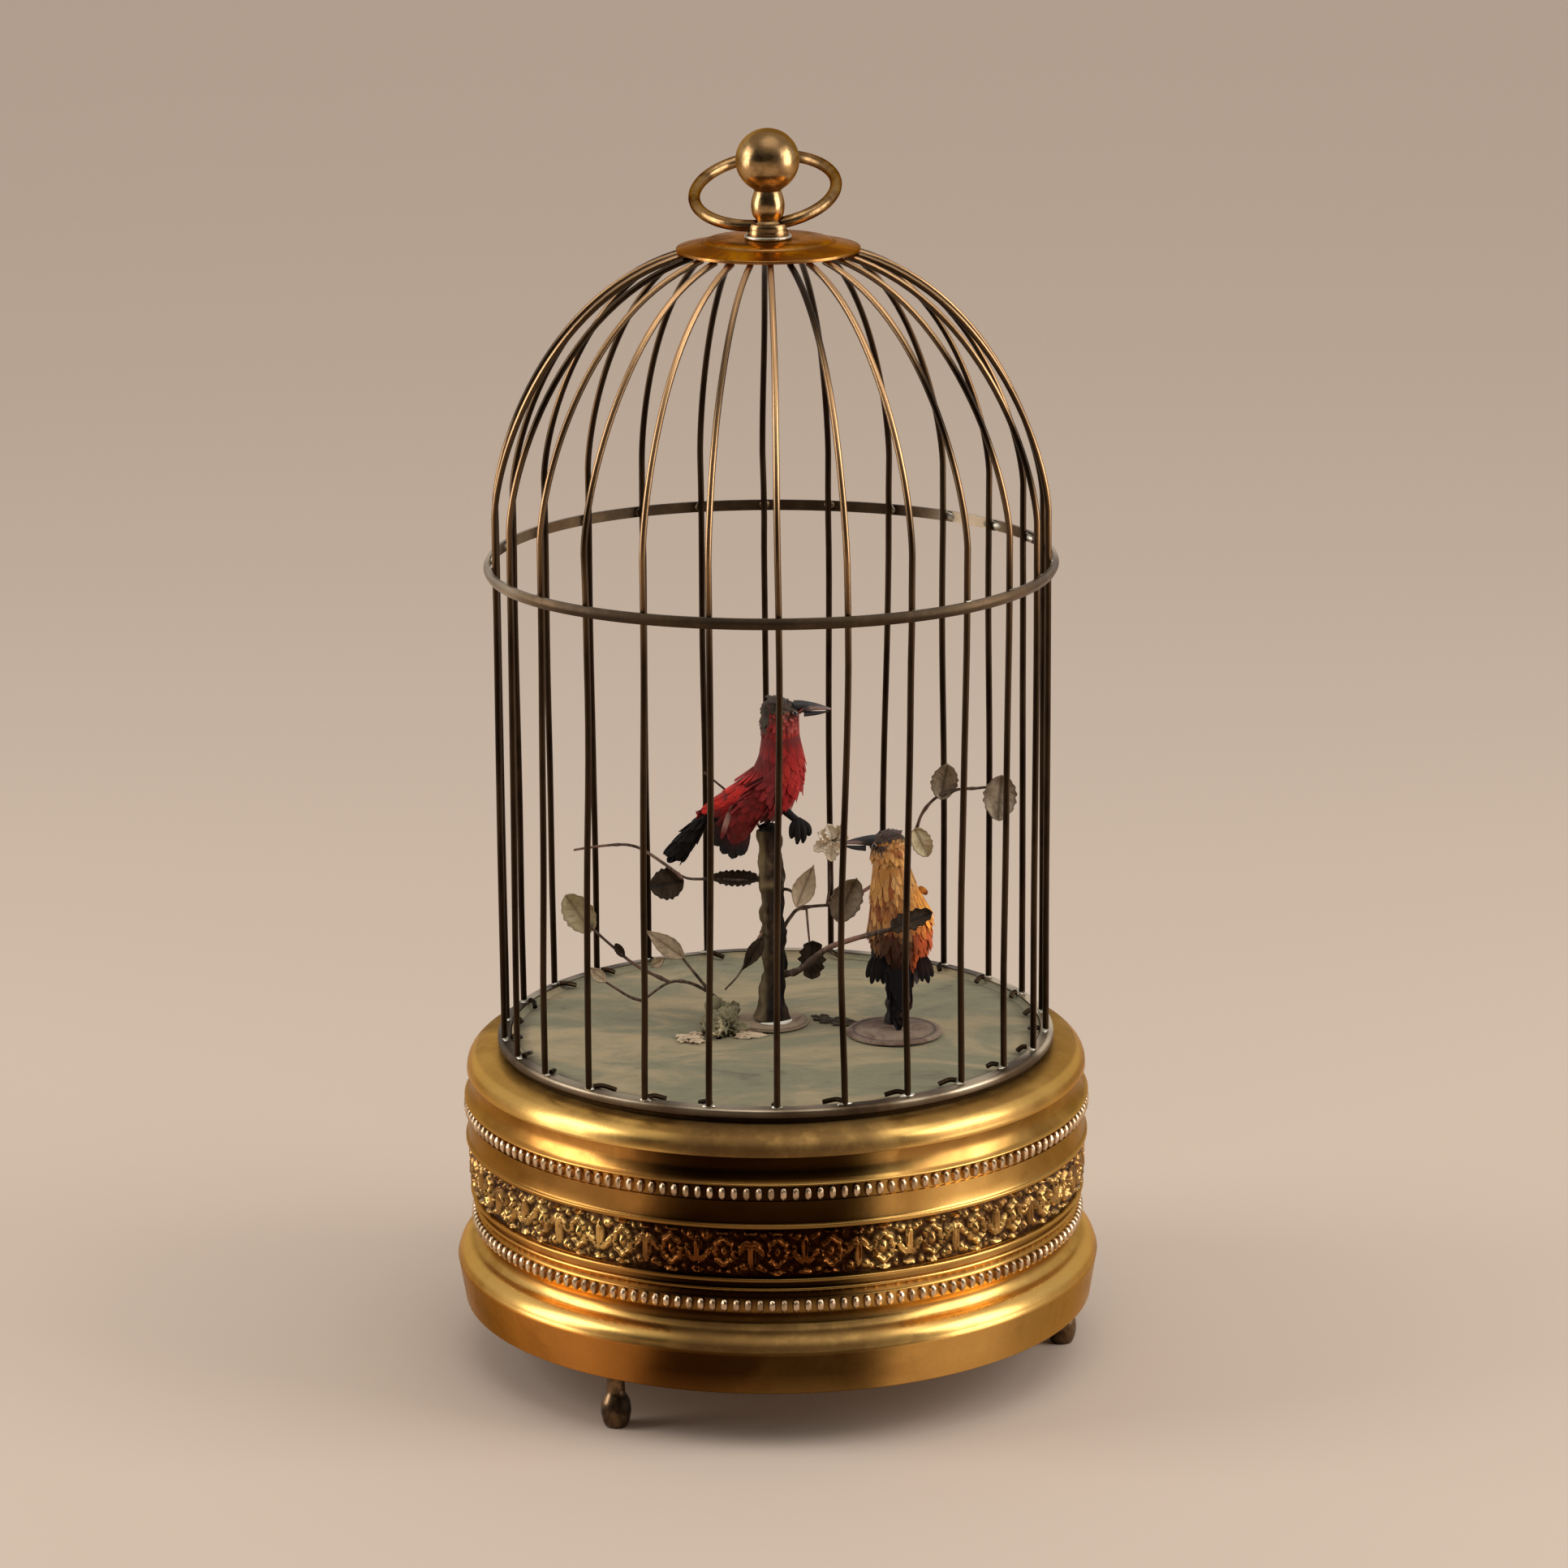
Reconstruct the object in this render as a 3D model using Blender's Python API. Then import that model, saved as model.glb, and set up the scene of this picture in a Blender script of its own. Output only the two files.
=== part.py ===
"""Singing bird automaton: two feathered birds in a domed wire cage on a turned brass drum.

The drum stands on three turned feet and holds a wind-up movement: a spring barrel drives a cam
arbor, a crank arbor and a fly, and the crank works the bellows of a piston whistle. The key and
the stop lever are under the base. Each bird turns its head, opens its beak and flicks its tail.

Sizes are in metres, +Z is up, and the origin is on the table, under the middle of the drum.
"""
import math

import bmesh
import bpy
from mathutils import Matrix, Vector

# Clearances
SEAT_GAP = 0.0003            # between pieces that rest on each other
RUNNING_GAP = 0.0003         # round a shaft in its hole

# Feet
FOOT_HEIGHT = 0.0146         # table to the underside of the drum
FOOT_COUNT = 3
FOOT_INSET = 0.0080          # feet inside the flange's widest
FOOT_FIRST_ANGLE = -123.6    # degrees from +X
FOOT_BUN_RADIUS = 0.0032
FOOT_NECK_RADIUS = 0.0020
FOOT_COLLAR_RADIUS = 0.0030

# Drum: a stack of mouldings, named from the bottom up
FLANGE_RADIUS = 0.0730
FLANGE_TAPER = 0.0018        # how far the flange's lower edge is set in
FLANGE_SIDE = 0.0089         # height of the flange's side
FLANGE_SHOULDER = 0.0035     # height of the round shoulder above it
DRUM_RADIUS = 0.0700         # plain band
DRUM_WALL = 0.0045
LOWER_COVE = 0.0041
BEAD_ROW = 0.0032            # height of each beaded row
LOWER_GROOVE = 0.0019
THIN_FILLET = 0.0008
FILLET_GAP = 0.0015
FRIEZE_HEIGHT = 0.0112       # relief band
TOP_FILLET = 0.0011
PLAIN_BAND = 0.0054
UPPER_COVE = 0.0063
TOP_MOULDING = 0.0055
TOP_MOULDING_SET_BACK = 0.0052
COVE_DEPTH = 0.0016
FILLET_PROUD = 0.0006        # how far fillets and lips stand past the plain band
FRIEZE_SINK = 0.0012         # how far the frieze's ground lies behind the plain band
DRUM_TOP_PLATE = 0.0016
BASE_LIP = 0.0020            # thickness of the drum's inward lip that carries the feet
BASE_LIP_WIDTH = 0.0112
DRUM_SEGMENTS = 44

# Base plate, floor and cage foot ring
BASE_PLATE_THICKNESS = 0.0016
FLOOR_THICKNESS = 0.0019
FLOOR_LEDGE = 0.0045         # how far the drum's top plate reaches under the floor
FOOT_RING_HEIGHT = 0.0030
FOOT_RING_INSET = 0.0014     # foot ring's inner edge, inside the bars' circle
FOOT_RING_OUTSET = 0.0015    # foot ring's outer edge, outside the bars' circle

# Cage
BAR_COUNT = 26
BAR_FIRST_ANGLE = -88.65     # degrees from +X
BAR_CIRCLE_RADIUS = 0.0614
BAR_RADIUS = 0.00085
BAR_STRAIGHT = 0.1192        # from the foot ring to the dome's spring
DOME_RISE = 0.0587
DOME_SIDE_POWER = 0.81       # powers that shape the dome's side and rise
DOME_RISE_POWER = 1.31
DOME_STEPS = 9
HOOP_HEIGHT = 0.0024
HOOP_THICKNESS = 0.0012
HOOP_BELOW_SPRING = 0.0122   # hoop's middle under the dome's spring
HOOP_SEGMENTS = 52

# Cap, finial and hanging ring
CAP_RADIUS = 0.0202
CAP_RIM = 0.0007
CAP_RISE = 0.0013            # outer dish
CAP_DISC_RADIUS = 0.0141
CAP_DISC_STEP = 0.0006
CAP_BAR_OVERLAP = 0.0024     # how far the bars reach in under the cap
SPIGOT_RADIUS = 0.0018
COLLAR_RADIUS = 0.0046
COLLAR_HEIGHT = 0.0032
NECK_RADIUS = 0.0033
NECK_SWELL = 0.0005
NECK_HEIGHT = 0.0075
BALL_RADIUS = 0.0070
RING_RADIUS = 0.01575        # middle of the wire
RING_WIRE_RADIUS = 0.00115
RING_HOLE_RADIUS = 0.0023
RING_BELOW_COLLAR_TOP = 0.00055
RING_LEAN = 20.3             # degrees above the horizontal, leaning back
RING_ROLL = -6.0             # degrees about the front-to-back axis

# Tree, post and floor discs
TRUNK_X = -0.0010
TRUNK_Y = 0.0050
TRUNK_HEIGHT = 0.0442
TRUNK_RADIUS = 0.0026
TRUNK_FLARE = 0.0020
TRUNK_DISC_RADIUS = 0.0085
POST_X = 0.0268
POST_Y = 0.0015
POST_HEIGHT = 0.0118
POST_RADIUS = 0.0018
POST_DISC_RADIUS = 0.0110
POST_DISC_Y = -0.0035
DISC_THICKNESS = 0.0006
TREE_UNIT = 0.001            # the twigs and leaves are laid out in this unit
TWIG_RADIUS = 0.00040
LEAF_THICKNESS = 0.00050
SHRUB_X = -0.0120
SHRUB_Y = 0.0100

# Birds
NECK_GAP = 0.0003            # between a bird's body and its turning head
BEAK_GAP = 0.0004
TAIL_GAP = 0.0005
BIRD_UNIT = 0.001            # the birds are laid out in this unit, as are the next five sizes
RED_NECK_UP = 22.8           # red bird's neck joint above the trunk
RED_TAIL_LENGTH = 13.6
ORANGE_NECK_UP = 25.8        # orange bird's neck joint above the post
ORANGE_TAIL_LENGTH = 10.5
BEAK_LENGTH = 6.2
BIRD_SIDES = 12
LEG_RADIUS = 0.00055

# Movement
PLATE_SPACING = 0.0270       # base plate to upper plate
UPPER_PLATE_RADIUS = 0.0500
UPPER_PLATE_THICKNESS = 0.0016
PILLAR_COUNT = 4
PILLAR_CIRCLE_RADIUS = 0.0460
PILLAR_RADIUS = 0.0025
BARREL_X = -0.0240
BARREL_RADIUS = 0.0190
BARREL_HEIGHT = 0.0140
WINDING_ARBOR_RADIUS = 0.0024
TOP_PIVOT_RADIUS = 0.0012
WHEEL_TEETH = 32
PINION_LEAVES = 8
GREAT_WHEEL_MODULE = 0.0014
CAM_WHEEL_MODULE = 0.0008
CRANK_WHEEL_MODULE = 0.00065
GREAT_WHEEL_THICKNESS = 0.0020
THIN_WHEEL_THICKNESS = 0.0014
CAM_TO_CRANK_ANGLE = -60.0   # degrees, line of centres
CRANK_TO_FLY_ANGLE = -30.0
ARBOR_RADIUS = 0.0013
CAM_COUNT = 3
CAM_RADIUS = 0.0060
CAM_LIFT = 0.0014
CAM_THICKNESS = 0.0020
CRANK_DISC_RADIUS = 0.0040
FLY_REACH = 0.0085
FLY_HEIGHT = 0.0130
FLY_THICKNESS = 0.0008
BELLOWS_LENGTH = 0.0400
BELLOWS_WIDTH = 0.0240
BELLOWS_HEIGHT = 0.0120
BELLOWS_FOLDS = 4
WHISTLE_LENGTH = 0.0340
WHISTLE_RADIUS = 0.0038
WHISTLE_BORE_RADIUS = 0.0026
PISTON_TRAVEL = 0.0120
KEY_SPAN = 0.0240
KEY_BLADE_HEIGHT = 0.0075
KEY_THICKNESS = 0.0020
KEY_TABLE_CLEARANCE = 0.0020
LEVER_INSET = 0.0180         # lever's pivot inside the base opening
LEVER_LENGTH = 0.0255
LEVER_WIDTH = 0.0050
LEVER_THICKNESS = 0.0014
LEVER_PIVOT_RADIUS = 0.0015

# Heights that follow
DRUM_BOTTOM = FOOT_HEIGHT
FLANGE_TOP = DRUM_BOTTOM + FLANGE_SIDE + FLANGE_SHOULDER
LOWER_BEAD_BOTTOM = FLANGE_TOP + LOWER_COVE
LOWER_BEAD_TOP = LOWER_BEAD_BOTTOM + BEAD_ROW
FRIEZE_BOTTOM = LOWER_BEAD_TOP + LOWER_GROOVE + 2 * THIN_FILLET + FILLET_GAP
FRIEZE_TOP = FRIEZE_BOTTOM + FRIEZE_HEIGHT
UPPER_BEAD_BOTTOM = FRIEZE_TOP + TOP_FILLET + PLAIN_BAND
UPPER_BEAD_TOP = UPPER_BEAD_BOTTOM + BEAD_ROW
COVE_TOP = UPPER_BEAD_TOP + UPPER_COVE
DRUM_TOP = COVE_TOP + TOP_MOULDING
FLOOR_TOP = DRUM_TOP + SEAT_GAP + FLOOR_THICKNESS
FOOT_RING_TOP = DRUM_TOP + SEAT_GAP + FOOT_RING_HEIGHT
BAR_BOTTOM = FOOT_RING_TOP + SEAT_GAP
DOME_SPRING = BAR_BOTTOM + BAR_STRAIGHT
HOOP_MIDDLE = DOME_SPRING - HOOP_BELOW_SPRING
DISC_TOP = FLOOR_TOP + SEAT_GAP + DISC_THICKNESS
TRUNK_BOTTOM = DISC_TOP + SEAT_GAP
TRUNK_TOP = TRUNK_BOTTOM + TRUNK_HEIGHT
POST_TOP = TRUNK_BOTTOM + POST_HEIGHT
BASE_PLATE_BOTTOM = DRUM_BOTTOM + SEAT_GAP
BASE_PLATE_TOP = BASE_PLATE_BOTTOM + BASE_PLATE_THICKNESS
UPPER_PLATE_BOTTOM = BASE_PLATE_TOP + PLATE_SPACING
UPPER_PLATE_TOP = UPPER_PLATE_BOTTOM + UPPER_PLATE_THICKNESS

# Radii and places that follow
DRUM_BORE = DRUM_RADIUS - DRUM_WALL
BASE_OPENING = FLANGE_RADIUS - FLANGE_TAPER - BASE_LIP_WIDTH
FOOT_CIRCLE_RADIUS = FLANGE_RADIUS - FOOT_INSET
FOOT_RING_INNER = BAR_CIRCLE_RADIUS - FOOT_RING_INSET
FOOT_RING_OUTER = BAR_CIRCLE_RADIUS + FOOT_RING_OUTSET
FLOOR_RADIUS = FOOT_RING_INNER - SEAT_GAP
FLOOR_OPENING = FLOOR_RADIUS - FLOOR_LEDGE


def gear_centre_distance(module):
    """Distance between a wheel and its pinion."""
    return module * (WHEEL_TEETH + PINION_LEAVES) / 2


def stepped(point, distance, angle):
    """The point a distance away at an angle in degrees."""
    return (point[0] + distance * math.cos(math.radians(angle)),
            point[1] + distance * math.sin(math.radians(angle)))


BARREL_AT = (BARREL_X, 0.0)
CAM_AT = stepped(BARREL_AT, gear_centre_distance(GREAT_WHEEL_MODULE), 0.0)
CRANK_AT = stepped(CAM_AT, gear_centre_distance(CAM_WHEEL_MODULE), CAM_TO_CRANK_ANGLE)
FLY_AT = stepped(CRANK_AT, gear_centre_distance(CRANK_WHEEL_MODULE), CRANK_TO_FLY_ANGLE)
LEVER_AT = (0.0, BASE_OPENING - LEVER_INSET)


def clear_scene():
    """Remove everything the file opened with."""
    for obj in list(bpy.data.objects):
        bpy.data.objects.remove(obj, do_unlink=True)


def material(name, colour, roughness, metallic=0.0):
    """A plain Principled material, made once for each name."""
    found = bpy.data.materials.get(name)
    if found:
        return found
    made = bpy.data.materials.new(name)
    made.use_nodes = True
    shader = made.node_tree.nodes["Principled BSDF"]
    shader.inputs["Base Color"].default_value = (*colour, 1.0)
    shader.inputs["Roughness"].default_value = roughness
    shader.inputs["Metallic"].default_value = metallic
    made.diffuse_color = (*colour, 1.0)
    return made


def brass():
    return material("aged_brass", (0.55, 0.36, 0.13), 0.32, 1.0)


def dark_brass():
    return material("dark_brass", (0.30, 0.20, 0.10), 0.40, 1.0)


def copper_brass():
    return material("copper_brass", (0.56, 0.32, 0.16), 0.30, 1.0)


def steel():
    return material("movement_steel", (0.45, 0.45, 0.46), 0.35, 1.0)


def bark():
    return material("bark", (0.10, 0.065, 0.045), 0.85)


def place(name, bm, finish, at=(0.0, 0.0, 0.0), smooth=True):
    """Turn a bmesh, modelled about its own origin, into a named object at a place."""
    bmesh.ops.recalc_face_normals(bm, faces=bm.faces)
    mesh = bpy.data.meshes.new(name)
    bm.to_mesh(mesh)
    bm.free()
    mesh.materials.append(finish)
    if smooth:
        mesh.shade_smooth()
        mesh.set_sharp_from_angle(angle=math.radians(35))
    obj = bpy.data.objects.new(name, mesh)
    obj.location = at
    bpy.context.scene.collection.objects.link(obj)
    return obj


def combine(obj, other, operation):
    """Cut one object from another, or fuse it on, and keep it as a hidden guide."""
    other.hide_render = True
    other.display_type = "WIRE"
    cut = obj.modifiers.new(other.name, "BOOLEAN")
    cut.operation = operation
    cut.object = other
    cut.solver = "EXACT"


def turned(profile, segments):
    """Spin a profile of (radius, height) points about Z; it closes on itself or on the axis."""
    bm = bmesh.new()
    verts = [bm.verts.new((radius, 0.0, height)) for radius, height in profile]
    on_axis = profile[0][0] == 0.0 and profile[-1][0] == 0.0
    edges = [bm.edges.new(pair) for pair in zip(verts, verts[1:])]
    if not on_axis:
        edges.append(bm.edges.new((verts[-1], verts[0])))
    bmesh.ops.spin(bm, geom=verts + edges, axis=(0, 0, 1), cent=(0, 0, 0), steps=segments,
                   angle=2 * math.pi, use_merge=True, use_duplicate=False)
    bmesh.ops.remove_doubles(bm, verts=bm.verts, dist=0.000002)
    return bm


def disc(radius, bottom, top, segments, bm=None, centre=(0.0, 0.0)):
    """An upright cylinder."""
    bm = bm or bmesh.new()
    middle = Matrix.Translation((centre[0], centre[1], (bottom + top) / 2))
    bmesh.ops.create_cone(bm, cap_ends=True, segments=segments, radius1=radius, radius2=radius,
                          depth=top - bottom, matrix=middle)
    return bm


def prism(outline, bottom, top):
    """Extrude a flat outline of (x, y) points upwards."""
    bm = bmesh.new()
    face = bm.faces.new([bm.verts.new((x, y, bottom)) for x, y in outline])
    made = bmesh.ops.extrude_face_region(bm, geom=[face])
    lifted = [item for item in made["geom"] if isinstance(item, bmesh.types.BMVert)]
    bmesh.ops.translate(bm, verts=lifted, vec=(0, 0, top - bottom))
    return bm


def box(low, high):
    """A box between two corners."""
    bm = bmesh.new()
    size = Vector(high) - Vector(low)
    middle = (Vector(high) + Vector(low)) / 2
    bmesh.ops.create_cube(bm, size=1.0, matrix=Matrix.Translation(middle) @ Matrix.Diagonal((*size, 1.0)))
    return bm


def add_loft(bm, stations, sides):
    """Bridge ellipses given as (centre, direction, half depth, half width), and close both ends.

    The half width lies across the direction and level; the half depth is square to both.
    """
    loops = []
    for centre, direction, half_depth, half_width in stations:
        along = Vector(direction).normalized()
        across = Vector((0, 0, 1)).cross(along)
        if across.length < 0.001:
            across = Vector((0, 1, 0))
        across.normalize()
        deep = along.cross(across)
        frame = Matrix((deep * half_depth, across * half_width, along)).transposed().to_4x4()
        made = bmesh.ops.create_circle(bm, cap_ends=False, radius=1.0, segments=sides,
                                       matrix=Matrix.Translation(centre) @ frame)
        edges = {edge for vert in made["verts"] for edge in vert.link_edges}
        loops.append(list(edges))
    for lower, upper in zip(loops, loops[1:]):
        bmesh.ops.bridge_loops(bm, edges=lower + upper)
    for end in (loops[0], loops[-1]):
        bmesh.ops.contextual_create(bm, geom=end)
    return bm


def loft(stations, sides):
    """A closed loft in a new mesh."""
    return add_loft(bmesh.new(), stations, sides)


def upright_loft(rings, sides):
    """A loft of level ellipses given as (x, y, z, half size along x, half size along y)."""
    bm = bmesh.new()
    stations = [((x, y, z), (0, 0, 1), half_x, half_y) for x, y, z, half_x, half_y in rings]
    return add_loft(bm, stations, sides)


def spine_stations(points):
    """Loft stations along (x, y, z, half depth, half width) points, facing along the run."""
    places = [Vector(point[:3]) for point in points]
    stations = []
    for index, point in enumerate(points):
        before = places[max(index - 1, 0)]
        after = places[min(index + 1, len(places) - 1)]
        stations.append((places[index], after - before, point[3], point[4]))
    return stations


def twig(points, radius=TWIG_RADIUS, sides=5):
    """A thin stem through the given points, a little finer at its tip."""
    last = len(points) - 1
    sized = [(*point, radius * (1 - 0.25 * index / last), radius * (1 - 0.25 * index / last))
             for index, point in enumerate(points)]
    return loft(spine_stations(sized), sides)


def leaf(base, tip, width, facing=(0.0, -1.0, 0.15)):
    """A thin pointed leaf from its stalk to its tip, with its flat side facing a direction."""
    base = Vector(base)
    along = Vector(tip) - base
    length = along.length
    along.normalize()
    across = Vector(facing).cross(along).normalized()
    normal = along.cross(across).normalized()
    outline = ((0.0, 0.10), (0.22, 0.42), (0.55, 0.50), (0.85, 0.26), (1.0, 0.05))
    right = [base + along * (length * run) + across * (width * reach) for run, reach in outline]
    left = [base + along * (length * run) - across * (width * reach) for run, reach in reversed(outline)]
    bm = bmesh.new()
    lowered = [point - normal * LEAF_THICKNESS / 2 for point in right + left]
    face = bm.faces.new([bm.verts.new(point) for point in lowered])
    made = bmesh.ops.extrude_face_region(bm, geom=[face])
    lifted = [item for item in made["geom"] if isinstance(item, bmesh.types.BMVert)]
    bmesh.ops.translate(bm, verts=lifted, vec=normal * LEAF_THICKNESS)
    return bm


def cove(low, high, depth, steps=4):
    """Inner points of a hollow moulding between two (radius, height) points, top first."""
    points = []
    for step in range(1, steps):
        share = step / steps
        radius = high[0] + (low[0] - high[0]) * share - depth * math.sin(math.pi * share)
        points.append((radius, high[1] + (low[1] - high[1]) * share))
    return points


def quarter(inner_top, outer_low, steps=5):
    """Points of a rounded edge from a level top to an upright side, ends included."""
    points = []
    for step in range(steps + 1):
        angle = math.pi / 2 * step / steps
        radius = inner_top[0] + (outer_low[0] - inner_top[0]) * math.sin(angle)
        height = outer_low[1] + (inner_top[1] - outer_low[1]) * math.cos(angle)
        points.append((radius, height))
    return points


def half_round(radius, bottom, top, proud):
    """Three points of a bulging row, top first."""
    middle = (bottom + top) / 2
    return [(radius, top), (radius + proud, middle), (radius, bottom)]


def base_drum():
    """The spun drum: a shell open below and above, with its whole stack of mouldings."""
    fillet_radius = DRUM_RADIUS + FILLET_PROUD
    ground = DRUM_RADIUS - FRIEZE_SINK
    bead = DRUM_RADIUS - FILLET_PROUD / 2
    lower_bead = bead - FILLET_PROUD
    top_edge = (DRUM_RADIUS, COVE_TOP + FILLET_PROUD)
    upper_cove_top = (DRUM_RADIUS - COVE_DEPTH, COVE_TOP)
    lip_bottom = UPPER_BEAD_TOP + THIN_FILLET
    thin_top = FRIEZE_BOTTOM - THIN_FILLET
    thin_low = LOWER_BEAD_TOP + LOWER_GROOVE
    flange_edge = DRUM_BOTTOM + FLANGE_SIDE
    outer = quarter((DRUM_RADIUS - TOP_MOULDING_SET_BACK, DRUM_TOP), top_edge)
    outer.append(upper_cove_top)
    outer += cove((fillet_radius, lip_bottom), upper_cove_top, COVE_DEPTH / 3)
    outer += [(fillet_radius, lip_bottom), (fillet_radius, UPPER_BEAD_TOP)]
    outer += half_round(bead, UPPER_BEAD_BOTTOM, UPPER_BEAD_TOP - FILLET_PROUD / 4, FILLET_PROUD)
    outer += [(DRUM_RADIUS, UPPER_BEAD_BOTTOM - FILLET_PROUD / 4), (DRUM_RADIUS, FRIEZE_TOP + TOP_FILLET)]
    outer += [(fillet_radius, FRIEZE_TOP + TOP_FILLET - FILLET_PROUD / 4), (fillet_radius, FRIEZE_TOP)]
    outer += [(ground, FRIEZE_TOP - FILLET_PROUD / 4), (ground, FRIEZE_BOTTOM + FILLET_PROUD / 4)]
    outer += [(DRUM_RADIUS - FILLET_PROUD / 2, FRIEZE_BOTTOM), (DRUM_RADIUS - FILLET_PROUD / 2, thin_top)]
    outer += [(ground, thin_top - FILLET_PROUD / 2), (ground, thin_low + THIN_FILLET)]
    outer += [(DRUM_RADIUS - FILLET_PROUD, thin_low + THIN_FILLET / 2), (ground - FILLET_PROUD, thin_low)]
    outer += half_round(lower_bead - FILLET_PROUD, LOWER_BEAD_BOTTOM, LOWER_BEAD_TOP, FILLET_PROUD)
    outer += cove((ground - FILLET_PROUD, FLANGE_TOP), (lower_bead - FILLET_PROUD, LOWER_BEAD_BOTTOM),
                  COVE_DEPTH / 2)
    outer += quarter((ground - FILLET_PROUD, FLANGE_TOP), (FLANGE_RADIUS, flange_edge), steps=4)
    outer.append((FLANGE_RADIUS - FLANGE_TAPER, DRUM_BOTTOM))
    inner = [(BASE_OPENING, DRUM_BOTTOM), (BASE_OPENING, DRUM_BOTTOM + BASE_LIP),
             (DRUM_BORE, DRUM_BOTTOM + BASE_LIP), (DRUM_BORE, DRUM_TOP - DRUM_TOP_PLATE),
             (FLOOR_OPENING, DRUM_TOP - DRUM_TOP_PLATE), (FLOOR_OPENING, DRUM_TOP)]
    return place("base_drum", turned(outer + inner, DRUM_SEGMENTS), brass())


def foot(number):
    """One turned foot: a collar under the drum, a waisted neck and a flat-bottomed bun."""
    top = FOOT_HEIGHT - SEAT_GAP
    collar_bottom = top - 0.10 * FOOT_HEIGHT
    neck = 0.60 * FOOT_HEIGHT
    profile = [(0.0, top), (FOOT_COLLAR_RADIUS, top), (FOOT_COLLAR_RADIUS, collar_bottom),
               (FOOT_NECK_RADIUS, neck), (FOOT_NECK_RADIUS * 1.15, 0.46 * FOOT_HEIGHT),
               (FOOT_BUN_RADIUS * 0.92, 0.38 * FOOT_HEIGHT), (FOOT_BUN_RADIUS, 0.24 * FOOT_HEIGHT),
               (FOOT_BUN_RADIUS * 0.94, 0.10 * FOOT_HEIGHT), (FOOT_BUN_RADIUS * 0.72, 0.0), (0.0, 0.0)]
    x, y = stepped((0.0, 0.0), FOOT_CIRCLE_RADIUS, FOOT_FIRST_ANGLE + number * 360 / FOOT_COUNT)
    return place(f"foot_{number + 1}", turned(profile, 12), dark_brass(), (x, y, 0.0))


def base_plate():
    """The plate that closes the drum and carries the movement, with its pivot holes."""
    blank = disc(BASE_OPENING - SEAT_GAP, BASE_PLATE_BOTTOM, BASE_PLATE_TOP, DRUM_SEGMENTS)
    plate = place("base_plate", blank, brass())
    holes = [("winding_hole", BARREL_AT, WINDING_ARBOR_RADIUS), ("cam_pivot_hole", CAM_AT, TOP_PIVOT_RADIUS),
             ("crank_pivot_hole", CRANK_AT, TOP_PIVOT_RADIUS), ("fly_pivot_hole", FLY_AT, TOP_PIVOT_RADIUS),
             ("lever_pivot_hole", LEVER_AT, LEVER_PIVOT_RADIUS)]
    for name, centre, shaft in holes:
        drill = disc(shaft + RUNNING_GAP, BASE_PLATE_BOTTOM - BASE_PLATE_THICKNESS,
                     BASE_PLATE_TOP + BASE_PLATE_THICKNESS, 12, centre=centre)
        combine(plate, place("lower_" + name, drill, brass()), "DIFFERENCE")
    return plate


def floor_board():
    """The painted board that the tree stands on."""
    green = material("faded_green", (0.27, 0.28, 0.20), 0.9)
    return place("floor_board", disc(FLOOR_RADIUS, DRUM_TOP + SEAT_GAP, FLOOR_TOP, DRUM_SEGMENTS), green)


def cage_foot_ring():
    """The ring that the bars are soldered to, undercut where it meets the drum."""
    bottom = DRUM_TOP + SEAT_GAP
    round_off = FOOT_RING_OUTSET * 0.35
    profile = [(FOOT_RING_INNER, FOOT_RING_TOP), (FOOT_RING_OUTER - round_off, FOOT_RING_TOP),
               (FOOT_RING_OUTER, FOOT_RING_TOP - round_off),
               (FOOT_RING_OUTER, bottom + FOOT_RING_HEIGHT * 0.45),
               (FOOT_RING_OUTER - round_off * 2, bottom), (FOOT_RING_INNER, bottom)]
    return place("cage_foot_ring", turned(profile, DRUM_SEGMENTS), brass())


def dome_point(turn):
    """Radius and height of a bar's middle line, with turn from 0 at the spring to 90 degrees."""
    radius = BAR_CIRCLE_RADIUS * math.cos(turn) ** DOME_SIDE_POWER
    height = DOME_SPRING + DOME_RISE * math.sin(turn) ** DOME_RISE_POWER
    return radius, height


def dome_turn(radius):
    """The turn at which a bar's middle line has this radius."""
    return math.acos((radius / BAR_CIRCLE_RADIUS) ** (1 / DOME_SIDE_POWER))


def cage_bar(number):
    """One bar: straight up from the foot ring, then over in the dome to the cap."""
    wire = bpy.data.curves.get("cage_bar_line")
    if wire is None:
        last = dome_turn(CAP_RADIUS - CAP_BAR_OVERLAP)
        run = [(BAR_CIRCLE_RADIUS, BAR_BOTTOM)]
        run += [dome_point(last * step / DOME_STEPS) for step in range(DOME_STEPS + 1)]
        wire = bpy.data.curves.new("cage_bar_line", "CURVE")
        wire.dimensions = "3D"
        wire.bevel_depth = BAR_RADIUS
        wire.bevel_resolution = 1
        wire.use_fill_caps = True
        spline = wire.splines.new("POLY")
        spline.points.add(len(run) - 1)
        for point, (radius, height) in zip(spline.points, run):
            point.co = (radius, 0.0, height, 1.0)
        wire.materials.append(material("cage_wire", (0.22, 0.15, 0.075), 0.38, 1.0))
    obj = bpy.data.objects.new(f"cage_bar_{number + 1:02d}", wire)
    obj.rotation_euler = (0.0, 0.0, math.radians(BAR_FIRST_ANGLE + number * 360 / BAR_COUNT))
    bpy.context.scene.collection.objects.link(obj)
    return obj


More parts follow.
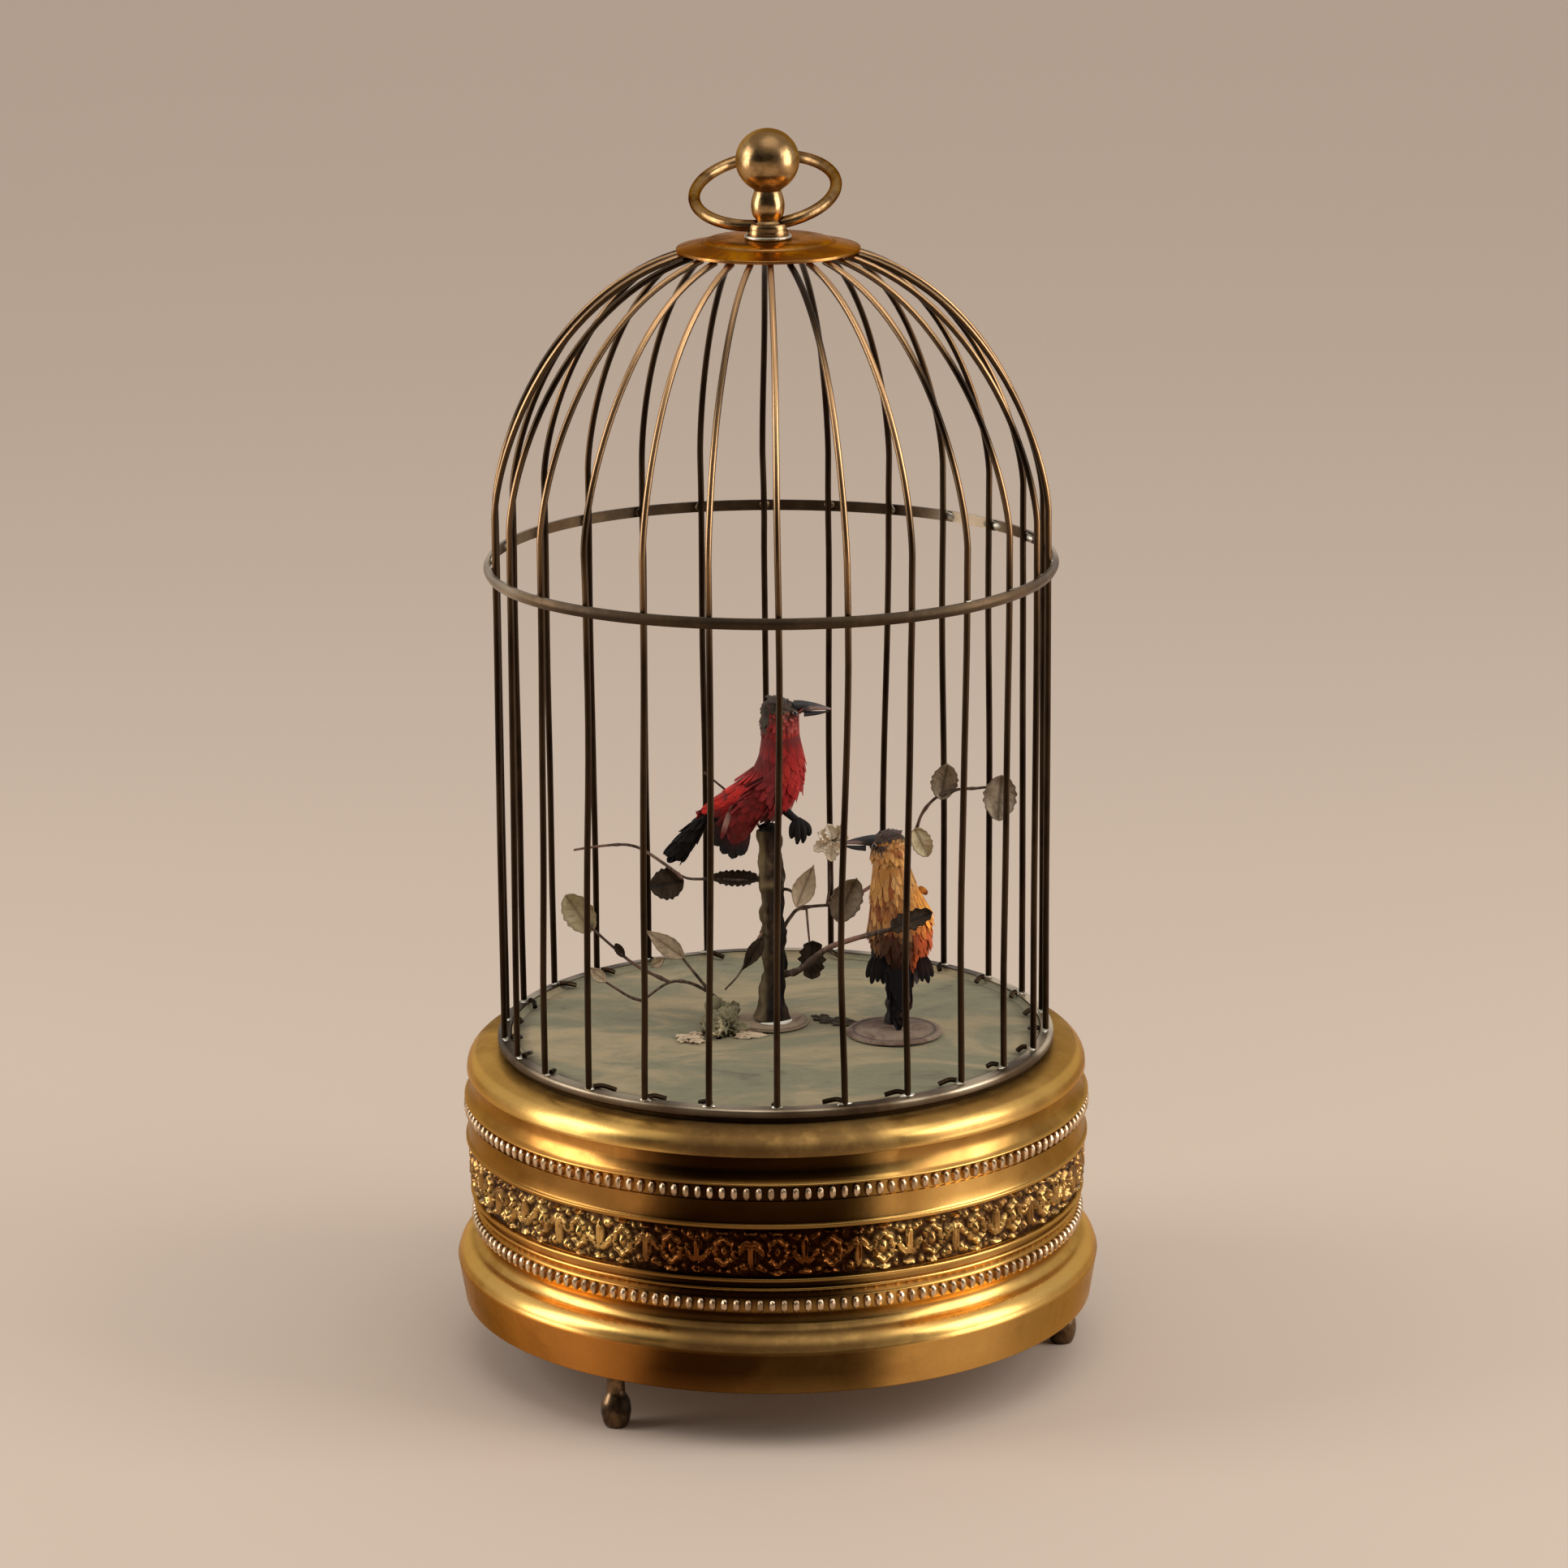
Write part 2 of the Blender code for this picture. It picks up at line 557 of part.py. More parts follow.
def cage_hoop():
    """The flat hoop soldered round the outside of the bars."""
    inner = BAR_CIRCLE_RADIUS + BAR_RADIUS + SEAT_GAP
    outer = inner + HOOP_THICKNESS
    top = HOOP_MIDDLE + HOOP_HEIGHT / 2
    bottom = HOOP_MIDDLE - HOOP_HEIGHT / 2
    profile = [(inner, top), (outer - HOOP_THICKNESS / 3, top), (outer, HOOP_MIDDLE + HOOP_HEIGHT / 5),
               (outer, HOOP_MIDDLE - HOOP_HEIGHT / 5), (outer - HOOP_THICKNESS / 3, bottom), (inner, bottom)]
    return place("cage_hoop", turned(profile, HOOP_SEGMENTS), dark_brass())


def bar_top_under(radius):
    """Height of the bars' upper side at a radius, plus the seat gap."""
    turn = dome_turn(radius)
    near = dome_point(turn)
    beyond = dome_point(turn + 0.01)
    slope = math.atan2(beyond[1] - near[1], near[0] - beyond[0])
    return near[1] + BAR_RADIUS / math.cos(slope) + SEAT_GAP


CAP_BOTTOM = bar_top_under(CAP_RADIUS)
CAP_HOLLOW = bar_top_under(CAP_RADIUS - CAP_BAR_OVERLAP)
CAP_DISC_BOTTOM = CAP_BOTTOM + CAP_RIM + CAP_RISE
CAP_TOP = CAP_DISC_BOTTOM + CAP_DISC_STEP
COLLAR_BOTTOM = CAP_TOP + SEAT_GAP
COLLAR_TOP = COLLAR_BOTTOM + COLLAR_HEIGHT
RING_PIVOT = COLLAR_TOP - RING_BELOW_COLLAR_TOP
NECK_TOP = COLLAR_TOP + NECK_HEIGHT
BALL_DROP = math.sqrt(BALL_RADIUS ** 2 - NECK_RADIUS ** 2)
BALL_MIDDLE = NECK_TOP + BALL_DROP


def cage_cap():
    """The dished cap over the bars' ends, with a stepped disc and a hole for the finial."""
    hole = SPIGOT_RADIUS + SEAT_GAP
    hollow_edge = CAP_RADIUS - CAP_BAR_OVERLAP
    profile = [(hole, CAP_TOP), (CAP_DISC_RADIUS * 0.96, CAP_TOP), (CAP_DISC_RADIUS, CAP_DISC_BOTTOM)]
    profile.append(((CAP_DISC_RADIUS + CAP_RADIUS) / 2, CAP_BOTTOM + CAP_RIM + CAP_RISE * 0.62))
    profile += [(CAP_RADIUS, CAP_BOTTOM + CAP_RIM), (CAP_RADIUS, CAP_BOTTOM), (hollow_edge, CAP_HOLLOW),
                (hole, CAP_HOLLOW)]
    return place("cage_cap", turned(profile, 40), copper_brass())


def finial():
    """The turned finial: spigot, collar, swelling neck and ball, cross-drilled for the ring."""
    spigot_end = CAP_BOTTOM - CAP_RIM
    profile = [(0.0, BALL_MIDDLE + BALL_RADIUS)]
    ball_start = math.asin(NECK_RADIUS / BALL_RADIUS)
    steps = 9
    for step in range(1, steps + 1):
        angle = (math.pi - ball_start) * step / steps
        profile.append((BALL_RADIUS * math.sin(angle), BALL_MIDDLE + BALL_RADIUS * math.cos(angle)))
    for step in range(1, 4):
        swell = NECK_SWELL * math.sin(math.pi * (1 - step / 4) ** 1.5)
        profile.append((NECK_RADIUS + swell, NECK_TOP - NECK_HEIGHT * step / 4))
    profile += [(NECK_RADIUS, COLLAR_TOP), (COLLAR_RADIUS, COLLAR_TOP), (COLLAR_RADIUS, COLLAR_BOTTOM),
                (SPIGOT_RADIUS, COLLAR_BOTTOM), (SPIGOT_RADIUS, spigot_end), (0.0, spigot_end)]
    stem = place("finial", turned(profile, 20), brass())
    drill = bmesh.new()
    lying = Matrix.Translation((0, 0, RING_PIVOT)) @ Matrix.Rotation(math.pi / 2, 4, "Y")
    bmesh.ops.create_cone(drill, cap_ends=True, segments=16, radius1=RING_HOLE_RADIUS,
                          radius2=RING_HOLE_RADIUS, depth=4 * COLLAR_RADIUS, matrix=lying)
    combine(stem, place("ring_hole", drill, brass()), "DIFFERENCE")
    return stem


def hanging_ring():
    """The ring in the finial's cross hole, leaning back as it was left."""
    bm = bmesh.new()
    made = bmesh.ops.create_circle(bm, cap_ends=False, radius=RING_WIRE_RADIUS, segments=6,
                                   matrix=Matrix.Rotation(math.pi / 2, 4, "Y"))
    edges = {edge for vert in made["verts"] for edge in vert.link_edges}
    bmesh.ops.spin(bm, geom=made["verts"] + list(edges), axis=(0, 0, 1), cent=(0, RING_RADIUS, 0), steps=32,
                   angle=2 * math.pi, use_merge=True, use_duplicate=False)
    bmesh.ops.remove_doubles(bm, verts=bm.verts, dist=0.000002)
    ring = place("hanging_ring", bm, brass(), (0.0, 0.0, RING_PIVOT))
    lean = Matrix.Rotation(math.radians(RING_LEAN), 4, "X")
    turn = Matrix.Rotation(math.radians(RING_ROLL), 4, "Y") @ lean
    ring.rotation_euler = turn.to_euler()
    return ring


def trunk_point(share, angle=0.0, reach=0.0):
    """A point at a share of the trunk's height, out from its bent middle line."""
    bend = 0.23 * TRUNK_RADIUS * math.sin(3.1 * share + 0.4)
    return (TRUNK_X + bend + reach * math.cos(math.radians(angle)),
            TRUNK_Y - bend / 2 + reach * math.sin(math.radians(angle)),
            TRUNK_BOTTOM + TRUNK_HEIGHT * share)


def tree_trunk():
    """The trunk with a knobbly surface and a spread foot, its twigs and leaves fused on."""
    rings = []
    for share in (0.0, 0.06, 0.16, 0.30, 0.46, 0.62, 0.78, 0.90, 1.0):
        x, y, z = trunk_point(share)
        knob = TRUNK_RADIUS * 0.07 * math.sin(17 * share)
        flare = TRUNK_FLARE * math.exp(-share * 16)
        rings.append((x, y, z, TRUNK_RADIUS + knob + flare, TRUNK_RADIUS - knob + flare))
    trunk = place("tree_trunk", upright_loft(rings, 9), bark())
    lean_in = -TRUNK_RADIUS / 2

    def out(x, y, down):
        return (x * TREE_UNIT, y * TREE_UNIT, TRUNK_TOP - down * TREE_UNIT)

    twigs = {
        "left_twig": [trunk_point(0.735, 180, -lean_in), out(-13.6, 4.5, 11.4), out(-24.4, 3.5, 12.4)],
        "far_left_twig": [out(-23.6, 3.6, 11.8), out(-28.9, 3.5, 4.9), out(-36.5, 3.5, 3.3),
                          out(-45.0, 3.5, 4.3)],
        "short_right_twig": [trunk_point(0.69, 0, -lean_in), out(3.5, 4.0, 14.0), out(5.8, 4.0, 16.6)],
        "right_twig": [trunk_point(0.49, 0, -lean_in), out(5.6, 4.5, 18.8), out(11.9, 4.5, 18.0),
                       out(16.5, 7.0, 17.2), out(21.5, 10.8, 15.0), out(31.4, 11.2, 4.0),
                       out(36.0, 10.5, -5.4), out(38.5, 10.0, -9.2), out(45.0, 10.0, -8.4),
                       out(50.1, 9.0, -7.0), out(53.4, 8.0, -8.8)],
        "flower_stem": [out(11.9, 4.6, 18.4), out(12.2, 8.0, 11.0), out(12.0, 10.0, 4.4)],
        "low_right_twig": [trunk_point(0.235, 0, -lean_in), out(11.8, 3.5, 26.6), out(18.5, 2.0, 24.0)],
        "back_twig": [trunk_point(0.93, 90, -lean_in), out(-4.5, 13.0, -4.0), out(-13.8, 14.0, -10.8)],
    }
    for name, points in twigs.items():
        combine(trunk, place(name, twig(points), bark()), "UNION")
    leaves = {
        "round_leaf": (out(-20.6, 3.8, 12.0), out(-28.3, 3.4, 12.8), 7.6),
        "ragged_leaf": (out(-4.0, 4.6, 11.2), out(-13.7, 4.4, 11.4), 4.2),
        "pointed_leaf": (out(5.6, 4.0, 16.4), out(8.2, 4.0, 8.8), 5.4),
        "grey_leaf": (out(14.5, 6.0, 17.6), out(20.5, 2.2, 15.8), 7.2),
        "dark_leaf": (out(10.0, 3.6, 26.6), out(7.0, 3.6, 35.0), 7.0),
        "pale_flower": (out(12.0, 10.0, 8.0), out(12.0, 10.0, 0.8), 8.4),
        "head_leaf": (out(32.2, 11.2, 3.6), out(34.5, 10.8, 9.0), 5.0),
        "upper_leaf": (out(37.5, 10.1, -6.6), out(39.0, 10.0, -14.2), 6.8),
        "end_leaf": (out(50.5, 9.0, -10.6), out(50.0, 9.0, -1.8), 7.0),
    }
    for name, (base, tip, width) in leaves.items():
        combine(trunk, place(name, leaf(base, tip, width * TREE_UNIT), bark(), smooth=False), "UNION")
    return trunk


def floor_shrub():
    """The little bush of wired leaves beside the trunk, on a tuft of moss."""
    foot_height = FLOOR_TOP + SEAT_GAP
    layers = [(SHRUB_X, SHRUB_Y, foot_height + up * TREE_UNIT, half * TREE_UNIT, 0.9 * half * TREE_UNIT)
              for up, half in ((0.0, 3.4), (1.6, 3.1), (3.0, 1.4))]
    tuft = upright_loft(layers, 8)
    shrub = place("floor_shrub", tuft, material("dried_leaf", (0.21, 0.19, 0.12), 0.85))

    def out(x, y, up):
        return (SHRUB_X + x * TREE_UNIT, SHRUB_Y + y * TREE_UNIT, foot_height + up * TREE_UNIT)

    hub = out(-1.6, 0.0, 4.8)
    twigs = {
        "shrub_stem": [out(0.0, 0.0, 1.0), hub],
        "pale_leaf_twig": [hub, out(-6.0, 0.0, 10.5), out(-10.0, 0.0, 15.0)],
        "arched_shoot": [hub, out(-6.0, 0.4, 6.8), out(-10.4, 0.6, 7.4), out(-16.4, 0.8, 3.6)],
        "long_left_twig": [hub, out(-10.0, 1.4, 5.2), out(-20.2, 1.4, 11.6),
                           out(-30.0, 1.4, 20.8)],
        "low_left_shoot": [out(-10.0, 1.4, 5.2), out(-21.4, -0.6, 4.8), out(-27.6, -1.0, 8.8)],
        "trunk_side_twig": [hub, out(1.0, -0.8, 9.2), out(4.6, -2.0, 15.6)],
    }
    for name, points in twigs.items():
        combine(shrub, place(name, twig(points), bark()), "UNION")
    leaves = {
        "shrub_pale_leaf": (out(-9.4, 0.0, 14.2), out(-16.0, 0.0, 19.0), 4.4),
        "shrub_top_leaf": (out(-29.4, 1.4, 20.2), out(-35.2, 1.4, 26.8), 7.2),
        "shrub_side_leaf": (out(1.8, -1.1, 10.8), out(5.2, -2.4, 18.0), 3.0),
        "shrub_low_leaf": (out(0.8, -1.4, 2.4), out(3.0, -6.2, 3.0), 4.6),
    }
    for name, (base, tip, width) in leaves.items():
        combine(shrub, place(name, leaf(base, tip, width * TREE_UNIT), bark(), smooth=False), "UNION")
    return shrub


def bird_post():
    """The short post under the lower bird, a little wider at its top."""
    profile = [(0.0, POST_HEIGHT), (POST_RADIUS * 1.15, POST_HEIGHT), (POST_RADIUS, POST_HEIGHT * 0.55),
               (POST_RADIUS, POST_HEIGHT * 0.10), (POST_RADIUS * 1.25, 0.0), (0.0, 0.0)]
    return place("bird_post", turned(profile, 10), bark(), (POST_X, POST_Y, TRUNK_BOTTOM))


def floor_disc(name, radius, x, y):
    """A thin painted disc on the floor, under the trunk or the post."""
    rust = material("painted_rust", (0.26, 0.15, 0.10), 0.8)
    return place(name, disc(radius, FLOOR_TOP + SEAT_GAP, DISC_TOP, 20, centre=(x, y)), rust)


class Bird:
    """One bird: its place, the way it faces, its plumage and its own sizes.

    Points of a bird are measured in BIRD_UNIT from its perch: along the beak, across, and up.
    """

    def __init__(self, name, perch, facing, plumage, dark):
        self.name = name
        self.perch = Vector(perch)
        self.facing = facing
        self.plumage = plumage
        self.dark = dark

    def at(self, along, across, up):
        """A place in the cage from a place on the bird."""
        return self.perch + Vector((along * self.facing, across, up)) * BIRD_UNIT

    def level(self, along, across, up, half_along, half_across):
        """A level ellipse for upright_loft."""
        x, y, z = self.at(along, across, up)
        return (x, y, z, half_along * BIRD_UNIT, half_across * BIRD_UNIT)

    def run(self, points):
        """Spine stations from (along, across, up, half depth, half width) points."""
        sized = [(*self.at(*point[:3]), point[3] * BIRD_UNIT, point[4] * BIRD_UNIT) for point in points]
        return spine_stations(sized)

    def local(self, bm, origin):
        """Move a mesh so that a place on the bird becomes its origin."""
        bmesh.ops.translate(bm, verts=bm.verts, vec=-origin)
        return bm

    def legs(self, body, spread, up):
        """Two short legs from the perch into the body."""
        for side in (-1, 1):
            x, y, z = self.at(0.0, side * spread, 0.0)
            leg = disc(LEG_RADIUS, z + SEAT_GAP, z + up * BIRD_UNIT, 6, centre=(x, y))
            combine(body, place(f"{self.name}_leg_{side + 2}", leg, self.dark), "UNION")

    def head(self, neck_up, rings, beak, upper):
        """The head above its neck joint, with the upper half of the beak fused on."""
        origin = self.at(rings[0][0], 0.0, neck_up)
        skull = upright_loft([self.level(*ring) for ring in rings], BIRD_SIDES)
        obj = place(f"{self.name}_head", self.local(skull, origin), self.plumage, origin)
        horn = material("black_horn", (0.02, 0.018, 0.018), 0.4)
        bill = self.local(loft(self.run(upper), 6), origin)
        combine(obj, place(f"{self.name}_upper_beak", bill, horn, origin), "UNION")
        hinge = self.at(*beak[0][:3])
        lower = self.local(loft(self.run(beak), 6), hinge)
        place(f"{self.name}_beak", lower, horn, hinge)
        return obj

    def tail(self, points):
        """The tail feathers, hinged at their root."""
        hinge = self.at(*points[0][:3])
        feathers = self.local(loft(self.run(points), 8), hinge)
        return place(f"{self.name}_tail", feathers, self.dark, hinge)


def red_bird():
    """The bird on the trunk: a long upright neck, folded wings and a tail that slants down."""
    crimson = material("crimson_feather", (0.30, 0.025, 0.02), 0.75)
    black = material("black_feather", (0.02, 0.018, 0.018), 0.6)
    bird = Bird("red_bird", (*trunk_point(1.0)[:2], TRUNK_TOP), 1.0, crimson, black)
    neck = RED_NECK_UP
    body_points = [(-12.8, 0.0, 5.0, 1.7, 1.9), (-9.8, 0.0, 5.7, 3.7, 3.6),
                   (-5.2, 0.0, 7.0, 5.4, 5.2), (-0.4, 0.0, 9.0, 6.6, 6.1),
                   (2.1, 0.0, 12.6, 6.6, 6.1), (3.1, 0.0, neck - 5.8, 5.9, 5.4)]
    stations = bird.run(body_points)
    collar = bird.at(2.9, 0.0, neck - NECK_GAP / BIRD_UNIT)
    stations.append((collar, (0, 0, 1), 5.0 * BIRD_UNIT, 4.6 * BIRD_UNIT))
    body = place("red_bird_body", loft(stations, BIRD_SIDES), crimson)
    for side in (-1, 1):
        wing = loft(bird.run([(0.6, side * 4.8, 11.2, 3.6, 2.0),
                              (-4.4, side * 4.6, 6.0, 4.0, 1.8),
                              (-7.2, side * 3.4, -1.2, 2.1, 1.2),
                              (-7.8, side * 2.1, -5.6, 0.9, 0.7)]), 6)
        combine(body, place(f"red_wing_{side + 2}", wing, black), "UNION")
    bird.legs(body, 1.2, 6.0)
    rings = [(2.9, 0.0, neck, 5.0, 4.6), (2.9, 0.0, neck + 2.8, 4.9, 4.5),
             (2.9, 0.0, neck + 5.5, 4.4, 4.1), (2.9, 0.0, neck + 7.4, 3.1, 2.9),
             (3.0, 0.0, neck + 8.2, 1.2, 1.1)]
    beak_start = 2.9 + 4.9 + BEAK_GAP / BIRD_UNIT
    beak = [(beak_start, 0.0, neck + 4.3, 0.8, 1.0),
            (beak_start + BEAK_LENGTH * 0.55, 0.0, neck + 4.4, 0.6, 0.7),
            (beak_start + BEAK_LENGTH * 0.92, 0.0, neck + 4.7, 0.2, 0.3)]
    upper = [(4.0, 0.0, neck + 6.4, 1.1, 1.4), (beak_start - 0.6, 0.0, neck + 6.4, 1.0, 1.2),
             (beak_start + BEAK_LENGTH * 0.55, 0.0, neck + 6.1, 0.7, 0.8),
             (beak_start + BEAK_LENGTH, 0.0, neck + 5.3, 0.2, 0.2)]
    bird.head(neck, rings, beak, upper)
    root = Vector(body_points[0][:3])
    down = Vector((-0.617, 0.0, -0.787))
    start = root + down * (TAIL_GAP / BIRD_UNIT + 1.2)
    places = [start + down * (RED_TAIL_LENGTH * share) for share in (0.0, 0.3, 0.7, 1.0)]
    halves = [(1.1, 1.5), (1.7, 2.2), (1.9, 2.5), (1.2, 1.8)]
    bird.tail([(*spot, *half) for spot, half in zip(places, halves)])


def orange_bird():
    """The bird on the post: a broad body, and a tail that hangs in front of the post."""
    orange = material("orange_feather", (0.42, 0.17, 0.04), 0.75)
    black = material("black_feather", (0.02, 0.018, 0.018), 0.6)
    bird = Bird("orange_bird", (POST_X, POST_Y, POST_TOP), -1.0, orange, black)
    neck = ORANGE_NECK_UP
    lift = SEAT_GAP / BIRD_UNIT + 0.4
    body_rings = [(-1.2, 0.0, lift, 4.0, 3.4), (-1.8, 0.0, 3.0, 6.6, 5.0),
                  (-1.6, 0.0, 9.0, 7.8, 6.2), (-1.2, 0.0, 14.0, 7.7, 6.2),
                  (-0.2, 0.0, 19.0, 6.2, 5.4), (0.6, 0.0, neck - NECK_GAP / BIRD_UNIT, 4.8, 4.6)]
    plump = upright_loft([bird.level(*ring) for ring in body_rings], BIRD_SIDES)
    body = place("orange_bird_body", plump, orange)
    for along in (-7.4, 4.4):
        wing = loft(bird.run([(along * 0.55, 0.0, 8.0, 3.0, 3.0), (along * 0.85, 0.0, 3.0, 2.0, 2.4),
                              (along * 0.92, 0.0, -1.6, 0.6, 1.0)]), 6)
        combine(body, place(f"orange_wing_{int(along < 0)}", wing, black), "UNION")
    bird.legs(body, 0.8, 4.0)
    rings = [(0.6, 0.0, neck, 4.8, 4.6), (1.0, 0.0, neck + 3.2, 4.6, 4.4),
             (1.3, 0.0, neck + 6.0, 3.8, 3.6), (1.6, 0.0, neck + 7.8, 1.6, 1.5)]
    beak_start = 1.0 + 4.7 + BEAK_GAP / BIRD_UNIT
    beak = [(beak_start, 0.0, neck + 3.2, 0.7, 0.9),
            (beak_start + BEAK_LENGTH * 0.50, 0.0, neck + 3.4, 0.6, 0.7),
            (beak_start + BEAK_LENGTH * 0.86, 0.0, neck + 3.8, 0.2, 0.3)]
    upper = [(2.0, 0.0, neck + 5.4, 1.1, 1.3), (beak_start - 0.6, 0.0, neck + 5.4, 0.9, 1.1),
             (beak_start + BEAK_LENGTH * 0.50, 0.0, neck + 5.2, 0.6, 0.7),
             (beak_start + BEAK_LENGTH * 0.92, 0.0, neck + 4.6, 0.2, 0.2)]
    bird.head(neck, rings, beak, upper)
    top = Vector((-1.2, -4.9, 1.2))
    down = Vector((0.0, -0.10, -1.0)).normalized()
    places = [top + down * (ORANGE_TAIL_LENGTH * share) for share in (0.0, 0.35, 0.75, 1.0)]
    halves = [(0.8, 2.4), (0.9, 2.7), (0.8, 2.2), (0.5, 1.4)]
    hinge = bird.at(*places[0])
    rings = [bird.level(*spot, wide, thick) for spot, (thick, wide) in zip(places, halves)]
    place("orange_bird_tail", bird.local(upright_loft(rings, 8), hinge), black, hinge)


def gear_outline(teeth, module, thick_share, first_angle):
    """Points of a clock gear: a root, a flank and a narrow tip for each tooth."""
    pitch_radius = teeth * module / 2
    root = pitch_radius - 1.10 * module
    tip = pitch_radius + 0.80 * module
    step = 2 * math.pi / teeth
    points = []
    for tooth in range(teeth):
        middle = math.radians(first_angle) + tooth * step
        for radius, share in ((root, -thick_share * 1.25), (tip, -thick_share * 0.45),
                              (tip, thick_share * 0.45), (root, thick_share * 1.25)):
            points.append((radius * math.cos(middle + share * step / 2),
                           radius * math.sin(middle + share * step / 2)))
    return points


WHEEL_TOOTH = 0.46           # tooth thickness on the pitch circle, as a share of the pitch
PINION_TOOTH = 0.34
GREAT_WHEEL_BOTTOM = BASE_PLATE_TOP + 0.0015
GREAT_WHEEL_TOP = GREAT_WHEEL_BOTTOM + GREAT_WHEEL_THICKNESS
BARREL_TOP = GREAT_WHEEL_TOP + BARREL_HEIGHT
CAM_WHEEL_BOTTOM = BARREL_TOP + 0.0018
CRANK_WHEEL_BOTTOM = CAM_WHEEL_BOTTOM + THIN_WHEEL_THICKNESS + 0.0022
PINION_EXTRA = 0.0005        # how far a pinion reaches past its wheel, each side


def wheel(name, module, bottom, thickness, first_angle, finish):
    """A toothed wheel about its own axis."""
    outline = gear_outline(WHEEL_TEETH, module, WHEEL_TOOTH, first_angle)
    return place(name, prism(outline, bottom, bottom + thickness), finish, smooth=False)


def pinion(name, module, bottom, thickness, wheel_direction, finish):
    """A pinion about its own axis, with a gap between leaves facing its wheel."""
    half_pitch = 180 / PINION_LEAVES
    outline = gear_outline(PINION_LEAVES, module, PINION_TOOTH, wheel_direction + half_pitch)
    blank = prism(outline, bottom - PINION_EXTRA, bottom + thickness + PINION_EXTRA)
    return place(name, blank, finish, smooth=False)


def arbor_profile(top_reach):
    """A plain arbor with a thinner pivot in each plate."""
    low_end = BASE_PLATE_TOP - BASE_PLATE_THICKNESS
    shoulder_low = BASE_PLATE_TOP + SEAT_GAP
    shoulder_high = UPPER_PLATE_BOTTOM - SEAT_GAP
    pivot = TOP_PIVOT_RADIUS * 0.8
    return [(0.0, top_reach), (pivot, top_reach), (pivot, shoulder_high), (ARBOR_RADIUS, shoulder_high),
            (ARBOR_RADIUS, shoulder_low), (pivot, shoulder_low), (pivot, low_end), (0.0, low_end)]


def at_axis(obj, centre):
    """Stand a piece, and the guides fused to it, on its axis."""
    obj.location = (centre[0], centre[1], 0.0)
    for modifier in obj.modifiers:
        if modifier.type == "BOOLEAN":
            modifier.object.location = obj.location
    return obj


def spring_barrel():
    """The drum that holds the mainspring, with the great wheel round its lower edge."""
    outline = gear_outline(WHEEL_TEETH, GREAT_WHEEL_MODULE, WHEEL_TOOTH, 0.0)
    great_wheel = prism(outline, GREAT_WHEEL_BOTTOM, GREAT_WHEEL_TOP)
    barrel = place("spring_barrel", great_wheel, brass(), smooth=False)
    drum = disc(BARREL_RADIUS, GREAT_WHEEL_TOP - 0.0005, BARREL_TOP, 32)
    combine(barrel, place("barrel_drum", drum, brass()), "UNION")
    bore = disc(WINDING_ARBOR_RADIUS + RUNNING_GAP, GREAT_WHEEL_BOTTOM - 0.001, BARREL_TOP + 0.001, 14)
    combine(barrel, place("barrel_bore", bore, brass()), "DIFFERENCE")
    return at_axis(barrel, BARREL_AT)


def cam_arbor():
    """The slow arbor: a pinion, a stack of cams for the birds and the whistle, and a wheel."""
    arbor = place("cam_arbor", turned(arbor_profile(UPPER_PLATE_TOP), 12), steel())
    combine(arbor, pinion("cam_pinion", GREAT_WHEEL_MODULE, GREAT_WHEEL_BOTTOM, GREAT_WHEEL_THICKNESS, 180.0,
                          steel()), "UNION")
    room = BARREL_TOP - GREAT_WHEEL_TOP
    for number in range(CAM_COUNT):
        bottom = GREAT_WHEEL_TOP + room * (number + 0.35) / CAM_COUNT
        outline = []
        for step in range(20):
            angle = 2 * math.pi * step / 20
            radius = CAM_RADIUS + CAM_LIFT * math.sin((number + 1) * angle + number) * 0.5
            outline.append((radius * math.cos(angle), radius * math.sin(angle)))
        cam = prism(outline, bottom, bottom + CAM_THICKNESS)
        combine(arbor, place(f"cam_{number + 1}", cam, steel()), "UNION")
    combine(arbor, wheel("cam_wheel", CAM_WHEEL_MODULE, CAM_WHEEL_BOTTOM, THIN_WHEEL_THICKNESS,
                         CAM_TO_CRANK_ANGLE, brass()), "UNION")
    return at_axis(arbor, CAM_AT)


def crank_arbor():
    """The middle arbor: a pinion, a wheel, and the crank disc that works the bellows."""
    crank_bottom = UPPER_PLATE_TOP + SEAT_GAP
    crank_top = crank_bottom + THIN_WHEEL_THICKNESS
    arbor = place("crank_arbor", turned(arbor_profile(crank_bottom + 0.0005), 12), steel())
    combine(arbor, pinion("crank_pinion", CAM_WHEEL_MODULE, CAM_WHEEL_BOTTOM, THIN_WHEEL_THICKNESS,
                          CAM_TO_CRANK_ANGLE + 180.0, steel()), "UNION")
    combine(arbor, wheel("crank_wheel", CRANK_WHEEL_MODULE, CRANK_WHEEL_BOTTOM, THIN_WHEEL_THICKNESS,
                         CRANK_TO_FLY_ANGLE, brass()), "UNION")
    crank = disc(CRANK_DISC_RADIUS, crank_bottom, crank_top, 16)
    combine(arbor, place("crank_disc", crank, steel()), "UNION")
    throw = (CRANK_DISC_RADIUS * 0.6, 0.0)
    pin = disc(TOP_PIVOT_RADIUS, crank_top - 0.0005, crank_top + 0.0030, 8, centre=throw)
    combine(arbor, place("crank_pin", pin, steel()), "UNION")
    return at_axis(arbor, CRANK_AT)


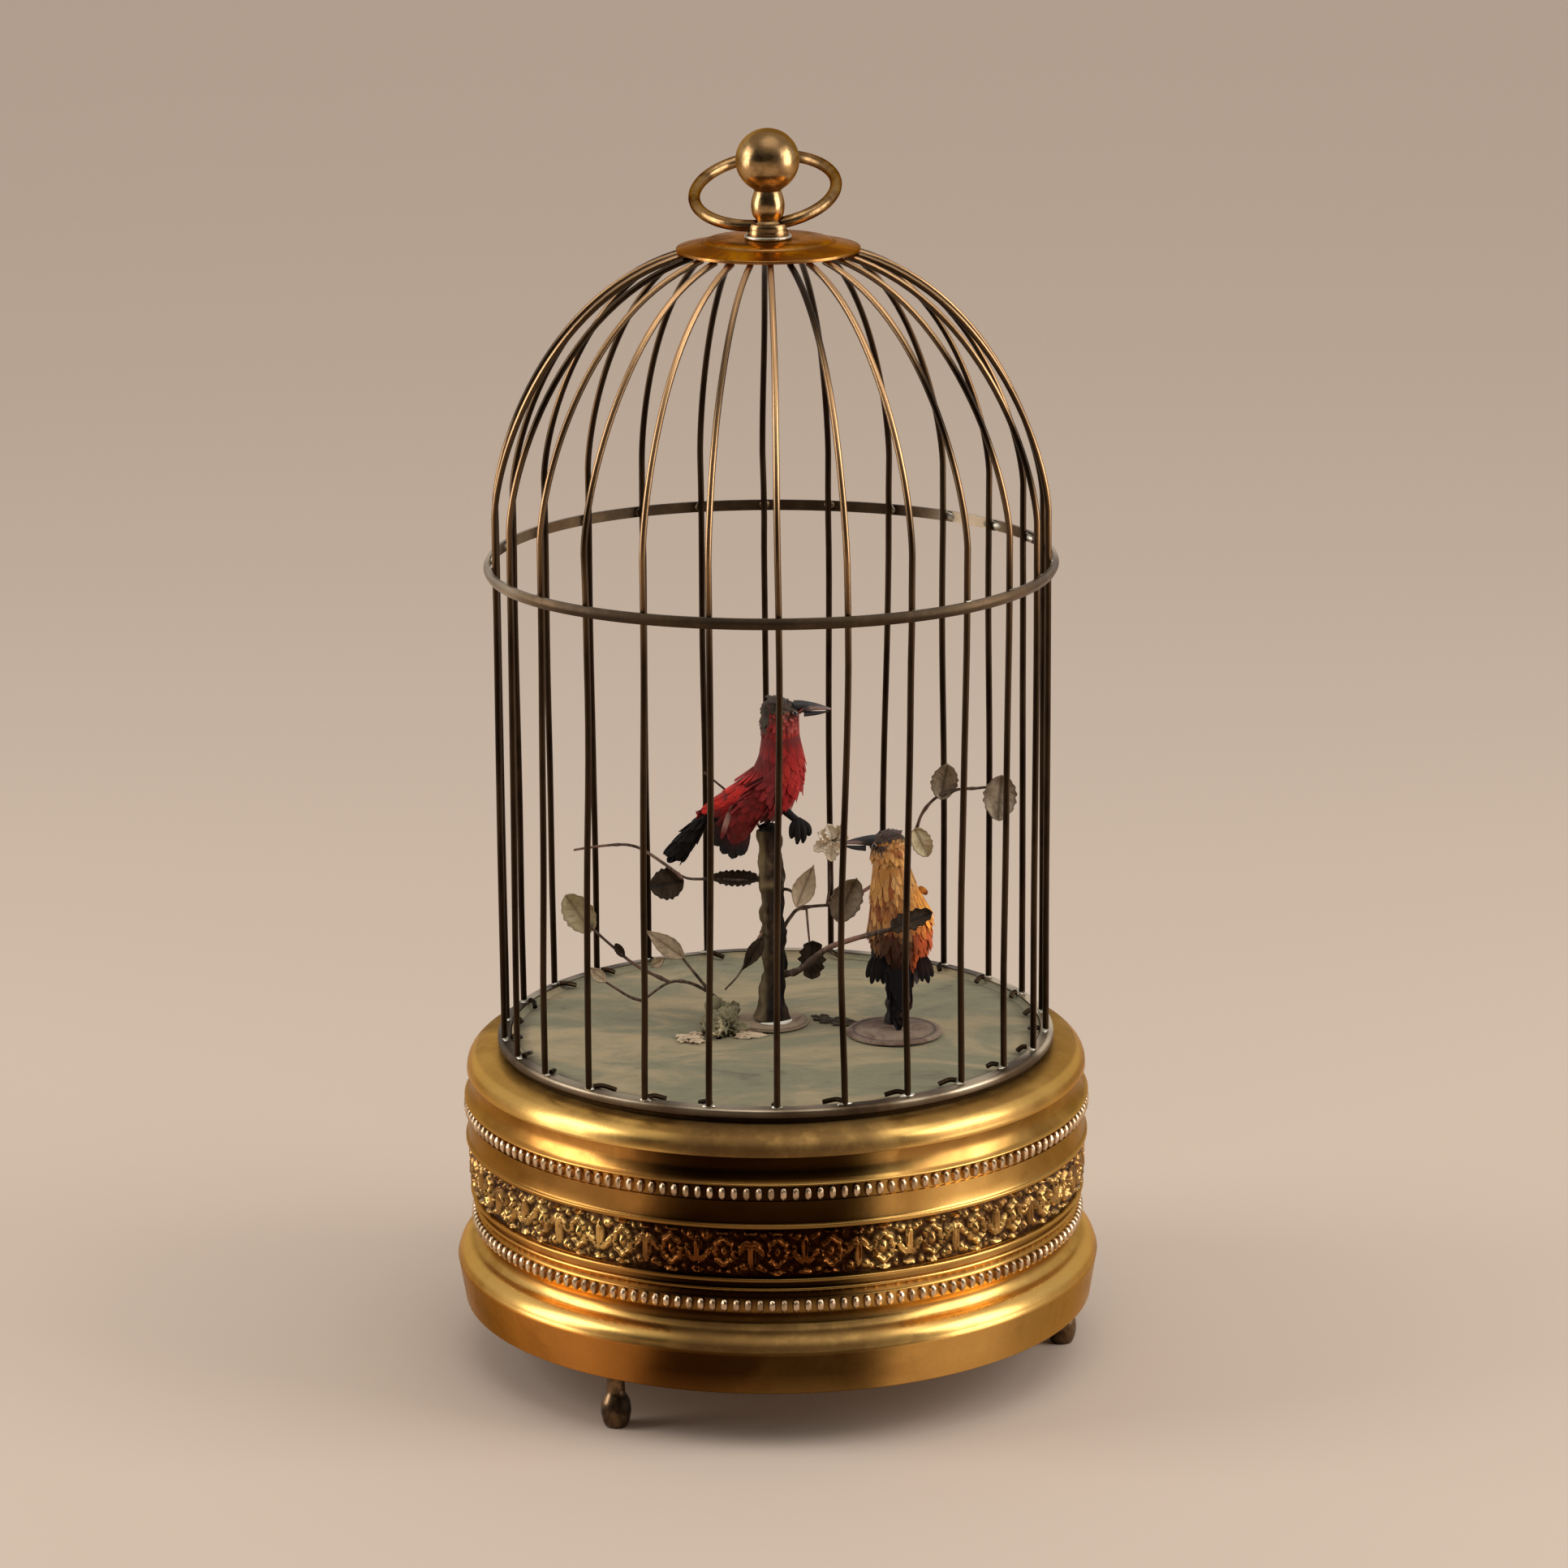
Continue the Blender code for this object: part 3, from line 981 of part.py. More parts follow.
def fly_governor():
    """The air brake: a pinion and two thin vanes on a fast arbor."""
    arbor = place("fly_governor", turned(arbor_profile(UPPER_PLATE_TOP), 12), steel())
    combine(arbor, pinion("fly_pinion", CRANK_WHEEL_MODULE, CRANK_WHEEL_BOTTOM, THIN_WHEEL_THICKNESS,
                          CRANK_TO_FLY_ANGLE + 180.0, steel()), "UNION")
    low = BASE_PLATE_TOP + 0.0030
    vanes = box((-FLY_REACH, -FLY_THICKNESS / 2, low), (FLY_REACH, FLY_THICKNESS / 2, low + FLY_HEIGHT))
    combine(arbor, place("fly_vanes", vanes, brass(), smooth=False), "UNION")
    return at_axis(arbor, FLY_AT)


def movement_frame():
    """The upper plate and its pillars, which stand on the base plate."""
    plate = disc(UPPER_PLATE_RADIUS, UPPER_PLATE_BOTTOM, UPPER_PLATE_TOP, 40)
    frame = place("movement_frame", plate, brass())
    for number in range(PILLAR_COUNT):
        centre = stepped((0.0, 0.0), PILLAR_CIRCLE_RADIUS, 45 + number * 360 / PILLAR_COUNT)
        pillar = disc(PILLAR_RADIUS, BASE_PLATE_TOP + SEAT_GAP, UPPER_PLATE_BOTTOM + 0.0005, 10,
                      centre=centre)
        combine(frame, place(f"pillar_{number + 1}", pillar, brass()), "UNION")
    for name, centre in (("winding", BARREL_AT), ("cam", CAM_AT), ("crank", CRANK_AT), ("fly", FLY_AT)):
        drill = disc(TOP_PIVOT_RADIUS + RUNNING_GAP, UPPER_PLATE_BOTTOM - 0.001, UPPER_PLATE_TOP + 0.001, 12,
                     centre=centre)
        combine(frame, place(f"upper_{name}_hole", drill, brass()), "DIFFERENCE")
    return frame


def winding_key():
    """The folding-wing key under the base and the arbor that it turns, up through the barrel."""
    shoulder = UPPER_PLATE_BOTTOM - SEAT_GAP
    blade_top = KEY_TABLE_CLEARANCE + KEY_BLADE_HEIGHT
    pivot = TOP_PIVOT_RADIUS * 0.8
    shaft = WINDING_ARBOR_RADIUS * 0.9
    profile = [(0.0, UPPER_PLATE_TOP), (pivot, UPPER_PLATE_TOP), (pivot, shoulder), (shaft, shoulder),
               (shaft, blade_top - 0.001), (0.0, blade_top - 0.001)]
    key = place("winding_key", turned(profile, 12), brass())
    reach = KEY_SPAN / 2 - KEY_BLADE_HEIGHT / 2
    middle = KEY_TABLE_CLEARANCE + KEY_BLADE_HEIGHT / 2
    outline = []
    for side in (1, -1):
        for step in range(7):
            angle = math.pi * (step / 6 - 0.5)
            outline.append((side * (reach + KEY_BLADE_HEIGHT / 2 * math.cos(angle)),
                            side * KEY_BLADE_HEIGHT / 2 * math.sin(angle)))
    blade = prism(outline, -KEY_THICKNESS / 2, KEY_THICKNESS / 2)
    upright = Matrix.Translation((0, 0, middle)) @ Matrix.Rotation(math.pi / 2, 4, "Z")
    bmesh.ops.transform(blade, matrix=upright @ Matrix.Rotation(math.pi / 2, 4, "X"), verts=blade.verts)
    combine(key, place("key_blade", blade, brass(), smooth=False), "UNION")
    return at_axis(key, BARREL_AT)


def stop_lever():
    """The start and stop lever under the base, with a finger tab near the back edge."""
    top = DRUM_BOTTOM - SEAT_GAP
    bottom = top - LEVER_THICKNESS
    half = LEVER_WIDTH / 2
    outline = [(-half, -half * 0.7), (half, -half * 0.7), (half * 0.7, LEVER_LENGTH * 0.7),
               (half * 1.3, LEVER_LENGTH * 0.9), (half * 0.9, LEVER_LENGTH), (-half * 0.9, LEVER_LENGTH),
               (-half * 1.3, LEVER_LENGTH * 0.9), (-half * 0.7, LEVER_LENGTH * 0.7)]
    lever = place("stop_lever", prism(outline, bottom, top), brass(), smooth=False)
    stud = disc(LEVER_PIVOT_RADIUS * 0.9, bottom - 0.0006, BASE_PLATE_TOP + 0.0005, 12)
    combine(lever, place("lever_stud", stud, brass()), "UNION")
    return at_axis(lever, LEVER_AT)


BELLOWS_AT = (-0.0140, 0.0170)
WHISTLE_Y = -0.0290


def bellows():
    """The leather bellows on the upper plate, with pleated sides."""
    bottom = UPPER_PLATE_TOP + SEAT_GAP
    bm = bmesh.new()
    loops = []
    for step in range(2 * BELLOWS_FOLDS + 1):
        inset = 0.0012 if step % 2 else 0.0
        height = bottom + BELLOWS_HEIGHT * step / (2 * BELLOWS_FOLDS)
        half_x = BELLOWS_LENGTH / 2 - inset
        half_y = BELLOWS_WIDTH / 2 - inset
        corners = [(half_x, half_y), (-half_x, half_y), (-half_x, -half_y), (half_x, -half_y)]
        verts = [bm.verts.new((BELLOWS_AT[0] + x, BELLOWS_AT[1] + y, height)) for x, y in corners]
        loops.append([bm.edges.new((verts[i], verts[(i + 1) % 4])) for i in range(4)])
    for lower, upper in zip(loops, loops[1:]):
        bmesh.ops.bridge_loops(bm, edges=lower + upper)
    for end in (loops[0], loops[-1]):
        bmesh.ops.contextual_create(bm, geom=end)
    return place("bellows", bm, material("bellows_leather", (0.32, 0.22, 0.14), 0.8), smooth=False)


def lying_x(bm, centre):
    """Lay an upright piece down along X about a centre."""
    laid = Matrix.Translation(centre) @ Matrix.Rotation(math.pi / 2, 4, "Y")
    bmesh.ops.transform(bm, matrix=laid, verts=bm.verts)
    return bm


WHISTLE_MIDDLE = UPPER_PLATE_TOP + SEAT_GAP + 0.0010 + WHISTLE_RADIUS


def whistle():
    """The tube whistle on its block, open at the piston's end, with a slot for the mouth."""
    half = WHISTLE_LENGTH / 2
    profile = [(0.0, -half), (WHISTLE_RADIUS, -half), (WHISTLE_RADIUS, half), (WHISTLE_BORE_RADIUS, half),
               (WHISTLE_BORE_RADIUS, -half * 0.6), (0.0, -half * 0.6)]
    centre = (0.0, WHISTLE_Y, WHISTLE_MIDDLE)
    tube = place("whistle", lying_x(turned(profile, 14), centre), brass())
    foot_low = UPPER_PLATE_TOP + SEAT_GAP
    block = box((-half * 0.8, WHISTLE_Y - 0.0020, foot_low),
                (half * 0.2, WHISTLE_Y + 0.0020, WHISTLE_MIDDLE - WHISTLE_BORE_RADIUS - 0.0004))
    combine(tube, place("whistle_block", block, brass(), smooth=False), "UNION")
    mouth_top = WHISTLE_MIDDLE + WHISTLE_RADIUS
    mouth = box((-half * 0.55, WHISTLE_Y - 0.0012, WHISTLE_MIDDLE),
                (-half * 0.40, WHISTLE_Y + 0.0012, mouth_top + 0.0010))
    combine(tube, place("whistle_mouth", mouth, brass(), smooth=False), "DIFFERENCE")
    return tube


def whistle_piston():
    """The piston that slides in the whistle to bend the note, on its rod."""
    radius = WHISTLE_BORE_RADIUS - RUNNING_GAP
    start = -WHISTLE_LENGTH * 0.12
    end = WHISTLE_LENGTH / 2 + 0.0060
    profile = [(0.0, start), (radius, start), (radius, start + 0.0040), (radius * 0.4, start + 0.0040),
               (radius * 0.4, end), (radius, end), (radius, end + 0.0012), (0.0, end + 0.0012)]
    return place("whistle_piston", lying_x(turned(profile, 12), (0, 0, 0)), steel(),
                 (0.0, WHISTLE_Y, WHISTLE_MIDDLE))


def build():
    """Make every piece."""
    clear_scene()
    base_drum()
    base_plate()
    for number in range(FOOT_COUNT):
        foot(number)
    floor_board()
    cage_foot_ring()
    for number in range(BAR_COUNT):
        cage_bar(number)
    cage_hoop()
    cage_cap()
    finial()
    hanging_ring()
    tree_trunk()
    floor_shrub()
    bird_post()
    floor_disc("trunk_base_disc", TRUNK_DISC_RADIUS, TRUNK_X, TRUNK_Y)
    floor_disc("post_base_disc", POST_DISC_RADIUS, POST_X, POST_DISC_Y)
    red_bird()
    orange_bird()
    movement_frame()
    spring_barrel()
    cam_arbor()
    crank_arbor()
    fly_governor()
    bellows()
    whistle()
    whistle_piston()
    winding_key()
    stop_lever()


build()
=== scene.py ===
"""Looks of the singing bird automaton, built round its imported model.

Each sub-assembly is a class: its sizes are fields, and its methods build the meshes and dress them.
Fields and tables are in millimetres and degrees where no comment says otherwise.
"""
from __future__ import annotations

import logging
import math
import random
from dataclasses import dataclass, field
from enum import Enum

import bmesh
import bpy
from mathutils import Matrix, Vector, noise


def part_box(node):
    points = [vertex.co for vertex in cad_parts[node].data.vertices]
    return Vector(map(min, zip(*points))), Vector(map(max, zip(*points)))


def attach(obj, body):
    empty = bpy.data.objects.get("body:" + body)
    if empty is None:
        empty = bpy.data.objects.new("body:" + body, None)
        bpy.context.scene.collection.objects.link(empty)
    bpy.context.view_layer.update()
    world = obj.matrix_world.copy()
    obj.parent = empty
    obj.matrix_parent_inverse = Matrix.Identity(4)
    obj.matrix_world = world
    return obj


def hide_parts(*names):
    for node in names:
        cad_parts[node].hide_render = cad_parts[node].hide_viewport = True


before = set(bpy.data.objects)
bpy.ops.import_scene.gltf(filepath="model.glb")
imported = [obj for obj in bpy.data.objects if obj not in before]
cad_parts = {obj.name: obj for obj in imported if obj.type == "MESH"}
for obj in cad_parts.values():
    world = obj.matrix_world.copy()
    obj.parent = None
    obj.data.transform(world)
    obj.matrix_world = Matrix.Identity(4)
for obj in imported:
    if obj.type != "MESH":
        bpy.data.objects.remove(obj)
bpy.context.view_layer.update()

LOG = logging.getLogger("bird_cage")
MM = 0.001
BASE = "cage_and_base"

Colour = tuple[float, float, float]
Point = tuple[float, float, float]

CAMERA_PLACE = (0.0, -1192.32, 442.17)
NOISE_SEED = 7                      # without it Blender takes the clock for noise_vector


class Slot(Enum):
    """The material slots that the finishes carry."""

    BRASS = "aged_brass"
    DARK_BRASS = "dark_brass"
    COPPER = "copper_brass"
    WIRE = "cage_wire"
    STEEL = "movement_steel"
    BARK = "bark"
    LEAF = "dried_leaf"
    GREEN = "faded_green"
    RUST = "painted_rust"
    CRIMSON = "crimson_feather"
    ORANGE = "orange_feather"
    BLACK = "black_feather"
    HORN = "black_horn"
    LEATHER = "bellows_leather"


class Wiring:
    """Adds and links nodes in one node tree."""

    def __init__(self, tree: bpy.types.NodeTree) -> None:
        """Keep the tree to work on."""
        self.tree = tree

    def feed(self, socket: bpy.types.NodeSocket, value: object) -> None:
        """Link a socket to another one, or set its value.

        Args:
            socket: the input to feed.
            value: an output socket, a number, a vector or a colour.
        """
        if isinstance(value, bpy.types.NodeSocket):
            self.tree.links.new(value, socket)
        elif socket.type == "RGBA":
            socket.default_value = (*value[:3], 1.0)
        else:
            socket.default_value = value

    def fill(self, inputs: bpy.types.NodeInputs, values: dict) -> None:
        """Feed several inputs, by name or number."""
        for key, value in values.items():
            self.feed(inputs[key], value)

    def node(self, kind: str, inputs: dict | None = None, **settings: object) -> bpy.types.Node:
        """Add a node.

        Args:
            kind: the node's type.
            inputs: what feeds its inputs, by name or number.
            settings: the node's properties.

        Returns:
            The new node.
        """
        made = self.tree.nodes.new(kind)
        for key, value in settings.items():
            setattr(made, key, value)
        self.fill(made.inputs, inputs or {})
        return made

    def place(self) -> bpy.types.NodeSocket:
        """The point's place in the object, in metres."""
        return self.node("ShaderNodeTexCoord").outputs["Object"]

    def mask(self, name: str) -> bpy.types.NodeSocket:
        """A number painted on the mesh's points."""
        return self.node("ShaderNodeAttribute", attribute_name=name).outputs["Fac"]

    def maths(self, operation: str, first: object, second: object = 0.0,
              held: bool = True) -> bpy.types.NodeSocket:
        """One sum, held between 0 and 1 unless told otherwise."""
        return self.node("ShaderNodeMath", {0: first, 1: second}, operation=operation,
                         use_clamp=held).outputs[0]

    def toned(self, colour: object, tone: Colour) -> bpy.types.NodeSocket:
        """A colour multiplied by another."""
        return self.node("ShaderNodeVectorMath", {0: colour, 1: tone}, operation="MULTIPLY").outputs[0]

    def span(self, value: object, low: float, high: float, start: float = 0.0,
             end: float = 1.0) -> bpy.types.NodeSocket:
        """Turn a range of values smoothly into another range.

        Args:
            value: the number to turn.
            low: where the old range starts.
            high: where the old range ends.
            start: what low becomes.
            end: what high becomes.

        Returns:
            The socket with the new number.
        """
        inputs = {"Value": value, "From Min": low, "From Max": high, "To Min": start, "To Max": end}
        return self.node("ShaderNodeMapRange", inputs, interpolation_type="SMOOTHSTEP").outputs["Result"]

    def blend(self, share: object, first: object, second: object) -> bpy.types.NodeSocket:
        """Mix two colours by a share of the second."""
        return self.node("ShaderNodeMix", {0: share, 6: first, 7: second}, data_type="RGBA").outputs[2]

    def noise(self, place: object, scale: object, detail: float = 4.0, rough: float = 0.55,
              twist: float = 0.0) -> bpy.types.NodeSocket:
        """Soft random patches.

        Args:
            place: the coordinates to read.
            scale: patches to the metre.
            detail: how many finer layers are added.
            rough: how strong the finer layers are.
            twist: how far the patches are drawn out of shape.

        Returns:
            The socket with a number about 0.5.
        """
        inputs = {"Vector": place, "Scale": scale, "Detail": detail, "Roughness": rough, "Distortion": twist}
        return self.node("ShaderNodeTexNoise", inputs).outputs["Fac"]

    def bump(self, height: object, distance: float, strength: float = 1.0) -> bpy.types.NodeSocket:
        """Turn a height from 0 to 1 into a normal, with its real depth in metres."""
        return self.node("ShaderNodeBump", {"Height": height, "Distance": distance,
                                            "Strength": strength}).outputs["Normal"]


class Group(Enum):
    """The node groups that several finishes share."""

    TARNISH = "tarnish"
    SPECKLE = "speckle"


def open_group(group: Group, inputs: dict[str, str], outputs: dict[str, str]) -> tuple[Wiring, dict, dict]:
    """Start a new node group.

    Args:
        group: which group it is.
        inputs: the kind of each input socket.
        outputs: the kind of each output socket.

    Returns:
        The wiring of its tree, the sockets that its inputs give, and those that its outputs take.
    """
    tree = bpy.data.node_groups.new(group.value, "ShaderNodeTree")
    for name, kind in inputs.items():
        tree.interface.new_socket(name, in_out="INPUT", socket_type=kind)
    for name, kind in outputs.items():
        tree.interface.new_socket(name, in_out="OUTPUT", socket_type=kind)
    wiring = Wiring(tree)
    given = wiring.node("NodeGroupInput").outputs
    taken = wiring.node("NodeGroupOutput").inputs
    return wiring, {name: given[name] for name in inputs}, {name: taken[name] for name in outputs}


FLOAT = "NodeSocketFloat"
COLOUR = "NodeSocketColor"
VECTOR = "NodeSocketVector"


def build_tarnish() -> None:
    """Build the group that ages a metal: patches, dark spots, grime in hollows and rubbed edges; on some
    pieces its Grime and Wear inputs also carry painted shade and painted highlights.
    """
    inputs = {"Bright": COLOUR, "Worn": COLOUR, "Dark": COLOUR, "Rubbed": COLOUR, "Patches": FLOAT,
              "Spots": FLOAT, "Grime": FLOAT, "Wear": FLOAT}
    wiring, given, taken = open_group(Group.TARNISH, inputs, {"Color": COLOUR, "Dullness": FLOAT})
    place = wiring.place()
    broad = wiring.noise(place, given["Patches"], detail=5.0, rough=0.6, twist=0.6)
    finer = wiring.maths("MULTIPLY", given["Patches"], 7.0, held=False)
    freckles = wiring.noise(place, finer, detail=3.0, rough=0.7)
    base = wiring.blend(wiring.span(broad, 0.36, 0.62), given["Worn"], given["Bright"])
    spots = wiring.maths("MULTIPLY", wiring.span(freckles, 0.50, 0.74), given["Spots"])
    stain = wiring.maths("MULTIPLY", wiring.span(broad, 0.58, 0.34), given["Spots"])
    loose = wiring.maths("MULTIPLY", given["Grime"], wiring.span(freckles, 0.25, 0.60, 0.75, 1.0))
    dull = wiring.maths("MAXIMUM", wiring.maths("MAXIMUM", spots, stain), loose)
    aged = wiring.blend(dull, base, given["Dark"])
    wiring.feed(taken["Color"], wiring.blend(given["Wear"], aged, given["Rubbed"]))
    wiring.feed(taken["Dullness"], wiring.maths("SUBTRACT", dull, given["Wear"]))


def build_speckle() -> None:
    """Build the group for paint and stone-like stains: three sizes of blotch in one mask."""
    wiring, given, taken = open_group(Group.SPECKLE, {"Place": VECTOR, "Scale": FLOAT},
                                      {"Broad": FLOAT, "Fine": FLOAT})
    place = given["Place"]
    finer = wiring.maths("MULTIPLY", given["Scale"], 16.0, held=False)
    wiring.fill(taken, {"Broad": wiring.noise(place, given["Scale"], detail=6.0, rough=0.62, twist=1.2),
                        "Fine": wiring.noise(place, finer, detail=4.0, rough=0.65)})


def start_material(name: str) -> tuple[bpy.types.Material, Wiring, bpy.types.NodeInputs]:
    """Start a material.

    Args:
        name: the finish's name.

    Returns:
        The material, its wiring, and its Principled shader's inputs.
    """
    made = bpy.data.materials.new(name)
    made.use_nodes = True
    return made, Wiring(made.node_tree), made.node_tree.nodes["Principled BSDF"].inputs


@dataclass(frozen=True)
class Metal:
    """A worn metal: bright where it is rubbed and where highlights are painted, dark where tarnish, grime and
    painted shade lie.
    """

    name: str
    slot: Slot
    bright: Colour
    worn: Colour
    dark: Colour
    patches: float = 60.0        # patches to the metre
    spots: float = 0.35          # how strong the spots and stains are
    smooth: float = 0.22         # roughness of clean metal
    dull: float = 0.55           # roughness of tarnish
    dents: float = 0.00006       # depth of the fine unevenness, metres
    dent_scale: float = 420.0    # dents to the metre
    painted_shade_tone: Colour = (0.20, 0.12, 0.06)     # what the colour is multiplied by where dark reflections and shade are painted
    warm_reflection_tone: Colour = (0.78, 0.52, 0.34)      # the same where a warm reflection is painted as a copper tone
    rubbed: Colour | None = None             # what shows where it is worn and where highlights are painted, else the bright colour
    spun: float = 0.0            # how far lathe lines round the axis draw highlights up and down
    edge: Colour = (1.0, 1.0, 1.0)           # what tones the reflections where the metal is seen flatly

    def material(self) -> bpy.types.Material:
        """Build the finish's material."""
        made, wiring, shader = start_material(self.name)
        group = wiring.node("ShaderNodeGroup", {
            "Bright": self.bright, "Worn": self.worn, "Dark": self.dark, "Rubbed": self.rubbed or self.bright,
            "Patches": self.patches, "Spots": self.spots, "Grime": wiring.mask("grime"),
            "Wear": wiring.mask("wear")}, node_tree=bpy.data.node_groups[Group.TARNISH.value])
        colour = group.outputs["Color"]
        # The warm mask paints a warm reflection; the brown mask paints dark reflections and shade.
        for mask, tone in (("warm", self.warm_reflection_tone), ("brown", self.painted_shade_tone)):
            colour = wiring.blend(wiring.mask(mask), colour, wiring.toned(colour, tone))
        smear = wiring.noise(wiring.place(), 240.0, detail=3.0)
        dullness = wiring.maths("ADD", group.outputs["Dullness"], wiring.span(smear, 0.35, 0.75, 0.0, 0.25))
        dent = wiring.noise(wiring.place(), self.dent_scale, detail=2.0)
        wiring.fill(shader, {"Base Color": colour, "Metallic": 1.0, "Specular Tint": self.edge,
                             "Roughness": wiring.span(dullness, 0.0, 1.0, self.smooth, self.dull),
                             "Normal": wiring.bump(dent, self.dents)})
        if self.spun:
            tangent = wiring.node("ShaderNodeTangent", direction_type="RADIAL", axis="Z").outputs[0]
            wiring.fill(shader, {"Tangent": tangent, "Anisotropic": self.spun, "Anisotropic Rotation": 0.25})
        return made


@dataclass(frozen=True)
class Paint:
    """Old matt paint with stains, worn through in places."""

    name: str
    slot: Slot
    colour: Colour
    faded: Colour
    stain: Colour
    scale: float = 34.0
    roughness: float = 0.82
    drawn: Point = (1.0, 1.0, 1.0)       # below 1 draws the blotches out along that axis

    def material(self) -> bpy.types.Material:
        """Build the finish's material."""
        made, wiring, shader = start_material(self.name)
        place = wiring.node("ShaderNodeMapping", {"Vector": wiring.place(), "Scale": self.drawn}).outputs[0]
        group = wiring.node("ShaderNodeGroup", {"Place": place, "Scale": self.scale},
                            node_tree=bpy.data.node_groups[Group.SPECKLE.value])
        broad, fine = group.outputs["Broad"], group.outputs["Fine"]
        base = wiring.blend(wiring.span(broad, 0.40, 0.66), self.colour, self.faded)
        dirt_and_shade = wiring.maths("MAXIMUM", wiring.span(broad, 0.40, 0.26),
                            wiring.span(fine, 0.62, 0.78, 0.0, 0.6))
        # On the floor board the grime mask also holds a painted shadow along the front rim.
        dirt_and_shade = wiring.maths("MAXIMUM", dirt_and_shade, wiring.mask("grime"))
        wiring.fill(shader, {"Base Color": wiring.blend(dirt_and_shade, base, self.stain),
                             "Roughness": wiring.span(fine, 0.2, 0.8, self.roughness - 0.12, 1.0),
                             "Normal": wiring.bump(fine, 0.00012)})
        return made


@dataclass(frozen=True)
class Leather:
    """Thin goatskin on the bellows."""

    name: str
    slot: Slot
    colour: Colour
    crease: Colour

    def material(self) -> bpy.types.Material:
        """Build the finish's material."""
        made, wiring, shader = start_material(self.name)
        place = wiring.place()
        cells = wiring.node("ShaderNodeTexVoronoi", {"Vector": place, "Scale": 900.0}).outputs["Distance"]
        worn = wiring.noise(place, 120.0)
        hide = wiring.blend(wiring.span(worn, 0.35, 0.7), self.crease, self.colour)
        wiring.fill(shader, {"Base Color": hide,
                             "Roughness": wiring.span(worn, 0.2, 0.8, 0.55, 0.8),
                             "Normal": wiring.bump(cells, 0.0001)})
        return made


AGED_BRASS = Metal("aged_brass_spun", Slot.BRASS, (0.74, 0.45, 0.13), (0.48, 0.265, 0.070),
                   (0.11, 0.055, 0.022), patches=26.0, spots=0.22, smooth=0.27, dull=0.52, dents=0.00001,
                   painted_shade_tone=(0.035, 0.024, 0.016), spun=0.6, edge=(0.95, 0.74, 0.48))
BEAD_BRASS = Metal("rubbed_brass", Slot.BRASS, (0.88, 0.67, 0.44), (0.64, 0.44, 0.25), (0.12, 0.07, 0.035),
                   patches=200.0, smooth=0.28, painted_shade_tone=(0.55, 0.50, 0.50))
RELIEF_BRASS = Metal("embossed_brass", Slot.BRASS, (0.74, 0.46, 0.15), (0.34, 0.165, 0.050),
                     (0.040, 0.016, 0.008), patches=110.0, smooth=0.24, dents=0.0001,
                     painted_shade_tone=(0.26, 0.14, 0.09))
POLISHED_BRASS = Metal("handled_brass", Slot.BRASS, (0.44, 0.28, 0.125), (0.27, 0.160, 0.068),
                       (0.10, 0.055, 0.025), patches=150.0, spots=0.35, smooth=0.19, edge=(0.72, 0.50, 0.30))
RING_BRASS = Metal("dark_ring_brass", Slot.BRASS, (0.33, 0.195, 0.082), (0.14, 0.076, 0.032),
                   (0.06, 0.034, 0.018), patches=110.0, spots=0.35, smooth=0.20, edge=(0.40, 0.26, 0.15))
COPPER_BRASS = Metal("copper_toned_brass", Slot.COPPER, (0.50, 0.235, 0.062), (0.30, 0.130, 0.036),
                     (0.075, 0.035, 0.016), patches=90.0, smooth=0.22, edge=(0.62, 0.38, 0.20))
DARK_BRASS = Metal("dark_turned_brass", Slot.DARK_BRASS, (0.20, 0.12, 0.062), (0.055, 0.033, 0.019),
                   (0.018, 0.012, 0.008), patches=160.0, spots=0.6, smooth=0.28)
HOOP_BRASS = Metal("dull_hoop_brass", Slot.DARK_BRASS, (0.155, 0.098, 0.052), (0.078, 0.048, 0.027),
                   (0.040, 0.027, 0.017), patches=70.0, spots=0.4, smooth=0.34, rubbed=(0.62, 0.50, 0.35))
WIRE = Metal("browned_wire", Slot.WIRE, (0.032, 0.019, 0.010), (0.016, 0.009, 0.005), (0.008, 0.005, 0.003),
             patches=38.0, spots=0.2, smooth=0.30, dents=0.00002, dent_scale=700.0, rubbed=(0.62, 0.36, 0.17))
SOLDER = Metal("pale_solder", Slot.DARK_BRASS, (0.62, 0.58, 0.48), (0.36, 0.32, 0.24), (0.16, 0.13, 0.09),
               patches=400.0, smooth=0.4, dents=0.0002)
STEEL = Metal("movement_steel_blued", Slot.STEEL, (0.62, 0.62, 0.62), (0.42, 0.42, 0.43), (0.14, 0.11, 0.09),
              patches=90.0, spots=0.25)
MOVEMENT_BRASS = Metal("movement_brass", Slot.BRASS, (0.82, 0.58, 0.24), (0.64, 0.42, 0.16),
                       (0.22, 0.13, 0.06), patches=80.0, spots=0.25)
FLOOR_PAINT = Paint("faded_green_paint", Slot.GREEN, (0.176, 0.160, 0.093), (0.315, 0.238, 0.128),
                    (0.095, 0.078, 0.048), scale=40.0, drawn=(0.75, 1.3, 1.0))
TRUNK_DISC_PAINT = Paint("tan_disc_paint", Slot.RUST, (0.24, 0.165, 0.098), (0.32, 0.23, 0.145),
                         (0.09, 0.056, 0.032), scale=90.0)
POST_DISC_PAINT = Paint("rust_disc_paint", Slot.RUST, (0.105, 0.055, 0.034), (0.215, 0.150, 0.098),
                        (0.036, 0.020, 0.014), scale=90.0)
CREAM_PAINT = Paint("cream_rim_paint", Slot.RUST, (0.70, 0.64, 0.52), (0.80, 0.76, 0.66), (0.40, 0.32, 0.22))
GOATSKIN = Leather("bellows_goatskin", Slot.LEATHER, (0.62, 0.52, 0.38), (0.38, 0.28, 0.18))


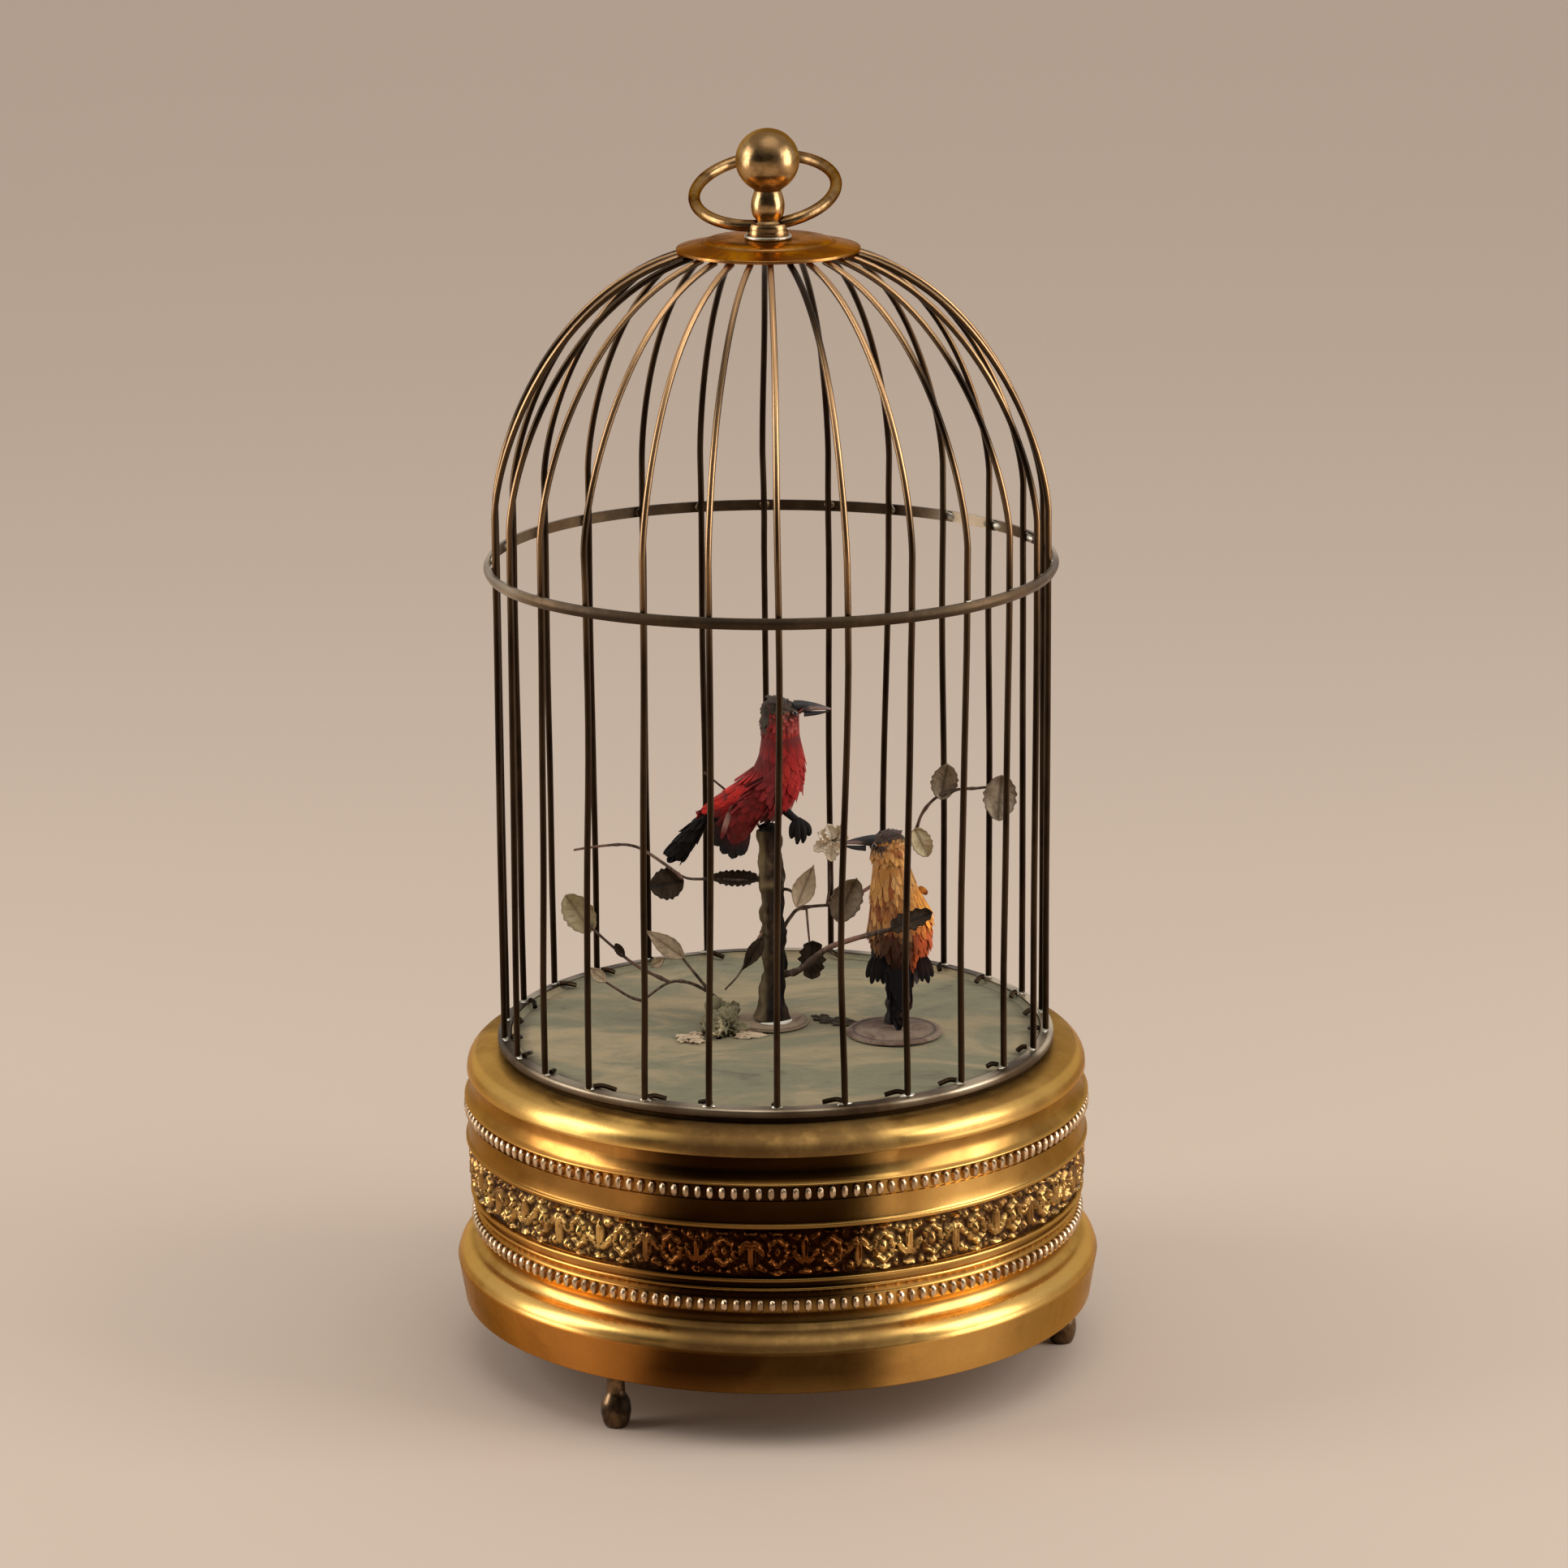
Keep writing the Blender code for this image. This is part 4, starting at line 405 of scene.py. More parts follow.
def stored(bm: bmesh.types.BMesh, name: str) -> bpy.types.Mesh:
    """Turn a working mesh into a stored one, and free it."""
    mesh = bpy.data.meshes.new(name)
    bm.to_mesh(mesh)
    bm.free()
    return mesh


def add_object(name: str, data: bpy.types.ID) -> bpy.types.Object:
    """Put a mesh, a lamp or the camera into the scene."""
    obj = bpy.data.objects.new(name, data)
    bpy.context.scene.collection.objects.link(obj)
    return obj


class Finishes:
    """Makes each finish's material once and hands it out."""

    def __init__(self) -> None:
        """Build the shared node groups and start with no materials."""
        build_tarnish()
        build_speckle()
        self.made: dict[str, bpy.types.Material] = {}

    def get(self, finish: object) -> bpy.types.Material:
        """The material of a finish."""
        if finish.name not in self.made:
            self.made[finish.name] = finish.material()
        return self.made[finish.name]

    def dress_node(self, node: str, finish: object) -> None:
        """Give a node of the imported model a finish, and leave its mesh alone."""
        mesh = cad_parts[node].data
        mesh.materials.clear()
        mesh.materials.append(self.get(finish))
        LOG.info("%s dressed in %s", node, finish.name)


@dataclass
class Workshop:
    """Turns meshes into pieces of the object: material, shading, body and replaced nodes."""

    finishes: Finishes

    def piece(self, name: str, bm: bmesh.types.BMesh, finish: object, body: str = BASE,
              replaces: tuple[str, ...] = (), crease: float = 40.0) -> bpy.types.Object:
        """Finish one piece.

        Args:
            name: the piece's name.
            bm: its mesh, in metres and in place; it is used up.
            finish: its finish.
            body: the body that it moves with.
            replaces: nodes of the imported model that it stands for.
            crease: edges sharper than this many degrees stay sharp.

        Returns:
            The piece's object.
        """
        mesh = stored(bm, name)
        mesh.materials.append(self.finishes.get(finish))
        mesh.shade_smooth()
        mesh.set_sharp_from_angle(angle=math.radians(crease))
        obj = add_object(name, mesh)
        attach(obj, body)
        if replaces:
            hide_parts(*replaces)
        LOG.info("%s: %d faces on %s", name, len(mesh.polygons), body)
        return obj


class Outline:
    """A turned outline of (radius, height) points in millimetres, drawn along the surface."""

    def __init__(self, radius: float, height: float) -> None:
        """Start at a point."""
        self.points = [(radius, height)]

    def line(self, radius: float, height: float, steps: int = 1) -> Outline:
        """Run straight to a point."""
        return self.bow(radius, height, 0.0, steps)

    def bow(self, radius: float, height: float, swell: float, steps: int = 8) -> Outline:
        """Run to a point in a curve.

        Args:
            radius: the end's radius.
            height: the end's height.
            swell: how far the middle stands out, or below 0 how far it is hollowed.
            steps: how many straight bits make the curve.

        Returns:
            The outline itself.
        """
        start = self.points[-1]
        for step in range(1, steps + 1):
            share = step / steps
            out = swell * math.sin(math.pi * share)
            self.points.append((start[0] + (radius - start[0]) * share + out,
                                start[1] + (height - start[1]) * share))
        return self

    def shoulder(self, radius: float, height: float, steps: int = 10) -> Outline:
        """Round off from a level top to an upright side.

        Args:
            radius: the end's radius.
            height: the end's height.
            steps: how many straight bits make the curve.

        Returns:
            The outline itself.
        """
        start = self.points[-1]
        for step in range(1, steps + 1):
            angle = math.pi / 2 * step / steps
            self.points.append((start[0] + (radius - start[0]) * math.sin(angle),
                                height + (start[1] - height) * math.cos(angle)))
        return self

    def metres(self) -> list[tuple[float, float]]:
        """The points in metres."""
        return [(radius * MM, height * MM) for radius, height in self.points]


def spun(outline: Outline, segments: int) -> bmesh.types.BMesh:
    """Spin an outline about Z into a closed shell.

    Args:
        outline: points that end on the axis at both ends, or come back to their start.
        segments: how many steps go round.

    Returns:
        The new mesh.
    """
    bm = bmesh.new()
    verts = [bm.verts.new((radius, 0.0, height)) for radius, height in outline.metres()]
    edges = [bm.edges.new(pair) for pair in zip(verts, verts[1:])]
    if outline.points[0][0] > 0.0 or outline.points[-1][0] > 0.0:
        edges.append(bm.edges.new((verts[-1], verts[0])))
    bmesh.ops.spin(bm, geom=verts + edges, axis=(0, 0, 1), cent=(0, 0, 0), steps=segments,
                   angle=2 * math.pi, use_merge=True, use_duplicate=False)
    bmesh.ops.remove_doubles(bm, verts=bm.verts, dist=0.000002)
    bmesh.ops.recalc_face_normals(bm, faces=bm.faces)
    return bm


def wire_ring(start: Vector, centre: Vector, half: float, sides: int, steps: int,
              tipped: str) -> bmesh.types.BMesh:
    """Spin a wire's round section about an upright axis into a closed ring; all sizes in metres.

    Args:
        start: the section's middle.
        centre: a place on the axis.
        half: the wire's radius.
        sides: corners of the section.
        steps: how many steps go round.
        tipped: the axis, X or Y, that the section is tipped upright about.

    Returns:
        The new mesh.
    """
    bm = bmesh.new()
    upright = Matrix.Translation(start) @ Matrix.Rotation(math.pi / 2, 4, tipped)
    made = bmesh.ops.create_circle(bm, cap_ends=False, radius=half, segments=sides, matrix=upright)["verts"]
    edges = list({edge for vert in made for edge in vert.link_edges})
    bmesh.ops.spin(bm, geom=made + edges, axis=(0, 0, 1), cent=centre, steps=steps, angle=2 * math.pi,
                   use_merge=True, use_duplicate=False)
    bmesh.ops.remove_doubles(bm, verts=bm.verts, dist=0.000002)
    return bm


def smooth_route(points: list[Vector], steps: int) -> list[Vector]:
    """Run a smooth curve through some points.

    Args:
        points: what the curve passes through.
        steps: how many new points lie between two of them.

    Returns:
        The curve's points.
    """
    if len(points) < 3:
        return [points[0].lerp(points[-1], step / steps) for step in range(steps + 1)]
    padded = [points[0] * 2 - points[1], *points, points[-1] * 2 - points[-2]]
    route = []
    for before, start, end, after in zip(padded, padded[1:], padded[2:], padded[3:]):
        for step in range(steps):
            t = step / steps
            route.append(0.5 * (start * 2 + (end - before) * t
                                + (before * 2 - start * 5 + end * 4 - after) * t * t
                                + (start * 3 - before - end * 3 + after) * t ** 3))
    route.append(points[-1])
    return route


def sweep(bm: bmesh.types.BMesh, route: list[Vector], sizes: list[tuple[float, float]], sides: int,
          across: Vector | None = None) -> list[bmesh.types.BMVert]:
    """Bridge ellipses along a route and close both ends.

    Args:
        bm: the mesh that gets the tube.
        route: the middle line, in metres.
        sizes: half size along the across direction and square to it, for each point.
        sides: corners of each ellipse.
        across: which way the first half size points at the start.

    Returns:
        The tube's vertices.
    """
    loops = []
    verts = []
    side = across
    for index, middle in enumerate(route):
        along = route[min(index + 1, len(route) - 1)] - route[max(index - 1, 0)]
        along.normalize()
        if side is None:
            side = along.orthogonal()
        side = (side - along * side.dot(along)).normalized()
        turn = Matrix((side * sizes[index][0], along.cross(side) * sizes[index][1], along)).transposed()
        made = bmesh.ops.create_circle(bm, cap_ends=False, radius=1.0, segments=sides,
                                       matrix=Matrix.Translation(middle) @ turn.to_4x4())["verts"]
        verts += made
        loops.append(list({edge for vert in made for edge in vert.link_edges}))
    for lower, upper in zip(loops, loops[1:]):
        bmesh.ops.bridge_loops(bm, edges=lower + upper)
    for end in (loops[0], loops[-1]):
        bmesh.ops.contextual_create(bm, geom=end)
    return verts


def settle(bm: bmesh.types.BMesh) -> bmesh.types.BMesh:
    """Turn all faces of a mesh outwards."""
    bmesh.ops.recalc_face_normals(bm, faces=bm.faces)
    return bm


def paint_points(bm: bmesh.types.BMesh, name: str, value: object) -> None:
    """Store a number on each vertex, worked out from its place in metres."""
    layer = bm.verts.layers.float.get(name) or bm.verts.layers.float.new(name)
    for vert in bm.verts:
        vert[layer] = value(vert.co)


def eased(value: float, low: float, high: float) -> float:
    """Rise smoothly from 0 at low to 1 at high."""
    share = min(max((value - low) / (high - low), 0.0), 1.0)
    return share * share * (3 - 2 * share)


def crumple(bm: bmesh.types.BMesh, scale: float, depth: float) -> None:
    """Push every vertex a little way about; the scale is in bumps to the metre, the depth in metres."""
    for vert in bm.verts:
        vert.co += noise.noise_vector(vert.co * scale) * depth


def heading(angle: float) -> Vector:
    """The level way out at an angle round Z."""
    return Vector((math.cos(angle), math.sin(angle), 0.0))


def axis_of(node: str) -> Vector:
    """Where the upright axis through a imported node's middle stands, in metres."""
    low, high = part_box(node)
    return Vector(((low[0] + high[0]) / 2, (low[1] + high[1]) / 2, 0.0))


@dataclass
class Studio:
    """The pale floor, the soft light and the camera, none of them part of the object."""

    floor_size: float = 24.0             # metres, like the panels' places and sizes
    floor_colour: Colour = (0.515, 0.415, 0.335)
    forward: Point = (0.001935, 0.96771, -0.25205)
    roll: float = -0.0091                # radians
    lens: float = 126.27
    aim: Point = (0.0, 0.0, 0.12)        # what the panels face
    panels: tuple = ((-0.95, -0.10, 0.45, 0.50, 0.90, 6.5), (0.95, -0.25, 0.45, 0.60, 0.90, 8.5))
    sun_strength: float = 0.9
    sun_spread: float = 50.0
    sun_turn: Point = (14.0, 10.0, 0.0)
    world_dark: Colour = (0.03, 0.027, 0.024)
    world_light: Colour = (0.70, 0.66, 0.62)

    def build(self) -> None:
        """Set up everything that isn't the object."""
        self.add_floor()
        self.add_camera()
        self.add_lamps()
        self.add_world()
        bpy.context.scene.view_settings.view_transform = "Standard"

    def add_floor(self) -> None:
        """Lay the floor."""
        bm = bmesh.new()
        bmesh.ops.create_grid(bm, x_segments=1, y_segments=1, size=self.floor_size / 2)
        mesh = stored(bm, "studio_floor")
        made, wiring, shader = start_material("studio_paper")
        wiring.fill(shader, {"Base Color": self.floor_colour, "Roughness": 0.9, "Specular IOR Level": 0.1})
        mesh.materials.append(made)
        add_object("studio_floor", mesh)

    def add_camera(self) -> None:
        """Set the camera where the photograph was taken from."""
        data = bpy.data.cameras.new("camera")
        data.lens = self.lens
        camera = add_object("camera", data)
        forward = Vector(self.forward).normalized()
        level_right = forward.cross(Vector((0, 0, 1))).normalized()
        level_up = level_right.cross(forward)
        right = level_right * math.cos(self.roll) + level_up * math.sin(self.roll)
        up = level_up * math.cos(self.roll) - level_right * math.sin(self.roll)
        turn = Matrix((right, up, -forward)).transposed().to_4x4()
        camera.matrix_world = Matrix.Translation(Vector(CAMERA_PLACE) * MM) @ turn
        bpy.context.scene.camera = camera

    def add_lamps(self) -> None:
        """Set a soft panel on each side and a broad high light."""
        for number, (x, y, z, width, height, power) in enumerate(self.panels):
            data = bpy.data.lights.new(f"panel_{number}", "AREA")
            data.shape = "RECTANGLE"
            data.size = width
            data.size_y = height
            data.energy = power
            turn = (Vector(self.aim) - Vector((x, y, z))).to_track_quat("-Z", "Y").to_matrix().to_4x4()
            add_object(f"panel_{number}", data).matrix_world = Matrix.Translation((x, y, z)) @ turn
        data = bpy.data.lights.new("high_light", "SUN")
        data.energy = self.sun_strength
        data.angle = math.radians(self.sun_spread)
        add_object("high_light", data).rotation_euler = [math.radians(turn) for turn in self.sun_turn]

    def add_world(self) -> None:
        """Surround the object with soft light that falls off towards the front."""
        world = bpy.data.worlds.new("studio_world")
        world.use_nodes = True
        bpy.context.scene.world = world
        wiring = Wiring(world.node_tree)
        direction = wiring.node("ShaderNodeTexCoord").outputs["Generated"]
        axes = wiring.node("ShaderNodeSeparateXYZ", {0: direction}).outputs
        towards_back = wiring.span(axes["Y"], -0.75, 0.25)
        overhead = wiring.span(axes["Z"], 0.45, 0.95)
        light = wiring.maths("MAXIMUM", towards_back, overhead)
        background = world.node_tree.nodes["Background"]
        wiring.feed(background.inputs["Color"], wiring.blend(light, self.world_dark, self.world_light))


@dataclass(frozen=True)
class Moulding:
    """A rounded moulding of the drum that gets painted shade where the dark reflection zones cross it."""

    top: float
    bottom: float
    dull: float                  # how much painted shade it gets there
    shift: float                 # how far the zones are turned on it

    def holds(self, height: float) -> bool:
        """Whether a height lies on it."""
        return self.bottom < height < self.top


@dataclass
class Drum:
    """The spun brass drum with its mouldings, beads and embossed band."""

    segments: int = 240
    inside: float = 66.0                               # radius between its inner and outer side
    lid: float = 70.5                                  # height between the lid's lower and upper side
    flange_top: float = 23.2
    cove_top: float = 31.2
    plain_band: tuple = (50.7, 57.2)
    bead_count: int = 166
    bead_half: Point = (0.992, 0.90, 1.60)             # outwards, round the drum, up
    rows: tuple = ((69.95, 58.75), (68.75, 32.70))     # radius and middle height of each beaded row
    frieze_low: float = 39.5
    frieze_high: float = 50.5
    frieze_ground: float = 68.8
    frieze_relief: float = 1.25
    frieze_repeats: int = 37
    frieze_columns: int = 34                           # per repeat
    frieze_rows: int = 34
    # The zones are painted dark reflections round the drum; the mouldings take painted shade where they cross
    # them.
    dark_reflection_zones: tuple = ((-93.5, 22.5, 1.0), (28.0, 22.0, 0.85), (152.0, 20.0, 0.85),
                          (-20.0, 26.0, 0.42), (-167.0, 24.0, 0.42))    # middle and reach, depth
    highlight_stripes: tuple = ((-127.6, 8.0), (-55.8, 9.0))      # middle and reach of the painted highlight stripes
    # The mouldings take painted shade where the dark reflection zones cross them.
    mouldings: tuple = (Moulding(72.1, 66.9, 0.85, 4.0), Moulding(28.0, 23.2, 0.80, 3.0))

    def outline(self) -> Outline:
        """The drum's section, from the top plate down the outside and back up the inside."""
        run = Outline(57.3, 72.0).line(59.6, 72.0).line(64.6, 72.0)
        run.shoulder(70.0, 67.6).line(70.1, 67.0).line(69.9, 66.8).line(69.2, 66.6)
        run.bow(69.9, 61.4, -0.75, 10).line(70.5, 61.1).bow(70.6, 60.6, 0.2, 4).line(70.3, 60.4)
        run.line(69.7, 60.3).line(69.7, 57.1).line(70.1, 57.0).line(70.1, 56.6).line(70.0, 54.4)
        run.line(70.1, 52.3).line(70.2, 51.9).bow(70.6, 51.5, 0.12, 4).line(70.6, 51.0).line(70.2, 50.7)
        run.line(68.7, 50.6).line(68.7, 39.4).line(69.5, 39.3).bow(69.8, 38.9, 0.1, 4).line(69.7, 38.5)
        run.line(68.7, 38.3).line(68.6, 37.1).line(69.1, 36.9).bow(69.2, 36.3, 0.15, 4).line(68.7, 36.0)
        run.bow(68.3, 34.3, -0.25, 6).line(68.5, 34.2).line(68.5, 31.2).line(68.3, 31.0)
        run.bow(68.4, 27.2, -0.9, 10).line(68.9, 26.9).shoulder(72.7, 23.6).line(73.0, 23.1)
        run.line(72.9, 22.6).line(72.2, 18.2).line(71.5, 13.8).bow(70.8, 13.3, 0.2, 4)
        run.line(60.0, 13.3).line(60.0, 16.6).line(65.5, 16.6).line(65.5, 70.4).line(57.3, 70.4)
        return run

    def outer(self) -> list[tuple[float, float]]:
        """The section's points on the outer side."""
        return [point for point in self.outline().points if point[0] > self.inside]

    def hollows(self, window: float = 2.2) -> list[tuple[float, float]]:
        """How far each outer point lies behind the highest points within a window, as (height, depth)."""
        outer = self.outer()
        found = []
        for radius, height in outer:
            above = max(other[0] for other in outer if height <= other[1] < height + window)
            below = max(other[0] for other in outer if height - window < other[1] <= height)
            found.append((height, max(min(above, below) - radius, 0.0)))
        return sorted(found)

    def grime(self, hollows: list[tuple[float, float]], height: float) -> float:
        """How much grime lies at a height."""
        nearest = min(hollows, key=lambda row: abs(row[0] - height))
        return 0.54 * eased(nearest[1], 0.10, 0.90)

    def proud(self, radius: float, height: float, window: float = 1.6) -> float:
        """How rubbed a point of the section is, from how far it stands out of its neighbours."""
        near = [other[0] for other in self.outer() if abs(other[1] - height) < window]
        return eased(radius - sum(near) / max(len(near), 1), 0.10, 0.45)

    def zone(self, co: Vector, shift: float = 0.0) -> float:
        """How deep in one of the zones of painted dark reflection round the drum a place is, with the zones
        turned by a shift.
        """
        angle = math.degrees(math.atan2(co.y, co.x)) - shift
        angle += 4.0 * noise.noise(Vector((co.x * 30.0, co.y * 30.0, co.z * 60.0)))
        found = 0.0
        for middle, reach, depth in self.dark_reflection_zones:
            off = (angle - middle + 180) % 360 - 180
            found = max(found, depth * math.exp(-(off / reach) ** 10))
        return found

    def moulding(self, height: float) -> Moulding | None:
        """The dull moulding at a height, if there is one."""
        return next((found for found in self.mouldings if found.holds(height)), None)

    def is_plain(self, height: float) -> bool:
        """Whether a height lies on the plain band."""
        return self.plain_band[0] < height < self.plain_band[1]

    def reflection_darkness(self, co: Vector) -> float:
        """How far painted dark reflections brown the brass at a place: in the dark zones, and on the plain
        band's left.
        """
        height = co.z / MM
        zone = self.zone(co)
        if self.moulding(height):
            return 0.10 * zone
        if height < self.flange_top:
            return 0.93 * zone
        if height < self.cove_top:
            return 0.80 * zone
        left = eased(-co.x / co.xy.length, 0.25, 0.6) if self.is_plain(height) else 0.0
        return max(zone, 0.55 * left)

    def warm_reflection(self, co: Vector) -> float:
        """How coppery the brass is at a place, as a painted warm reflection: most on the flange and on the
        left of the bands.
        """
        height = co.z / MM
        if self.moulding(height):
            return 0.0
        left = eased(-co.x / co.xy.length, -0.2, 0.35)
        return (0.95 if height < self.flange_top else 0.65) * (0.30 + 0.70 * left)

    def wear_and_highlights(self, edges: dict[float, float], co: Vector) -> float:
        """How rubbed one vertex of the shell is, with painted highlights: wear where the section stands out
        and two painted highlight stripes, less where the mouldings take painted shade.

        Args:
            edges: how far the section stands out at each of its heights.
            co: the vertex's place, in metres.

        Returns:
            The wear and painted highlight, from 0 to 1.
        """
        height = co.z / MM
        if co.xy.length < self.inside * MM and height < self.lid:
            return 0.0
        rubbed = edges.get(round(height, 3), 0.0)
        # Two painted highlight stripes on the flange and the plain band.
        if height < self.flange_top or self.is_plain(height):
            angle = math.degrees(math.atan2(co.y, co.x))
            rubbed = max(rubbed, *(math.exp(-((angle - middle) / reach) ** 2)
                                   for middle, reach in self.highlight_stripes))
        moulding = self.moulding(height)
        if moulding:
            rubbed *= 1.0 - min(1.15 * moulding.dull * self.zone(co, moulding.shift), 1.0)
        return rubbed

    def shade(self, heights: dict[float, float], co: Vector) -> float:
        """Grime and painted shade on one vertex of the shell: full inside, by its moulding outside, with a
        painted shadow on the lid beside the foot ring and painted shade where the dark zones cross the
        mouldings and on the top's right side.

        Args:
            heights: how much grime lies at each of the section's heights.
            co: the vertex's place, in metres.

        Returns:
            The grime and painted shade, from 0 to 1.
        """
        height = co.z / MM
        if co.xy.length < self.inside * MM and height < self.lid:
            return 0.8
        dirt_and_shade = heights.get(round(height, 3), 0.0)
        # Painted shadow on the lid beside the foot ring.
        if height > self.lid:
            dirt_and_shade = 0.55 * eased(co.xy.length, 0.0655, 0.0635)
        # Painted shade on a moulding where the dark reflection zones cross it.
        moulding = self.moulding(height)
        if moulding:
            dirt_and_shade = max(dirt_and_shade, moulding.dull * self.zone(co, moulding.shift))
        # Painted shade on the right side of the drum's top, dimming its highlight there.
        if height > self.mouldings[0].bottom:
            dirt_and_shade = max(dirt_and_shade, 0.42 * eased(co.x / co.xy.length, 0.20, 0.55))
        return dirt_and_shade

    def build(self, shop: Workshop) -> None:
        """Build the shell, the beads and the embossed band."""
        shell = spun(self.outline(), self.segments)
        hollows = self.hollows()
        points = self.outline().points
        heights = {round(height, 3): self.grime(hollows, height) for _, height in points}
        edges = {round(height, 3): self.proud(radius, height) for radius, height in points}
        # Grime holds hollows and painted shade; wear holds rubbing and painted highlight stripes; brown and
        # warm hold painted reflections.
        paint_points(shell, "grime", lambda co: self.shade(heights, co))
        paint_points(shell, "wear", lambda co: self.wear_and_highlights(edges, co))
        paint_points(shell, "brown",
                     lambda co: self.reflection_darkness(co) * (1.0 - 0.35 * edges.get(round(co.z / MM, 3), 0.0)))
        paint_points(shell, "warm", self.warm_reflection)
        shop.piece("drum_shell", shell, AGED_BRASS, replaces=("base_drum",), crease=55.0)
        beads = bmesh.new()
        for radius, height in self.rows:
            self.add_beads(beads, radius, height)
        # Painted dark reflections on the beads as well.
        paint_points(beads, "brown", lambda co: 0.7 * self.reflection_darkness(co))
        shop.piece("bead_rows", settle(beads), BEAD_BRASS)
        shop.piece("embossed_band", self.frieze(), RELIEF_BRASS, crease=70.0)

    def add_beads(self, bm: bmesh.types.BMesh, radius: float, height: float) -> None:
        """Set one row of beads round the drum.

        Args:
            bm: the mesh that gets them.
            radius: radius of the bed that they stand on.
            height: height of the row's middle.
        """
        size = Matrix.Diagonal((*(Vector(self.bead_half) * MM), 1.0))
        for number in range(self.bead_count):
            turn = Matrix.Rotation(2 * math.pi * number / self.bead_count, 4, "Z")
            spot = Matrix.Translation((radius * MM, 0.0, height * MM))
            bmesh.ops.create_uvsphere(bm, u_segments=8, v_segments=5, radius=1.0, matrix=turn @ spot @ size)

    def frieze(self) -> bmesh.types.BMesh:
        """The embossed band: a closed ring whose outer side carries the relief."""
        bm = bmesh.new()
        bmesh.ops.create_grid(bm, x_segments=self.frieze_repeats * self.frieze_columns,
                              y_segments=self.frieze_rows, size=0.5)
        grime, wear, brown = (bm.verts.layers.float.new(name) for name in ("grime", "wear", "brown"))
        for vert in bm.verts:
            turn = (vert.co.x + 0.5) * self.frieze_repeats
            rise = vert.co.y + 0.5
            relief = self.relief(turn, rise)
            vert[grime] = eased(relief, 0.50, 0.10)
            vert[wear] = eased(relief, 0.62, 1.0) * 0.6
            out = heading(-2 * math.pi * turn / self.frieze_repeats)
            height = self.frieze_low + (self.frieze_high - self.frieze_low) * rise
            vert.co = (out * (self.frieze_ground + self.frieze_relief * relief) + Vector((0, 0, height))) * MM
            # Painted dark reflections on the band as well.
            vert[brown] = self.reflection_darkness(vert.co)
        bmesh.ops.remove_doubles(bm, verts=bm.verts, dist=0.00002)
        rims = [edge for edge in bm.edges if edge.is_boundary]
        made = bmesh.ops.extrude_edge_only(bm, edges=rims)["geom"]
        for item in made:
            if isinstance(item, bmesh.types.BMVert):
                item.co.xy = item.co.xy.normalized() * (self.frieze_ground - 0.5) * MM
        loops = [item for item in made if isinstance(item, bmesh.types.BMEdge) and item.is_boundary]
        bmesh.ops.bridge_loops(bm, edges=loops)
        return settle(bm)

    def relief(self, turn: float, rise: float, offset: float = 2.9) -> float:
        """Height of the relief, from 0 to 1, at a place on the band.

        Args:
            turn: repeats of the pattern along the band.
            rise: 0 at the band's foot to 1 at its top.
            offset: how far blossom and leaf stand from their repeat's middle.

        Returns:
            The height, with blossoms, leaves and scrolls on a pitted ground.
        """
        repeat = math.floor(turn)
        width = 2 * math.pi * self.frieze_ground / self.frieze_repeats
        flip = -1 if repeat % 2 else 1
        x = (turn - repeat - 0.5) * width + 0.30 * noise.noise(Vector((turn * 2.1, rise * 2.0, 5.0)))
        y = (rise - 0.5) * (self.frieze_high - self.frieze_low)
        y += 0.30 * noise.noise(Vector((turn * 2.1, rise * 2.0, 9.0)))
        left, right = x - offset, x + offset
        parts = [0.08 + 0.16 * noise.noise(Vector((turn * 11.0, rise * 9.0, 2.0))),
                 self.blossom(right, y, 2.45, 3.55), self.leaf(left, y - 0.7 * flip, 90, 3.3, 1.15),
                 self.leaf(left, y + 4.3 * flip, 0, 1.5, 0.6)]
        for side in (-1, 1):
            parts += [self.leaf(left - side * 1.75, y + 0.9 * flip, 90 - side * flip * 38, 2.5, 0.95),
                      self.bud(left - side * 1.7, y - 3.4 * flip, 0.85),
                      self.bud(right + side * 3.1, y + side * 3.9, 0.7),
                      self.bud(right - side * 2.9, y + side * 4.0, 0.55),
                      self.leaf(right, y - side * 4.55, 0, 1.7, 0.55),
                      self.scroll(x - side * 5.75, y - side * 0.6, 1.3)]
        return max(parts) * eased(min(rise, 1 - rise), 0.0, 0.05)

    def blossom(self, x: float, y: float, half_width: float, half_height: float) -> float:
        """An upright oval flower: a lobed rim round a sunk ground with a raised centre."""
        reach = math.hypot(x / half_width, y / half_height)
        if reach > 1.3:
            return 0.0
        rim = 0.80 + 0.07 * math.cos(8 * math.atan2(y, x))
        return max(math.exp(-((reach - rim) / 0.19) ** 2), 0.9 * math.exp(-(reach / 0.34) ** 2))

    def leaf(self, x: float, y: float, angle: float, length: float, width: float) -> float:
        """A pointed leaf with a sunk midrib, about its middle."""
        turn = math.radians(angle)
        along = (x * math.cos(turn) + y * math.sin(turn)) / length
        across = (y * math.cos(turn) - x * math.sin(turn)) / width
        half = (1 - min(along * along, 1.0)) ** 0.8
        if half < 0.05 or abs(across) > half:
            return 0.0
        inside = 1 - abs(across) / half
        return eased(inside, 0.0, 0.5) * 0.9 - 0.35 * math.exp(-(across / 0.18) ** 2)

    def scroll(self, x: float, y: float, size: float) -> float:
        """A small curled stem."""
        curl = math.hypot(x, y) / size - 0.55 - 0.12 * math.atan2(y, x) / math.pi
        return 0.7 * math.exp(-(curl / 0.20) ** 2)

    def bud(self, x: float, y: float, size: float) -> float:
        """A round berry."""
        return 0.8 * math.exp(-(math.hypot(x, y) / size) ** 2)


